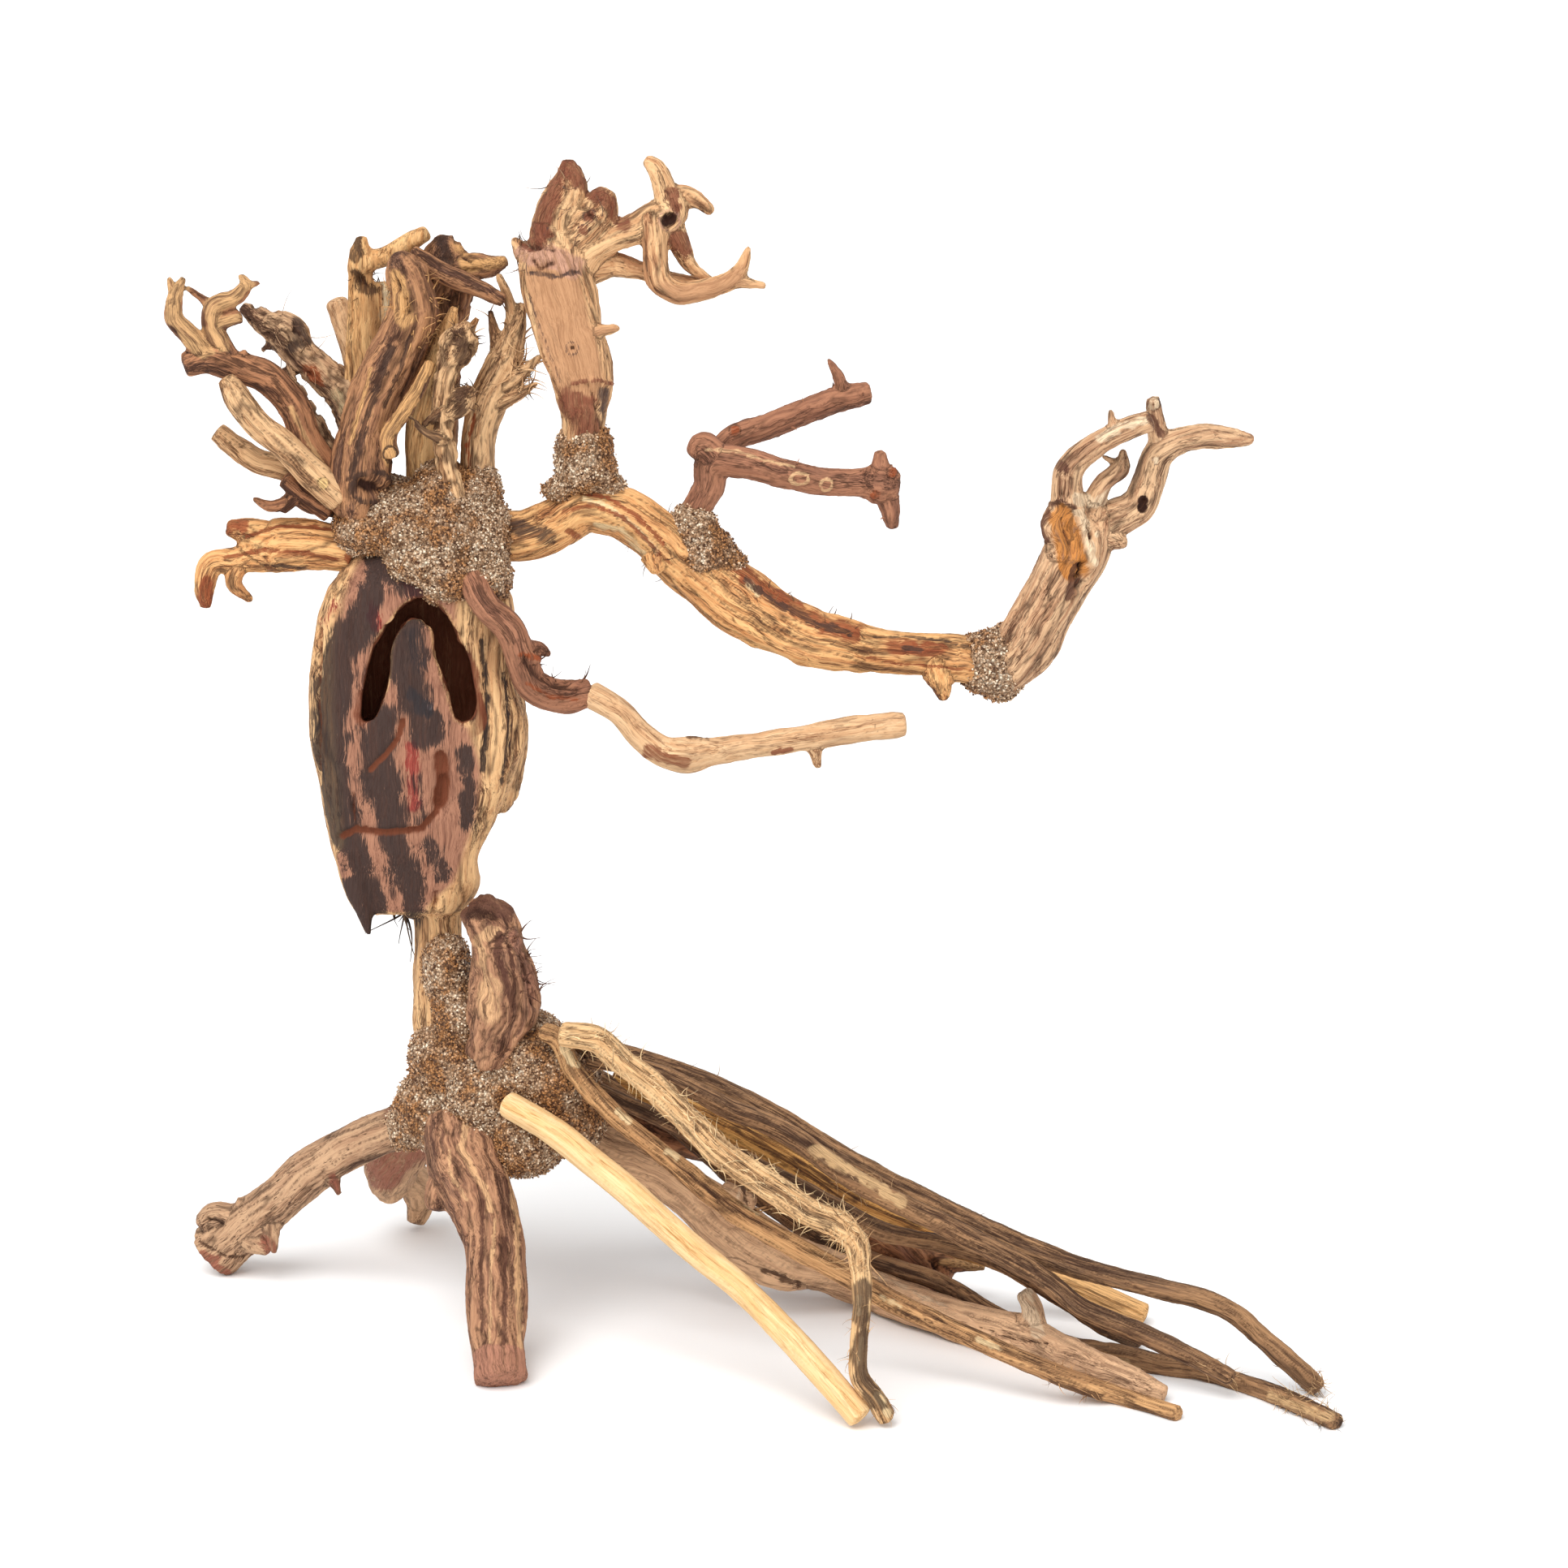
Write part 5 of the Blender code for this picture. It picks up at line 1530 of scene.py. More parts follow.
@dataclass
class Arms:
    """The long arm with its end branch, mast and forked twig, and the lower arm."""

    main: Routes = (
        ((-93, 76, 0, 8.2), (-78, 77, -4, 8.2), (-69, 81, -6, 8), (-61, 85.5, -8, 7.8), (-52, 84, -8, 7.8),
         (-41, 78, -6, 8.2), (-32, 70.5, -4, 8.8), (-22.5, 63, -4, 9), (-13, 56, -6, 9.6),
         (0.5, 48, -8, 8.6), (14.5, 43.5, -8, 7.7), (28, 41, -6, 7), (42, 40, -4, 7), (56, 38, -2, 7.5),
         (62, 37, -1, 6.5)), ((46, 38, -6, 5), (48, 32, -8, 3.5), (49.5, 26, -9, 1.5)),
        ((-40, 70, -10, 4), (-39, 65, -12, 1.6)),
    )
    tip: Routes = (
        ((65.5, 32, 0, 7), (69.5, 37, 0, 8.7), (73.5, 42, 0, 9.6), (79.5, 52, 0, 9.7), (85.5, 62, 0, 9.9),
         (90, 71, 0, 10), (92, 80, 0, 8.8)),
        ((89, 77, -2, 7), (87.5, 88, -4, 5.4), (88, 97, -5, 4.6), (96.5, 104.5, -6, 3.9),
         (104, 108.5, -7, 3.7), (113, 112, -8, 3.5)), ((101.5, 107, -7, 2), (100.5, 115.5, -8, 1)),
        ((92, 77, 2, 8), (101, 81.5, 3, 6.6), (110, 87, 4, 6), (112.5, 94, 4, 5.4), (116, 102, 3, 5),
         (122, 105.5, 3, 4.5), (129, 107, 4, 4.1), (138, 106.5, 5, 3.3), (144.5, 106, 5, 1.6)),
        ((116, 103, 3, 3.6), (114.6, 112, 3, 3), (113.5, 118.5, 2, 2.4)),
        ((98, 76, -1, 4), (105.5, 74, -2, 2)),
        ((95, 86, 0, 3.6), (98.5, 93, -1, 3), (104, 97.5, -1, 2.8), (104.5, 103, -1, 1.2)),
        ((104, 98, 0, 1.6), (98, 101, 0, 0.8)),
        ((88, 86, -5, 3.6), (85, 81.5, -6, 5.4), (86.5, 74, -5, 4.6), (89, 67, -3, 4)),
    )
    main_marks: Marks = (
        Stroke(((-84, 80), (-77, 78), (-72, 75)), 4.6, 0, DARK, 0.8),
        Stroke(((-66.5, 77.5), (-61, 75)), 1.6, 0.6, WARM, 0.9),
        Stroke(((-64, 90.5), (-54, 88.5), (-45, 82), (-37, 74)), 1.3, 0.2, WARM, 0.9),
        Stroke(((-68, 84), (-59, 86), (-50, 82.5), (-42, 75), (-35, 68)), 1.2, 0.3, WARM, 0.9),
        Stroke(((-62, 88), (-54, 85.5), (-46, 79.5), (-39, 72)), 1.5, -0.2, PALE, 0.8),
        Stroke(((-58, 80), (-50, 78), (-43, 71)), 1.6, -0.2, PALE, 0.7),
        Stroke(((-16, 68), (-8, 62), (0, 56), (10, 50), (22, 46)), 4.4, -0.2, WARM, 0.9),
        Stroke(((-12, 63), (-4, 57), (8, 50), (20, 46.5)), 1.8, 0.5, DARK, 0.9),
        Stroke(((-10.5, 62), (-8, 59)), 2, -0.3, PALE, 1),
        Stroke(((-14, 57), (-4, 50), (7, 43)), 4.5, 0, DARK, 0.36),
        Stroke(((33, 42), (39, 42), (46, 41)), 4.8, -0.4, WARM, 1),
        Stroke(((37, 42), (42, 41)), 2.2, 0.4, DARK, 0.8),
        Stroke(((28, 45.5), (38, 46), (49, 44.5), (58, 42)), 0.8, 0.4, DARK, 0.8),
        Stroke(((26, 39), (36, 36.5), (48, 36), (58, 35)), 0.8, 0.4, WARM, 0.9),
    )
    tip_hollows: tuple[Spot, ...] = ((110.6, 87.3, -2, 1.5), (110.3, 85.1, -2, 1.5))
    tip_marks: Marks = (
        Stroke(((81.5, 74), (79.8, 80), (81.5, 85.5), (85.5, 87.5), (89.5, 85)), 1.1, -0.8, DARK, 0.7, 0.3),
        Stroke(((85, 82), (86, 79), (88, 72), (90, 66)), 5.6, 2.8, WARM, 1, 0.25, 0.6),
        Stroke(((90, 66), (89, 61), (88, 57)), 3, 1.4, DARK, 1),
        Stroke(((91.5, 84), (93, 76), (95.5, 68)), 1.8, -1, PALE, 0.8, 0.3),
        Stroke(((86.5, 82), (88, 77), (89.5, 71)), 1.3, 0.9, DARK, 0.5, 0.6),
        Stroke(((92.5, 67), (93, 63), (91.5, 60)), 1.9, 2.6, HOLE, 0.9),
        Stroke(((93.5, 79.5), (94.5, 75.5)), 1.2, 2.2, HOLE, 0.9),
        Stroke(((91, 88), (96, 86), (102, 90)), 3, -0.3, PALE, 0.9),
        Stroke(((90, 84), (93.5, 80.5), (95, 72)), 1.4, -0.3, PALE, 0.8),
        Stroke(((93, 56), (90, 46), (84, 36)), 2, 0, PALE, 0.7),
        Stroke(((113, 113), (116, 108)), 2.6, 0, DARK, 0.9), Stroke(((82, 100), (87, 97)), 2.2, 0, DARK, 0.8),
        Stroke(((97, 106), (104, 110), (111, 112)), 2.4, 0, PALE, 0.8), *knot(113.8, 117, 1.7),
        *knot(114.7, 99.7, 1.1), *knot(96.5, 77, 0.9),
    )
    mast: Routes = (
        ((-61.5, 104, -8, 7), (-61.5, 113, -8, 7.6), (-61.8, 119, -8, 8.6), (-62.5, 127, -8, 9.8),
         (-66, 139, -8, 10.2), (-69, 151, -8, 10.6), (-71.5, 161, -8, 10.2), (-73, 168, -8, 7)),
        ((-72, 165, -6, 8), (-70, 176, -6, 7), (-66, 186, -6, 5.2), (-66.5, 192, -6, 2.2)),
        ((-66, 168, -6, 7), (-57, 177, -6, 6.4), (-55, 182.5, -6, 3.4)),
        ((-64, 160, -6, 6), (-59.5, 165, -6, 5.2), (-52.5, 168.5, -6, 5), (-45.5, 171, -6, 5),
         (-40, 174, -6, 5.4), (-35.5, 175.5, -6, 6), (-37, 184, -6, 3.6), (-39.5, 190, -6, 2.8),
         (-42.5, 192.5, -6, 1.8)),
        ((-35.5, 178, -5, 4), (-31.5, 182, -5, 3), (-27, 180, -5, 2.8), (-22, 176, -5, 1.8)),
        ((-35, 172, -5, 4.6), (-31.5, 165, -4, 3.6), (-29, 160, -4, 2.4), (-22, 154.5, -4, 1.4)),
        ((-40, 173, -8, 4.4), (-39.5, 162, -9, 4.1), (-38, 155, -10, 4.2), (-33, 151.5, -11, 3.8),
         (-24, 152.5, -12, 3.6), (-17, 155, -12, 3.2), (-12.5, 160, -12, 2.2), (-11, 165.5, -12, 1)),
        ((-16, 155, -12, 2.6), (-5.5, 153.5, -13, 1.2)),
        ((-60, 158, -2, 4.4), (-52.5, 160, -2, 4), (-45.5, 158.5, -2, 3.2), (-35, 155.5, 0, 2.6),
         (-25, 154.5, 2, 1.8)), ((-60, 139, -12, 3), (-51, 140.5, -13, 1.4)),
        ((-76, 160, -6, 4), (-80.5, 164, -6, 3), (-83.5, 168, -6, 1.2)),
    )
    mast_hole: tuple[Spot, ...] = ((-35.3, 173.6, -12, 2.3),)
    mast_marks: Marks = (
        Stroke(((-80, 164), (-72, 162), (-64, 160)), 5, 0.5, PALE, 1, 0.5),
        Stroke(((-79, 166), (-71, 164.5)), 1.6, 1.2, HOLE, 0.7, 0.6),
        Stroke(((-78, 157.5), (-70, 156), (-63, 158)), 1.1, 1, DARK, 0.9, 0.6),
        Stroke(((-77, 161), (-75, 158.5), (-71.5, 160)), 1.3, 1.3, HOLE, 0.7, 0.6),
        Stroke(((-68, 191), (-72, 181), (-76, 170), (-78, 167)), 5.2, 0, WARM),
        Stroke(((-67, 192), (-62, 186), (-58, 184)), 5, 0, WARM, 0.9),
        Stroke(((-59, 184), (-52, 177), (-50, 173)), 5, 0.3, WARM, 1),
        Stroke(((-62, 178), (-58, 174)), 2.2, 1, HOLE, 0.7, 0.6),
        Stroke(((-34, 182), (-33, 178)), 3, 0.4, WARM, 1), Stroke(((-32, 168), (-31, 164)), 4, 0, WARM, 1),
        Stroke(((-67, 118), (-62, 115), (-61, 106)), 7.5, 0, WARM, core=0.3),
        Stroke(((-60.5, 123), (-57.5, 116), (-55.5, 109)), 1.2, 1.2, HOLE, 0.6),
        Stroke(((-55, 121), (-54, 115)), 3.4, 0.8, DARK, 0.8),
        Stroke(((-65, 123.5), (-58, 124.5), (-52, 123)), 1.3, -1, WARM, 0.7),
        Stroke(((-79, 151), (-75, 140), (-69, 124)), 1, 0.2, DARK, 0.55),
        Stroke(((-65.3, 134.2),), 1.3, 1, HOLE, 0.9),
        Stroke(oval(-65.3, 134.2, 1.9, 2.1), 0.6, -0.2, DARK, 0.6),
        Stroke(oval(-35.3, 173.6, 3.2, 3.4), 0.9, -0.4, PALE, 0.6), *knot(-60, 175.2, 1.9, WARM),
        *knot(-61.8, 170.4, 1.7, WARM), *knot(-72, 169.5, 1.6, WARM),
    )
    twig: Routes = (
        ((-28.5, 78, -5, 5), (-27, 84, -4, 4.8), (-23, 92, -4, 5), (-22, 99, -5, 5.2), (-13, 99, -8, 5),
         (0.5, 95.5, -12, 4.6), (14.5, 93, -14, 4.2), (24, 93, -15, 4.2), (30.5, 92.5, -15, 6),
         (35, 92.5, -15, 3.6)), ((-20, 100, -6, 4.8), (-25.5, 104, -6, 4.4), (-27.5, 101, -6, 3)),
        ((30, 94, -15, 3.8), (29.5, 102.5, -16, 1.6)),
        ((31, 91, -15, 4), (32.5, 85, -15, 3.4), (33.5, 79, -15, 2)),
        ((-22, 99, 0, 4.6), (-16, 106, 4, 4.5), (-4, 110.5, 8, 4.2), (10, 116, 12, 4), (21, 119.5, 14, 4),
         (26, 120.5, 15, 3.4)), ((19, 119, 13, 2.4), (16, 127, 12, 1.8), (13.5, 131, 12, 0.8)),
    )
    twig_marks: Marks = (
        Stroke(((-30, 97), (-32, 90), (-32, 84)), 2.2, 0.2, PALE, 0.9),
        Stroke(((-29, 80), (-24, 80)), 4.4, 0, DARK, 0.9),
        Stroke(((-24, 103), (-14, 102.5), (-6, 99.5), (3, 98)), 1, -0.1, PALE, 0.8),
        Stroke(oval(4.8, 94, 2.8, 1.7), 0.8, -0.5, PALE, 1),
        Stroke(oval(13, 92.2, 1.8, 1.8), 0.7, -0.4, PALE, 0.9), *knot(-15.2, 109, 1.7, WARM),
        *knot(33.2, 96, 1.5, WARM), *knot(28, 89, 1.2, WARM),
    )
    lower: Routes = (
        ((-96, 63, -20, 4.6), (-91, 54, -27, 4.8), (-85, 48.5, -28, 5), (-81.5, 39, -27, 5.3),
         (-77.5, 30.5, -23, 5.5), (-67, 27, -16, 5.2), (-60.5, 28, -13, 4.8)),
        ((-81, 40, -26, 4), (-75, 41.5, -25, 2.4), (-72, 39.5, -25, 1)),
    )
    lower_marks: Marks = (
        Stroke(((-80, 38), (-76, 34), (-70, 31), (-63, 30)), 3, 2.2, HOLE, 0.75, 0.5),
        Stroke(((-81, 40), (-76, 39), (-71, 35)), 1.5, -0.9, WARM, 0.9, 0.5),
        Stroke(((-79, 31), (-72, 27), (-64, 26)), 1.5, -0.5, WARM, 0.6, 0.5),
        Stroke(((-94, 60), (-88, 51), (-84, 44)), 2.6, 0.2, DARK, 0.55),
    )
    lower_tip: Routes = (
        ((-60, 28, -13, 4.6), (-50, 21.5, -16, 4.5), (-44, 15, -19, 4.6), (-37, 10, -21, 5),
         (-30, 9, -22, 5.8), (-22, 10, -22, 4.6), (-8, 12, -21, 4), (8.5, 14.5, -20, 4), (24, 17, -19, 4),
         (37, 18.5, -18, 3.6)), ((9, 13, -20, 3), (10.5, 5, -20, 1.2)),
    )
    lower_tip_marks: Marks = (
        Stroke(((-42, 10.5), (-37, 8.5), (-31, 6.5)), 3.2, -0.3, WARM, 1),
        Stroke(((-3, 9.6), (2, 10.6)), 1.7, -0.2, WARM, 1),
        Stroke(((-29.5, 15.5), (-24, 14.6)), 1.8, -0.5, DARK, 0.9),
        Stroke(((27.4, 20), (28.8, 16)), 0.6, 0.4, HOLE, 0.8),
    )

    def build(self, shop: Workshop) -> None:
        """Build each of them."""
        Wood("main_arm", "tan_wood", WEATHERED, self.main, Relief(swell=0.8, ridge=0.7), (), self.main_marks,
             strands=(Strands(40, 3.5, 0.2, 0.5, 0.7, ((-30, 78), (0, 60), (20, 49), (-44, 66)), 9, DARK),)
        ).build(shop)
        Wood("arm_tip", "tan_wood", END_BRANCH, self.tip, Relief(swell=0.6, ridge=0.7), self.tip_hollows,
             self.tip_marks, voxel=0.7).build(shop)
        SawnLimb("mast", "tan_wood", MAST_WOOD, self.mast, RUGGED, self.mast_hole, self.mast_marks, voxel=0.7,
                 strands=(Strands(50, 4, 0.22, 1.2, 0.4, ((-66, 180), (-60, 172), (-76, 163)), 8, DARK),)
        ).build(shop)
        Wood("forked_twig", "red_wood", TWIG_BARK, self.twig, BARKY, (), self.twig_marks, voxel=0.7,
             strands=(Strands(16, 2.6, 0.32, 0.1, 0.95),)).build(shop)
        Wood("lower_arm", "tan_wood", TWIG_BARK, self.lower, Relief(), (), self.lower_marks,
             strands=(Strands(20, 4, 0.35, 1, 0.15, ((-78, 39), (-70, 34), (-62, 31)), 4, DARK),)).build(shop)
        Wood("lower_arm_tip", "tan_wood", PALE_WOOD, self.lower_tip, SMOOTH, (), self.lower_tip_marks).build(shop)


@dataclass
class Crown:
    """The branches that stand up out of the upper joint."""

    branch: Routes = (
        ((-131, 84, -9, 8), (-130.5, 94, -10, 10), (-128.5, 110, -9, 8.8), (-123.5, 123, -8, 8.5),
         (-117.5, 135, -8, 8.2), (-114, 145, -8, 7.4), (-114.5, 153, -8, 6.4), (-117.5, 160, -7, 5),
         (-119, 163.5, -6, 2.4)),
        ((-109, 130, -14, 2), (-112, 123, -17, 2.4), (-117, 115, -19, 2.6), (-122, 106, -20, 2.8),
         (-121, 101, -20, 3.2)),
    )
    branch_marks: Marks = (
        Stroke(((-108, 133), (-112, 124), (-117, 116), (-122, 108), (-122, 101)),
         3, 0, PALE, 1, core=0.5, depths=(-40, -13)),
        Stroke(oval(-121.3, 101.5, 2.1, 2.6), 0.7, -0.4, DARK, 0.9),
        Stroke(((-120, 157), (-118, 150), (-116, 143)), 4.6, 0.8, PALE, 1, 0.6),
        Stroke(((-120, 155), (-119, 152)), 1.3, 1.6, HOLE, 0.8, 0.6),
        Stroke(((-116.5, 149), (-115.5, 145.5)), 1.3, 1.6, HOLE, 0.8, 0.6),
        Stroke(((-127, 128), (-130.5, 116), (-134, 105)), 1, -0.2, PALE, 0.75),
        Stroke(((-121, 134), (-126, 120), (-131, 104), (-134, 94)), 2.2, 0.4, DARK, 0.8),
        Stroke(((-115, 138), (-118, 128), (-123, 116)), 1.6, 0.3, DARK, 0.7),
        Stroke(oval(-127, 91.5, 6.2, 4.8), 1.8, -1.2, DARK, 0.8),
        Stroke(((-130, 92), (-124, 90)), 3.2, 2.4, HOLE, 1),
    )
    board_limbs: Routes = (
        ((-131, 158, 7, 4), (-130.5, 164, 7, 3.4), (-130, 168.5, 7, 1.8)),
        ((-130, 160.5, 7, 3.6), (-122, 163, 6, 3.2), (-113.5, 168, 5, 3), (-110, 170, 5, 2.6)),
        ((-131, 124, 7, 3.4), (-129.5, 112, 6, 3.4), (-128, 98, 6, 3)),
    )
    board_marks: Marks = (
        Stroke(((-132, 157), (-128, 152)), 3.8, 0.8, DARK, 1, 0.6),
        Stroke(((-130.5, 155), (-128, 153)), 1.6, 1.6, HOLE, 0.8, 0.6),
        Stroke(((-132, 163), (-131, 168)), 3, 0, DARK, 1),
        Stroke(((-122, 158), (-121, 140), (-122, 122)), 4.4, -0.3, PALE, 1, 0.5),
        Stroke(((-124, 158), (-124.5, 140), (-124.5, 120)), 0.9, 1.2, HOLE, 0.7, 0.5),
        Stroke(((-134, 150), (-133.5, 130), (-131.5, 112)), 1.2, 0.3, DARK, 0.5),
    )
    back: Routes = (
        ((-107, 88, 9, 5.5), (-106, 112, 9, 6), (-107, 138, 9, 6.4), (-108, 150, 9, 6.2),
         (-104.5, 163, 9, 6.4), (-104, 168.5, 9, 3)),
        ((-105, 158, 8, 5.4), (-97, 159.5, 7, 5), (-91, 159.5, 6, 4), (-85.5, 161, 5, 2)),
        ((-104, 122, 12, 4.5), (-101, 146, 12, 4.6), (-98, 157, 9, 4.4)),
    )
    back_marks: Marks = (
        Stroke(((-98, 160), (-92, 160), (-86, 162)), 3.6, 0, PALE, 0.9),
        Stroke(((-101, 166), (-95, 164)), 3, 0, PALE, 0.8),
        Stroke(((-99, 163), (-96.5, 161)), 1.5, 1.4, HOLE, 0.8),
        Stroke(((-106, 168), (-104, 162), (-107, 158)), 3.6, 0, DARK, 0.8),
    )
    stick: Routes = (
        ((-114.5, 164, 0, 2.6), (-105, 157.5, -1, 3.4), (-96, 153.5, -2, 3), (-86.5, 149, -3, 2.2)),
    )
    fork: Routes = (
        ((-111, 87, -1, 5.4), (-111.5, 104, -1, 5.4), (-110, 118, -1, 5), (-108, 128, -1, 4.2),
         (-103, 141, -2, 2.8), (-101.5, 147, -2, 1.2)),
        ((-108, 120, -2, 3.6), (-102.5, 129, -5, 2.8), (-94.5, 143.5, -6, 1)),
    )
    stem: Routes = (
        ((-102, 88, -14, 4.2), (-104, 99, -14, 4), (-105, 113, -14, 3.8), (-104, 127, -14, 3.8),
         (-99, 137.5, -13, 5.4), (-97, 142, -13, 2)),
        ((-104, 114, -14, 3.4), (-98.5, 119, -15, 4.2), (-96, 122, -15, 1.6)),
        ((-104, 106, -16, 2), (-110, 108, -19, 1.3), (-116, 114, -21, 0.8)),
        ((-105, 116, -16, 1.8), (-113, 108.5, -17, 0.8)),
    )
    stem_marks: Marks = (
        Stroke(((-100, 138), (-98, 131)), 4.4, 0, DARK, 0.9, 0.6),
        Stroke(((-99, 121), (-100, 113)), 3.6, 0, DARK, 0.9, 0.6),
        Stroke(((-107, 107), (-110, 108), (-116, 114)), 1.8, 0, DARK, 1, core=0.8),
        Stroke(((-107, 114), (-113, 108.5)), 1.6, 0, DARK, 1, core=0.8),
    )
    spray_marks: Marks = (
        Stroke(((-97, 92), (-97.5, 104), (-95.5, 114)), 1.2, 0.3, WARM, 0.8),
        Stroke(((-85.5, 104), (-85.5, 98)), 0.9, 0.6, HOLE, 0.8),
    )
    spray: Routes = (
        ((-94, 86, 0, 6), (-94.5, 97, 0, 5.8), (-94, 107, 0, 5.6), (-91, 118.5, 0, 6.2),
         (-86.5, 128.5, 0, 5.4), (-83, 139, 0, 3.4), (-80.5, 148, 0, 1.2)),
        ((-87, 128, 1, 3.6), (-89, 138, 1, 2), (-90.5, 146, 1, 0.9)),
        ((-88, 122, -2, 3.4), (-80, 127, -4, 2.2), (-75, 132, -5, 0.9)),
        ((-89, 117, -2, 3.4), (-82, 120, -4, 2), (-76, 123.5, -5, 0.9)),
        ((-84, 138, 0, 2.2), (-84.5, 148, 0, 1.8), (-88, 157, 0, 1.2)),
    )

    def build(self, shop: Workshop) -> None:
        """Build each branch."""
        Wood("crown_branch", "dark_wood", DARK_BARK, self.branch, RUGGED, (), self.branch_marks,
             strands=(Strands(90, 4, 0.22, 0.6, 0.5, ((-113, 150), (-108, 140), (-120, 150)), 8, PALE),)
        ).build(shop)
        Plank("crown_board", "pale_wood", GOLD_WOOD, self.board_limbs, SMOOTH, (), self.board_marks,
              strands=(Strands(40, 3, 0.2, 0.5, 0.5, ((-129, 154), (-120, 150)), 5, DARK),)).build(shop)
        Wood("crown_back", "dark_wood", DARK_BARK, self.back, ROTTEN, (), self.back_marks,
             strands=(Strands(50, 4, 0.25, 0.5, 0.5, ((-108, 150), (-103, 135)), 7, PALE),)).build(shop)
        Wood("crown_stick", "dark_wood", DARK_BARK, self.stick, Relief(), voxel=0.6).build(shop)
        Wood("crown_fork", "pale_wood", GOLD_WOOD, self.fork, Relief(), voxel=0.7,
             strands=(Strands(60, 6, 0.3, 0.2, 0.2, ((-104, 138), (-98, 136), (-108, 128)), 6),)).build(shop)
        Wood("crown_stem", "tan_wood", TAN_WOOD, self.stem, ROTTEN, (), self.stem_marks, voxel=0.6,
             strands=(Strands(70, 3, 0.28, 0.7, 0.7, ((-99, 137), (-98.5, 120)), 5, DARK),)).build(shop)
        Wood("crown_spray", "tan_wood", TAN_WOOD, self.spray, Relief(ridge=0.8), (), self.spray_marks, voxel=0.7,
             strands=(
                 Strands(110, 6, 0.35, 0.8, 0.12, ((-84, 136), (-80, 128), (-78, 122), (-88, 140)), 5),
                 Strands(30, 4, 0.22, 1.2, 0.4, ((-80, 128), (-78, 121)), 4, DARK),
             )).build(shop)


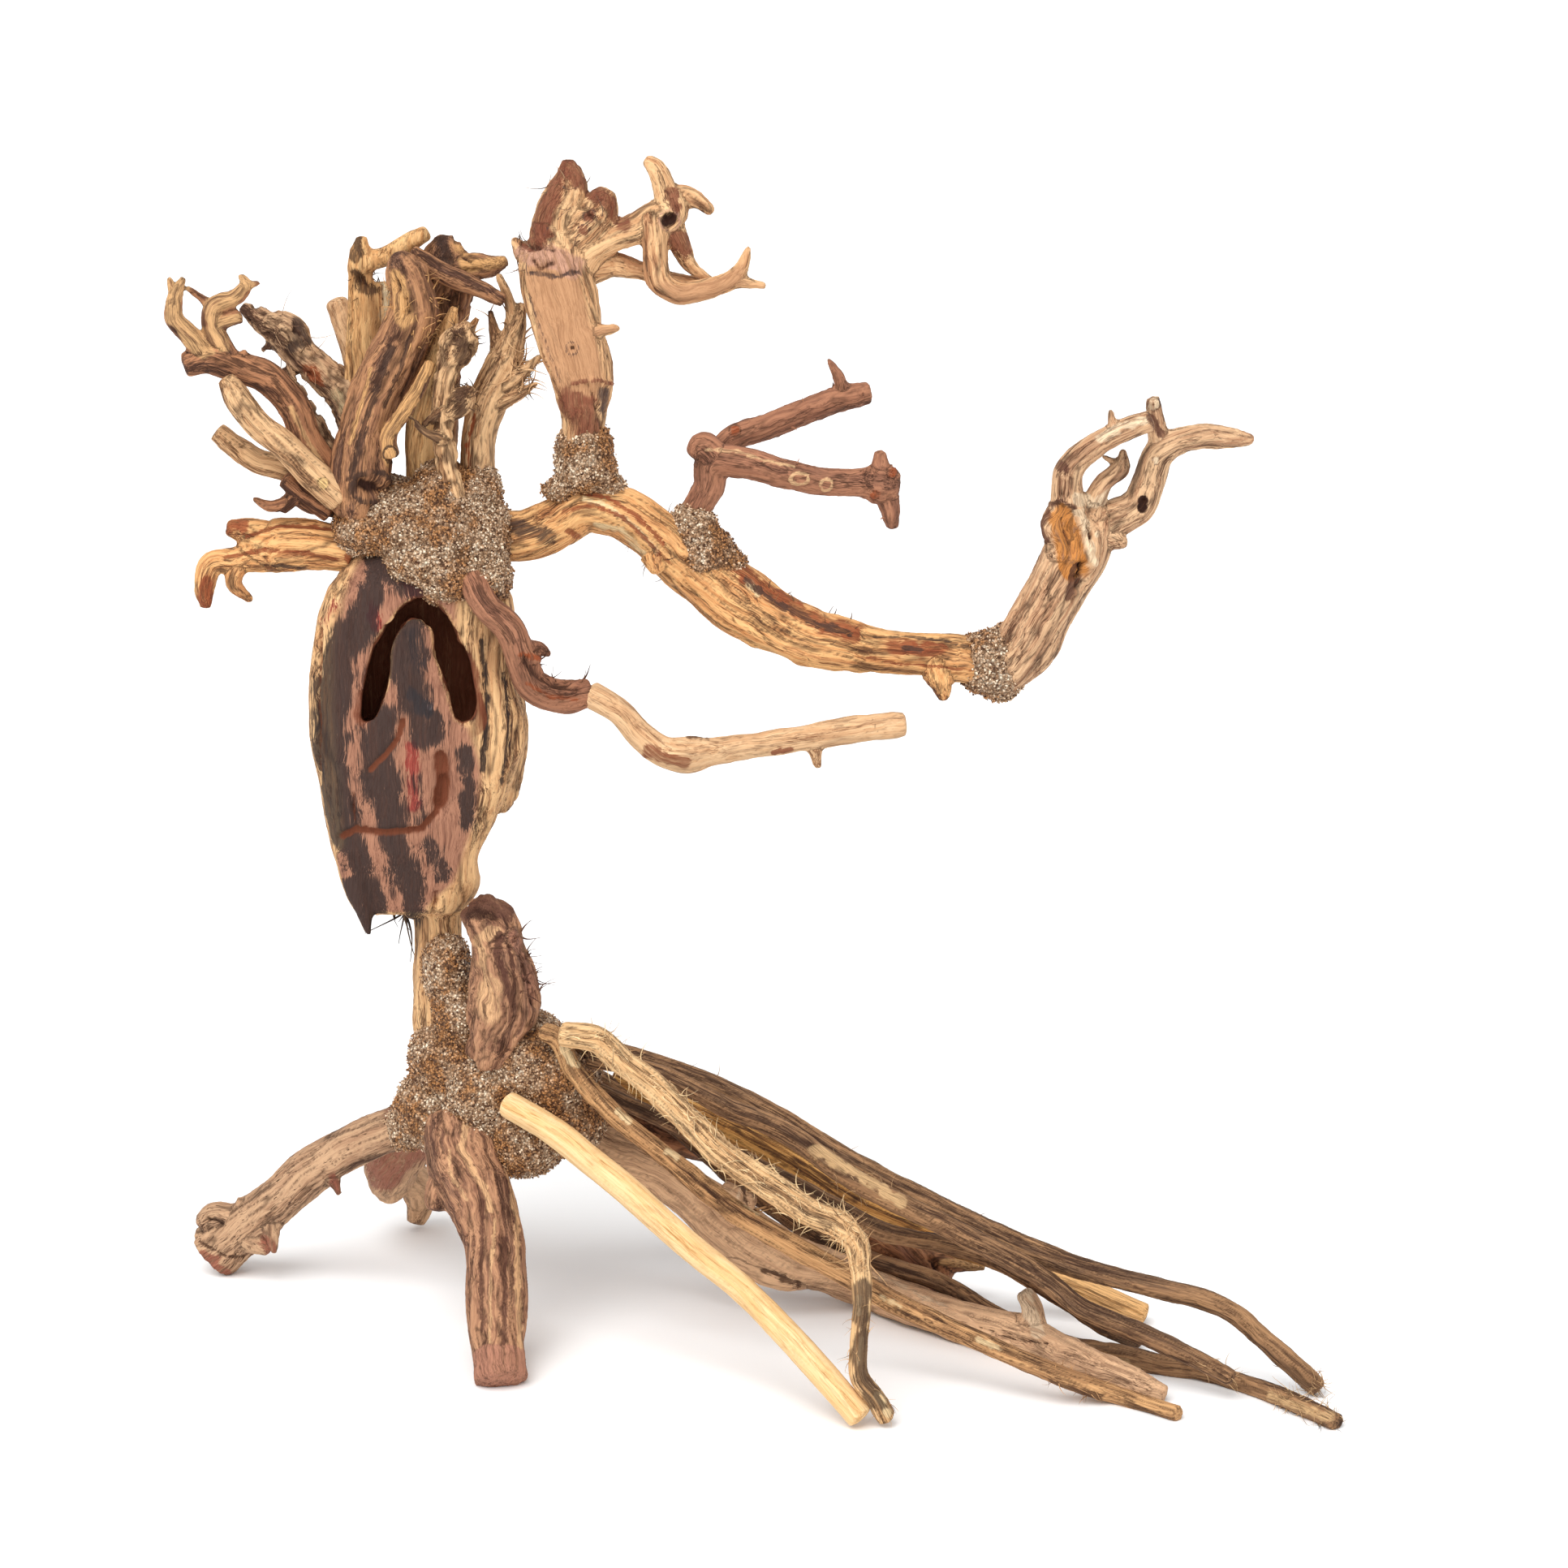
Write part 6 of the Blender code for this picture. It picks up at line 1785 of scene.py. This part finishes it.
@dataclass
class LeftCluster:
    """The branches that reach out to the left of the upper joint."""

    antler: Routes = (
        ((-133, 84, -4, 5.2), (-140.5, 95, -5, 5.2), (-147, 106, -6, 5), (-152.5, 118.5, -7, 4.8),
         (-159, 125, -8, 4.8), (-169, 128.5, -9, 4.5), (-177.5, 131, -10, 4.5), (-184.5, 129, -11, 3.4)),
        ((-178, 131, -10, 3.8), (-182, 137, -11, 3.4), (-188, 144, -12, 3), (-187.5, 150, -12, 2.5),
         (-185, 156, -12, 0.9)), ((-187.5, 149, -12, 2), (-189.5, 156, -12, 0.8)),
        ((-170, 129, -9, 3.8), (-173, 135, -9, 3.4), (-176.5, 142, -9, 3.2), (-175.5, 147.5, -9, 3),
         (-169, 150, -9, 2.8), (-166, 154, -9, 2), (-167.5, 157, -9, 0.8)),
        ((-166.5, 153, -9, 1.8), (-161.5, 154.5, -9, 0.8)), ((-176, 147, -9, 1.8), (-184, 153, -10, 0.8)),
        ((-174, 142, -9, 2.6), (-167.5, 144, -9, 2.4)), ((-168, 129, -9, 2.4), (-166, 133.5, -9, 0.9)),
    )
    antler_marks: Marks = (
        Stroke(((-179, 134), (-182, 138), (-188, 144), (-188, 150), (-185, 157)), 4.6, 0, PALE, 1, core=0.4),
        Stroke(((-188, 149), (-190, 157)), 2.6, 0, PALE, 0.9),
        Stroke(((-173, 135), (-176, 142), (-176, 148), (-169, 150), (-166, 154), (-168, 158)),
         4, 0, PALE, 1, core=0.3), Stroke(((-174, 142), (-168, 144)), 2.8, 0, PALE, 0.9),
        Stroke(((-152, 116), (-147.5, 107), (-142, 98), (-137.5, 91)), 1.4, -0.2, PALE, 0.8),
        Stroke(((-180, 132), (-168, 130), (-158, 126), (-153, 118)), 2.4, 0.2, DARK, 0.6),
        Stroke(((-155, 117),), 1.3, 0.6, HOLE, 0.8),
    )
    pale: Routes = (
        ((-137, 88, -14, 5), (-144, 94.5, -15, 5), (-153.5, 104, -16, 4.5), (-163, 112, -17, 4.3),
         (-169, 120, -17, 4), (-172, 125, -17, 2.6)),
    )
    dark: Routes = (
        ((-126, 87, 9, 5), (-130, 104, 9, 5.5), (-135, 120, 9, 6), (-142.5, 127, 9, 5.2), (-149, 133, 9, 5),
         (-153.5, 139, 9, 6), (-160, 142.5, 9, 4), (-167, 147, 9, 1.6)),
        ((-140, 103, 6, 3.2), (-146, 113, 6, 3.4), (-152, 123, 7, 2.8), (-154, 128, 7, 1.2)),
        ((-134, 97, 7, 3.4), (-140, 103, 6, 3.2)), ((-153, 137, 8, 3), (-161, 133.5, 8, 0.9)),
    )
    slab: Routes = (
        ((-127, 90, 16, 3), (-129.5, 112, 16, 3.6), (-131.5, 128, 16, 3.8), (-134.5, 140, 16, 4),
         (-138, 149, 16, 3.2)),
    )
    stub: Routes = (((-131, 84, 4, 4.6), (-140, 87, 5, 5), (-148, 88.5, 6, 4.6), (-151.5, 89, 6, 3)),)
    curl: Routes = (
        ((-141, 90, 2, 3.6), (-153.5, 97, 0, 3.8), (-162, 99.5, -1, 3.8), (-169, 104, -2, 3.6),
         (-174.5, 108.5, -2, 3)),
    )
    pale_marks: Marks = (*knot(-142, 92.5, 1.6),)
    dark_marks: Marks = (
        Stroke(((-150, 143), (-147, 137), (-152, 135)), 3.4, 0, DARK, 0.8, 0.6),
        Stroke(((-147, 129), (-143, 124)), 3, 0, WARM, 0.7, 0.6),
        Stroke(((-138, 121), (-134, 112), (-131, 102)), 3, 0, PALE, 0.5),
        Stroke(((-137, 108), (-135, 100)), 2, 1, HOLE, 0.5, 0.6),
        Stroke(((-150.5, 140.5), (-148.5, 138.5)), 1.4, 1.2, HOLE, 0.7),
    )
    stump_marks: Marks = (
        Stroke(((-173, 79), (-168, 80)), 4, 0, WARM, 1), Stroke(((-178, 63), (-178, 54)), 4.2, 0, WARM, 1),
        Stroke(((-166, 76), (-156, 79.5), (-144, 79.5), (-136, 78)), 1.2, 0.4, WARM, 0.9),
        Stroke(((-172, 70), (-160, 72), (-148, 71), (-138, 69)), 1.3, 0.6, WARM, 0.9),
        Stroke(((-158, 67), (-148, 66), (-138, 64)), 1.2, 0.5, DARK, 0.8),
        Stroke(((-144, 63), (-137, 62)), 3.4, 0, WARM, 0.8),
        Stroke(((-134, 78), (-133, 68)), 3, 0, WARM, 0.9),
    )
    red: Routes = (
        ((-140, 84, -5, 3.4), (-149, 90, -6, 3.4), (-153.5, 94, -7, 3)),
        ((-149, 90, -6, 3), (-155, 85, -7, 2.4)),
        ((-153, 87, -7, 2.2), (-158, 85.5, -8, 2), (-163.5, 88, -8, 0.9)),
    )
    stump: Routes = (
        ((-133, 72, -5, 7.6), (-146.5, 73.5, -5, 8.2), (-157, 73, -5, 8.2), (-162, 73, -5, 6.4)),
        ((-156, 75, -5, 6), (-166.5, 78, -5, 4.4), (-171.5, 79, -5, 2.6)),
        ((-158, 71, -6, 6), (-169, 69, -6, 4.2), (-176, 68, -6, 3.8), (-178.5, 61.5, -6, 3.6),
         (-178, 54.5, -6, 2)), ((-167, 69, -7, 3), (-169.5, 62, -8, 2.6), (-164, 56.5, -8, 1.2)),
    )

    def build(self, shop: Workshop) -> None:
        """Build each branch."""
        Wood("antler_branch", "red_wood", RED_BARK, self.antler, Relief(ridge=0.7), (), self.antler_marks,
             voxel=0.65).build(shop)
        Wood("pale_branch", "pale_wood", TAN_WOOD, self.pale, SMOOTH, (), self.pale_marks).build(shop)
        Wood("dark_branch", "dark_wood", GREY_BARK, self.dark, ROTTEN, (), self.dark_marks, voxel=0.7,
             strands=(Strands(26, 9, 0.16, 0.4, 0.7, ((-152, 140), (-146, 130), (-138, 120)), 7),)).build(shop)
        Wood("pale_slab", "pale_wood", PALE_WOOD, self.slab, SMOOTH).build(shop)
        Wood("back_stub", "red_wood", RED_BARK, self.stub, RUGGED).build(shop)
        Wood("pale_curl", "pale_wood", TAN_WOOD, self.curl, Relief(), voxel=0.7).build(shop)
        Wood("red_stub", "red_wood", RED_BARK, self.red, Relief(), voxel=0.6).build(shop)
        Wood("left_stump", "red_wood", WEATHERED, self.stump, RUGGED, (), self.stump_marks).build(shop)


@dataclass
class Legs:
    """The three legs that the ornament stands on."""

    left: Routes = (
        ((-110, -101, 2, 7), (-118, -105, 4, 7.2), (-132, -111, 9, 7), (-145, -119, 14, 7),
         (-158, -130, 20, 7.2), (-167.5, -138, 25, 8.2), (-175, -144, 29, 8.6)),
        ((-168, -134, 24, 5), (-176, -133, 26, 4.4), (-180, -135, 27, 2.6)),
        ((-166, -136, 22, 4), (-168, -127.5, 22, 1)), ((-140, -118, 10, 3.4), (-137, -126.5, 9, 1)),
        ((-158, -136, 16, 3), (-157, -144.5, 13, 1)), ((-164, -140, 20, 5), (-158.5, -143.5, 17, 2)),
    )
    front: Routes = (
        ((-100, -102, -12, 9.5), (-98.5, -112, -18, 11.5), (-97.5, -119, -23, 12), (-92, -130, -33, 10),
         (-89, -143, -43, 9), (-88.5, -157, -53, 9.2), (-88.5, -171, -62, 9.4), (-87, -183.5, -70, 9.3)),
        ((-100, -119, -22, 7), (-106, -126, -26, 5.4), (-107, -131, -28, 3.4)),
    )
    rear: Routes = (
        ((-106, -98, 12, 7), (-115, -108, 30, 9), (-121, -118, 50, 9.2), (-121, -123, 60, 7)),
        ((-119, -119, 54, 6), (-112.5, -124, 66, 5.4), (-112, -129, 70, 4.8), (-113.5, -135, GROUND, 3)),
    )

    left_marks: Marks = (
        Stroke(((-178, -134), (-174, -136)), 2, 2, HOLE, 0.8),
        Stroke(oval(-176, -135, 3.4, 3), 1.1, -0.6, DARK, 0.4),
        Stroke(((-179, -145), (-172, -151)), 3.2, 0, WARM, 0.9),
        Stroke(((-180, -141), (-172, -146), (-166, -146)), 0.8, 0.6, DARK, 0.9),
        Stroke(((-158, -144), (-160, -140)), 3, 0, WARM, 0.9),
        Stroke(((-138, -126), (-139, -121)), 2.6, 0, WARM, 0.9),
        Stroke(((-122, -100), (-112, -101)), 5, 0, WARM, 0.45),
    )
    front_marks: Marks = (
        Stroke(((-97.5, -104), (-99.5, -112), (-96, -119), (-92, -124), (-90.5, -131)), 1.7, 0, PALE, 1),
        Stroke(((-85, -119), (-82, -134), (-82, -157), (-80.5, -177)), 1.7, 0, PALE, 1),
        Stroke(((-89, -134), (-90.5, -154), (-90.5, -172)), 0.9, 0, PALE, 0.85),
        Stroke(((-103, -113), (-103, -120), (-98, -128)), 1, 0, PALE, 0.8),
        Stroke(((-86, -140), (-86, -160), (-86, -172)), 1.6, 0.4, DARK, 0.8),
        Stroke(((-93, -128), (-93.5, -148), (-93.5, -168)), 1.4, 0.4, DARK, 0.7),
        Stroke(((-90, -180), (-85, -180)), 8.5, -0.2, WARM, 1, 0.15, 0.75), *knot(-86.5, -169, 0.9, DARK),
    )
    rear_marks: Marks = (
        Stroke(((-126, -110), (-121, -117), (-114, -112)), 9, 0, WARM, 1, core=0.4),
        Stroke(((-122, -108), (-115, -106)), 2.2, 1, HOLE, 0.6, 0.6),
    )

    def build(self, shop: Workshop) -> None:
        """Build each leg."""
        Wood("left_leg", "grey_wood", GREY_WOOD, self.left, Relief(grit=0.2), (), self.left_marks).build(shop)
        Wood("front_leg", "striped_wood", STRIPED_WOOD, self.front, Relief(wave=3, ridge=0.6), (),
             self.front_marks).build(shop)
        Wood("rear_leg", "red_wood", ROOT_WOOD, self.rear, Relief(), (), self.rear_marks).build(shop)


@dataclass
class Roots:
    """The thick roots, the peeled sticks and the vines that trail to the right."""

    main: Routes = (
        ((-68, -106, 2, 6.4), (-52.5, -114.5, -1, 6.8), (-39.5, -119, -3, 7), (-26.5, -127.5, -5, 7.6),
         (-13.5, -138, -7, 8.8), (-0.5, -146, -9, 8.6), (12.5, -150, -8, 7.4), (25.5, -155, GROUND, 7),
         (38, -160, GROUND, 6.8), (59, -167, GROUND, 6.8), (75.5, -172, GROUND, 6.8),
         (92, -179.5, GROUND, 6.2), (109, -185.5, GROUND, 4.6), (117, -188.5, GROUND, 2.8)),
        ((77, -168, -50, 4.4), (76, -160, -49, 3.4), (73.5, -156.5, -48, 2.8)),
        ((-19, -126, -10, 4.4), (-10, -130, -13, 3.6)),
        ((-12, -146, -10, 5), (-3, -151, -12, 5.2), (6, -153, -12, 3.4)),
    )
    rear: Routes = (
        ((-64, -97, 13, 6), (-40, -106, 20, 6.6), (-20, -112, 25, 7), (5, -123, 25, 7.4), (25, -136, 15, 8),
         (37, -145, 6, 8.6), (46, -155.5, 0, 8.4)),
        ((40, -147, 3, 5), (52, -147.5, 2, 3.4), (62, -149, 2, 1)),
    )
    front_stick: Routes = (
        ((-85, -98.5, -27, 4.2), (-69.5, -108, -38, 4.4), (-59, -116.5, -46, 4.3), (-48.5, -125, -54, 4.3),
         (-37, -135.5, -62, 4.2), (-26.5, -144.5, -69, 4.2), (-13.5, -155, -78, 4.2), (-0.5, -168, -88, 4.2),
         (10, -179.5, -97, 4.2), (23.5, -195, GROUND, 4.2)),
    )
    rear_stick: Routes = (
        ((-52, -90, 8, 4), (-32.5, -98.5, 4, 4.3), (-5.5, -112, -2, 4.4), (26, -131, -8, 4.3),
         (80, -150.5, -16, 4.1), (111, -163.5, GROUND, 3.8)),
    )
    striped: Routes = (
        ((-74, -76, -25, 3.2), (-70, -78, -27, 3.4), (-65.5, -87, -30, 3.4), (-59, -95, -33, 3.4),
         (-51, -103, -37, 3.3), (-35, -116, -43, 3.3), (-14.5, -132, -50, 3.3), (3, -142.5, -56, 3.3),
         (17, -150, -60, 3.3), (34.5, -160, -66, 3.3), (53, -168.5, -73, 3.2), (81, -180.5, -85, 3.2),
         (103.5, -188.5, GROUND, 3.1), (121.5, -194, GROUND, 2.6)),
    )
    frayed: Routes = (
        ((-68, -77, -34, 4), (-56, -79.5, -38, 4.4), (-50, -85.5, -42, 4.5), (-41, -92.5, -46, 4.4),
         (-32.5, -101, -50, 4.4), (-19, -114, -56, 4.2), (-1, -126, -63, 4.2), (8, -132, -68, 4),
         (16.5, -135.5, -73, 4), (22, -141, -79, 3.6), (23.5, -149, -84, 3.1), (24, -161, -91, 2.9),
         (23, -173, -97, 2.9), (23.5, -183, -102, 3), (28, -189, -104, 3.2), (31.5, -195, GROUND, 3.2)),
    )
    upper: Routes = (
        ((-64, -79, -18, 3.4), (-42, -85.5, -22, 3.5), (-32.5, -88.5, -24, 3.5), (-5.5, -101, -28, 3.5),
         (17, -114.5, -33, 3.5), (43.5, -128.5, -42, 3.5), (66, -139, -50, 3.5), (78.5, -144.5, -54, 3.5),
         (103.5, -152.5, -62, 3.5), (116, -155.5, -66, 3.5), (128.5, -158.5, -68, 3.5),
         (138.5, -163, -71, 3.4), (147, -170.5, -74, 3.3), (156, -178, -78, 3.2), (164.5, -186, GROUND, 3)),
    )
    patched: Routes = (
        ((-60, -84, -27, 3.2), (-37, -90, -31, 3.3), (-14.5, -101, -36, 3.3), (-4, -105, -38, 3.3),
         (21, -121.5, -46, 3.3), (55.5, -139, -55, 3.3), (81, -153, -62, 3.3), (91, -161, -66, 3.3),
         (103.5, -166.5, -70, 3.3), (116, -172, -74, 3.2), (128.5, -178, -79, 3.1), (138, -183, -84, 2.8)),
    )
    inner: Routes = (
        ((-58, -94, -12, 2.8), (-30, -107, -15, 2.9), (-2, -121, -19, 2.9), (17, -131, -22, 2.9),
         (31, -138, -25, 2.8), (47.5, -141.5, -29, 2.8), (64, -146, -33, 2.8), (75.5, -152.5, -37, 2.8),
         (86.5, -159, -41, 2.8), (98, -167, -45, 2.7), (109, -172, GROUND, 2.4)),
    )
    low: Routes = (
        ((-62, -88, 3, 2.9), (-34, -105, 8, 3), (-12, -124, 13, 3), (9.5, -139, 12, 3), (28, -147, -1, 3),
         (48, -153.5, -17, 3), (66, -164, -33, 3), (82, -171, GROUND, 3), (91, -174, GROUND, 3.2),
         (103.5, -176, -55, 3.2), (116, -179, -60, 3.2), (128.5, -180.5, -65, 3.1), (138, -183.5, -71, 3),
         (153.5, -189, GROUND, 3), (164, -193.5, GROUND, 3), (170, -196.5, GROUND, 2.8)),
    )

    main_marks: Marks = (
        Stroke(((-14.5, -122), (-12, -125)), 2.8, -0.5, DARK, 0.9, 0.6),
        Stroke(oval(-11, -128, 3.4, 4.6), 1.2, -0.9, PALE, 0.7),
        Stroke(((-12, -127), (-11, -131)), 1.5, 1.4, HOLE, 0.8),
        Stroke(((74, -156), (76, -163), (78, -168)), 3.6, 0, PALE, 0.9, core=0.3),
        Stroke(((60, -167.5), (70, -171), (81, -172)), 0.8, 1, HOLE, 0.8, 0.5),
        Stroke(((88, -176), (100, -181), (112, -186)), 4.2, 0, DARK, 0.4),
        Stroke(((-6, -150), (4, -154)), 2, 0.5, DARK, 0.8), Stroke(((30, -152), (50, -161)), 2, 0, PALE, 0.5),
    )
    rear_marks: Marks = (
        Stroke(((45, -146.5), (47, -149)), 1.7, 1.8, HOLE, 0.9),
        Stroke(((49, -147), (61, -149)), 2.4, 0, PALE, 0.8),
        Stroke(((36, -142), (40, -150), (45, -156)), 3.4, 0.2, WARM, 0.6, 0.6, 0),
    )
    gold_marks: Marks = (Stroke(((84, -152), (112, -165)), 8.0, 0, PALE, 1.0, core=0.6),)
    striped_marks: Marks = (
        Stroke(((-68, -81), (-64, -87)), 2, 0, PALE, 0.9),
        Stroke(((-51, -101), (-48, -104)), 2, 0, PALE, 0.9),
        Stroke(((-36, -113), (-33, -115)), 1.8, 0, PALE, 0.8),
        Stroke(((-12, -129), (-8, -132)), 1.6, 0, PALE, 0.7),
        Stroke(((30, -158), (36, -161)), 1.6, 0, PALE, 0.6),
        Stroke(((60, -171), (66, -174)), 1.8, 0, PALE, 0.6),
        Stroke(((82, -183), (90, -187), (97, -189)), 2.6, -0.6, DARK, 0.7, 0.6, 0),
    )
    frayed_marks: Marks = (
        Stroke(((24, -154), (24, -170), (24, -183), (28, -190)), 5, 0, DARK, 1, 0.5, 0.1),
        Stroke(((23, -158), (23, -163)), 1.6, 0, PALE, 0.8),
        Stroke(((24, -171), (23, -178)), 1.6, 0, PALE, 0.8),
        Stroke(((29, -188), (32, -194)), 2.2, 0, PALE, 0.8),
        Stroke(((-8, -123), (4, -130), (14, -136)), 3.6, 0, DARK, 0.5, 0.5, 0),
    )
    patched_marks: Marks = (Stroke(((10, -113), (26, -122), (36, -129)), 3, 0, PALE, 1, 0.6),)
    low_marks: Marks = (
        Stroke(((89, -172), (94, -174)), 2.2, 0, PALE, 0.7),
        Stroke(((104, -178), (109, -180)), 2.2, 0, PALE, 0.7),
        Stroke(((150, -189), (158, -192), (168, -195)), 2.8, 0, PALE, 0.75),
    )

    def build(self, shop: Workshop) -> None:
        """Build each root, stick and vine."""
        Wood("main_root", "grey_wood", ROOT_WOOD, self.main, Relief(ridge=0.6, ridge_length=34), (),
             self.main_marks).build(shop)
        Wood("rear_root", "red_wood", RED_BARK, self.rear, Relief(), (), self.rear_marks).build(shop)
        Wood("front_stick", "pale_wood", STICK_WOOD, self.front_stick, SMOOTH, voxel=0.7, uneven=0.03,
             flatness=0.0).build(shop)
        Wood("rear_stick", "pale_wood", GOLD_STICK, self.rear_stick, SMOOTH, (), self.gold_marks, voxel=0.7,
             uneven=0.04).build(shop)
        Wood("striped_vine", "tan_wood", LINED_VINE, self.striped, STRINGY, (), self.striped_marks, voxel=0.6,
             strands=(
                 Strands(5, 16, 0.4, 0.3, 0.05, ((-10, -130),), 3),
                 Strands(60, 4, 0.14, 0.5, 0.6, ((-66, -84), (90, -186)), 10),
             )).build(shop)
        Wood("frayed_vine", "fibrous_wood", FIBROUS, self.frayed, STRINGY, (), self.frayed_marks, voxel=0.6,
             strands=(
                 Strands(420, 4.5, 0.24, 0.8, 0.06, ((-50, -86), (-30, -104), (-10, -120), (8, -132)), 16, PALE),
                 Strands(120, 4.5, 0.22, 1.6, 0.3, ((18, -138), (23, -146), (-52, -80)), 5),
                 Strands(50, 3.5, 0.11, 0.7, 0.4, ((23.5, -165), (23.5, -180), (30, -192)), 7),
             )).build(shop)
        Wood("upper_vine", "dark_wood", VINE_BARK, self.upper, STRINGY, voxel=0.6,
             strands=(
                 Strands(60, 4.5, 0.13, 0.6, 0.3, ((165, -187),), 4, PALE),
                 Strands(24, 3.5, 0.13, 0.5, 0.6),
             )).build(shop)
        Wood("patched_vine", "dark_wood", VINE_BARK, self.patched, STRINGY, (), self.patched_marks, voxel=0.6,
             strands=(Strands(70, 4, 0.12, 0.6, 0.3, ((24, -121), (138, -184)), 10, PALE),)).build(shop)
        Wood("inner_vine", "dark_wood", VINE_BARK, self.inner, STRINGY, voxel=0.6).build(shop)
        Wood("low_vine", "dark_wood", VINE_BARK, self.low, STRINGY, (), self.low_marks, voxel=0.6,
             strands=(Strands(110, 5, 0.13, 0.7, 0.4, ((168, -195), (156, -191)), 5, PALE),)).build(shop)


Lumps = tuple[tuple[float, float, float, float, float, float], ...]


@dataclass
class SandJoints:
    """The five lumps of sand and glue."""

    coarse_voxel: float = 0.92
    upper: Lumps = (
        (-128, 79, -6, 11, 9, 15), (-116, 81, -6, 13, 13, 18), (-104, 80, -6, 13, 14, 19),
        (-94, 77, -5, 11, 12, 16), (-92, 63, -12, 8.5, 9, 13), (-103, 66, -10, 12, 11, 16),
        (-113, 70, -9, 11, 9, 16), (-106, 92, -6, 8.5, 8, 14), (-94, 91, -3, 7, 8, 11),
        (-125, 88, -4, 10, 8, 14),
    )
    lower: Lumps = (
        (-101, -84, -4, 15, 14, 16), (-92, -93, -8, 15, 17, 19), (-109, -99, -1, 11, 12, 15),
        (-116, -105, 3, 7.5, 8, 10), (-79, -85, -10, 15, 16, 18), (-70, -90, -12, 14, 15, 18),
        (-66, -103, -14, 12, 11, 16), (-80, -108, -12, 14, 13, 17), (-101, -104, -4, 13, 13, 17),
        (-104, -57, -6, 8, 13, 10), (-99, -70, -8, 9, 12, 13), (-84, -110, -20, 7, 11, 8),
    )
    mast: Lumps = (
        (-61.5, 103, -8, 9, 9.5, 9.5), (-61, 97, -9, 9.6, 7.5, 10), (-69, 90.5, -9, 6, 3.4, 6),
        (-54, 92, -9, 6, 3.6, 6),
    )
    twig: Lumps = ((-25, 71.5, -5, 10, 8.8, 9.6), (-28, 79, -5, 7.8, 7.5, 8.2), (-17, 68, -6, 6, 4, 6))
    elbow: Lumps = ((62, 37.5, -1, 10, 10, 10), (66, 36, 0, 9.5, 10.5, 10), (70, 42, 0, 8.6, 8, 9))

    def build(self, shop: Workshop) -> None:
        """Build each lump."""
        for name, lumps in (
            ("upper_joint", self.upper), ("mast_joint", self.mast), ("twig_joint", self.twig),
            ("elbow_joint", self.elbow),
        ):
            SandJoint(name, lumps).build(shop)
        SandJoint("lower_joint", self.lower, voxel=self.coarse_voxel).build(shop)


@dataclass
class Studio:
    """Pale floor, soft light and the camera."""

    floor_side: float = 24.0
    floor_tone: Colour = (250, 250, 250)
    sky_strength: float = 0.7
    key_turn: Triple = (38.0, 0.0, -28.0)
    key_strength: float = 2.3
    key_spread: float = 45.0
    fill_turn: Triple = (62.0, 0.0, 20.0)
    fill_strength: float = 0.8
    fill_spread: float = 80.0
    image_side: float = 1932.0
    sight: float = 6400.0
    sensor: float = 36.0

    def build(self, drawing: Drawing) -> None:
        """Build the floor, the lights and the camera."""
        half = self.floor_side / 2
        plane = Surface.grid(
            np.array((((-half, -half, 0), (half, -half, 0)), ((-half, half, 0), (half, half, 0)))) / MM, False
        )
        floor = placed("floor", plane.mesh("floor", False))
        shade = Shade("floor_paper")
        shade.shader.inputs["Base Color"].default_value = linear(self.floor_tone)
        shade.shader.inputs["Roughness"].default_value = 0.9
        floor.data.materials.append(shade.material)
        world = bpy.data.worlds.new("studio")
        bpy.context.scene.world = world
        world.use_nodes = True
        sky = world.node_tree.nodes["Background"]
        sky.inputs["Color"].default_value = (1, 1, 1, 1)
        sky.inputs["Strength"].default_value = self.sky_strength
        self.sun("key", self.key_turn, self.key_strength, self.key_spread)
        self.sun("fill", self.fill_turn, self.fill_strength, self.fill_spread)
        camera = placed("camera", bpy.data.cameras.new("camera"))
        camera.location = [coordinate * MM for coordinate in drawing.eye()]
        camera.rotation_euler = (math.pi / 2 - drawing.tilt, 0, 0)
        camera.data.sensor_width = self.sensor
        camera.data.lens = self.sensor * self.sight / self.image_side
        camera.data.clip_end = 100
        bpy.context.scene.camera = camera
        bpy.context.scene.view_settings.view_transform = "Standard"

    def sun(self, name: str, turn: Triple, strength: float, spread: float) -> None:
        """Add a broad, far light.

        Args:
            name: Name of the light.
            turn: Its rotation in degrees.
            strength: Its strength.
            spread: Its angular width in degrees, which softens the shadow.
        """
        light = bpy.data.lights.new(name, "SUN")
        light.energy = strength
        light.angle = math.radians(spread)
        placed(name, light).rotation_euler = tuple(math.radians(angle) for angle in turn)


def main() -> None:
    """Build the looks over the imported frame."""
    logging.basicConfig(level=logging.INFO, format="%(name)s %(message)s")
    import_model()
    drawing = Drawing()
    shop = Workshop(drawing)
    Studio().build(drawing)
    for assembly in (Trunk(), Arms(), Crown(), LeftCluster(), Legs(), Roots(), SandJoints()):
        assembly.build(shop)
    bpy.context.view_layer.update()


if __name__ == "__main__":
    main()
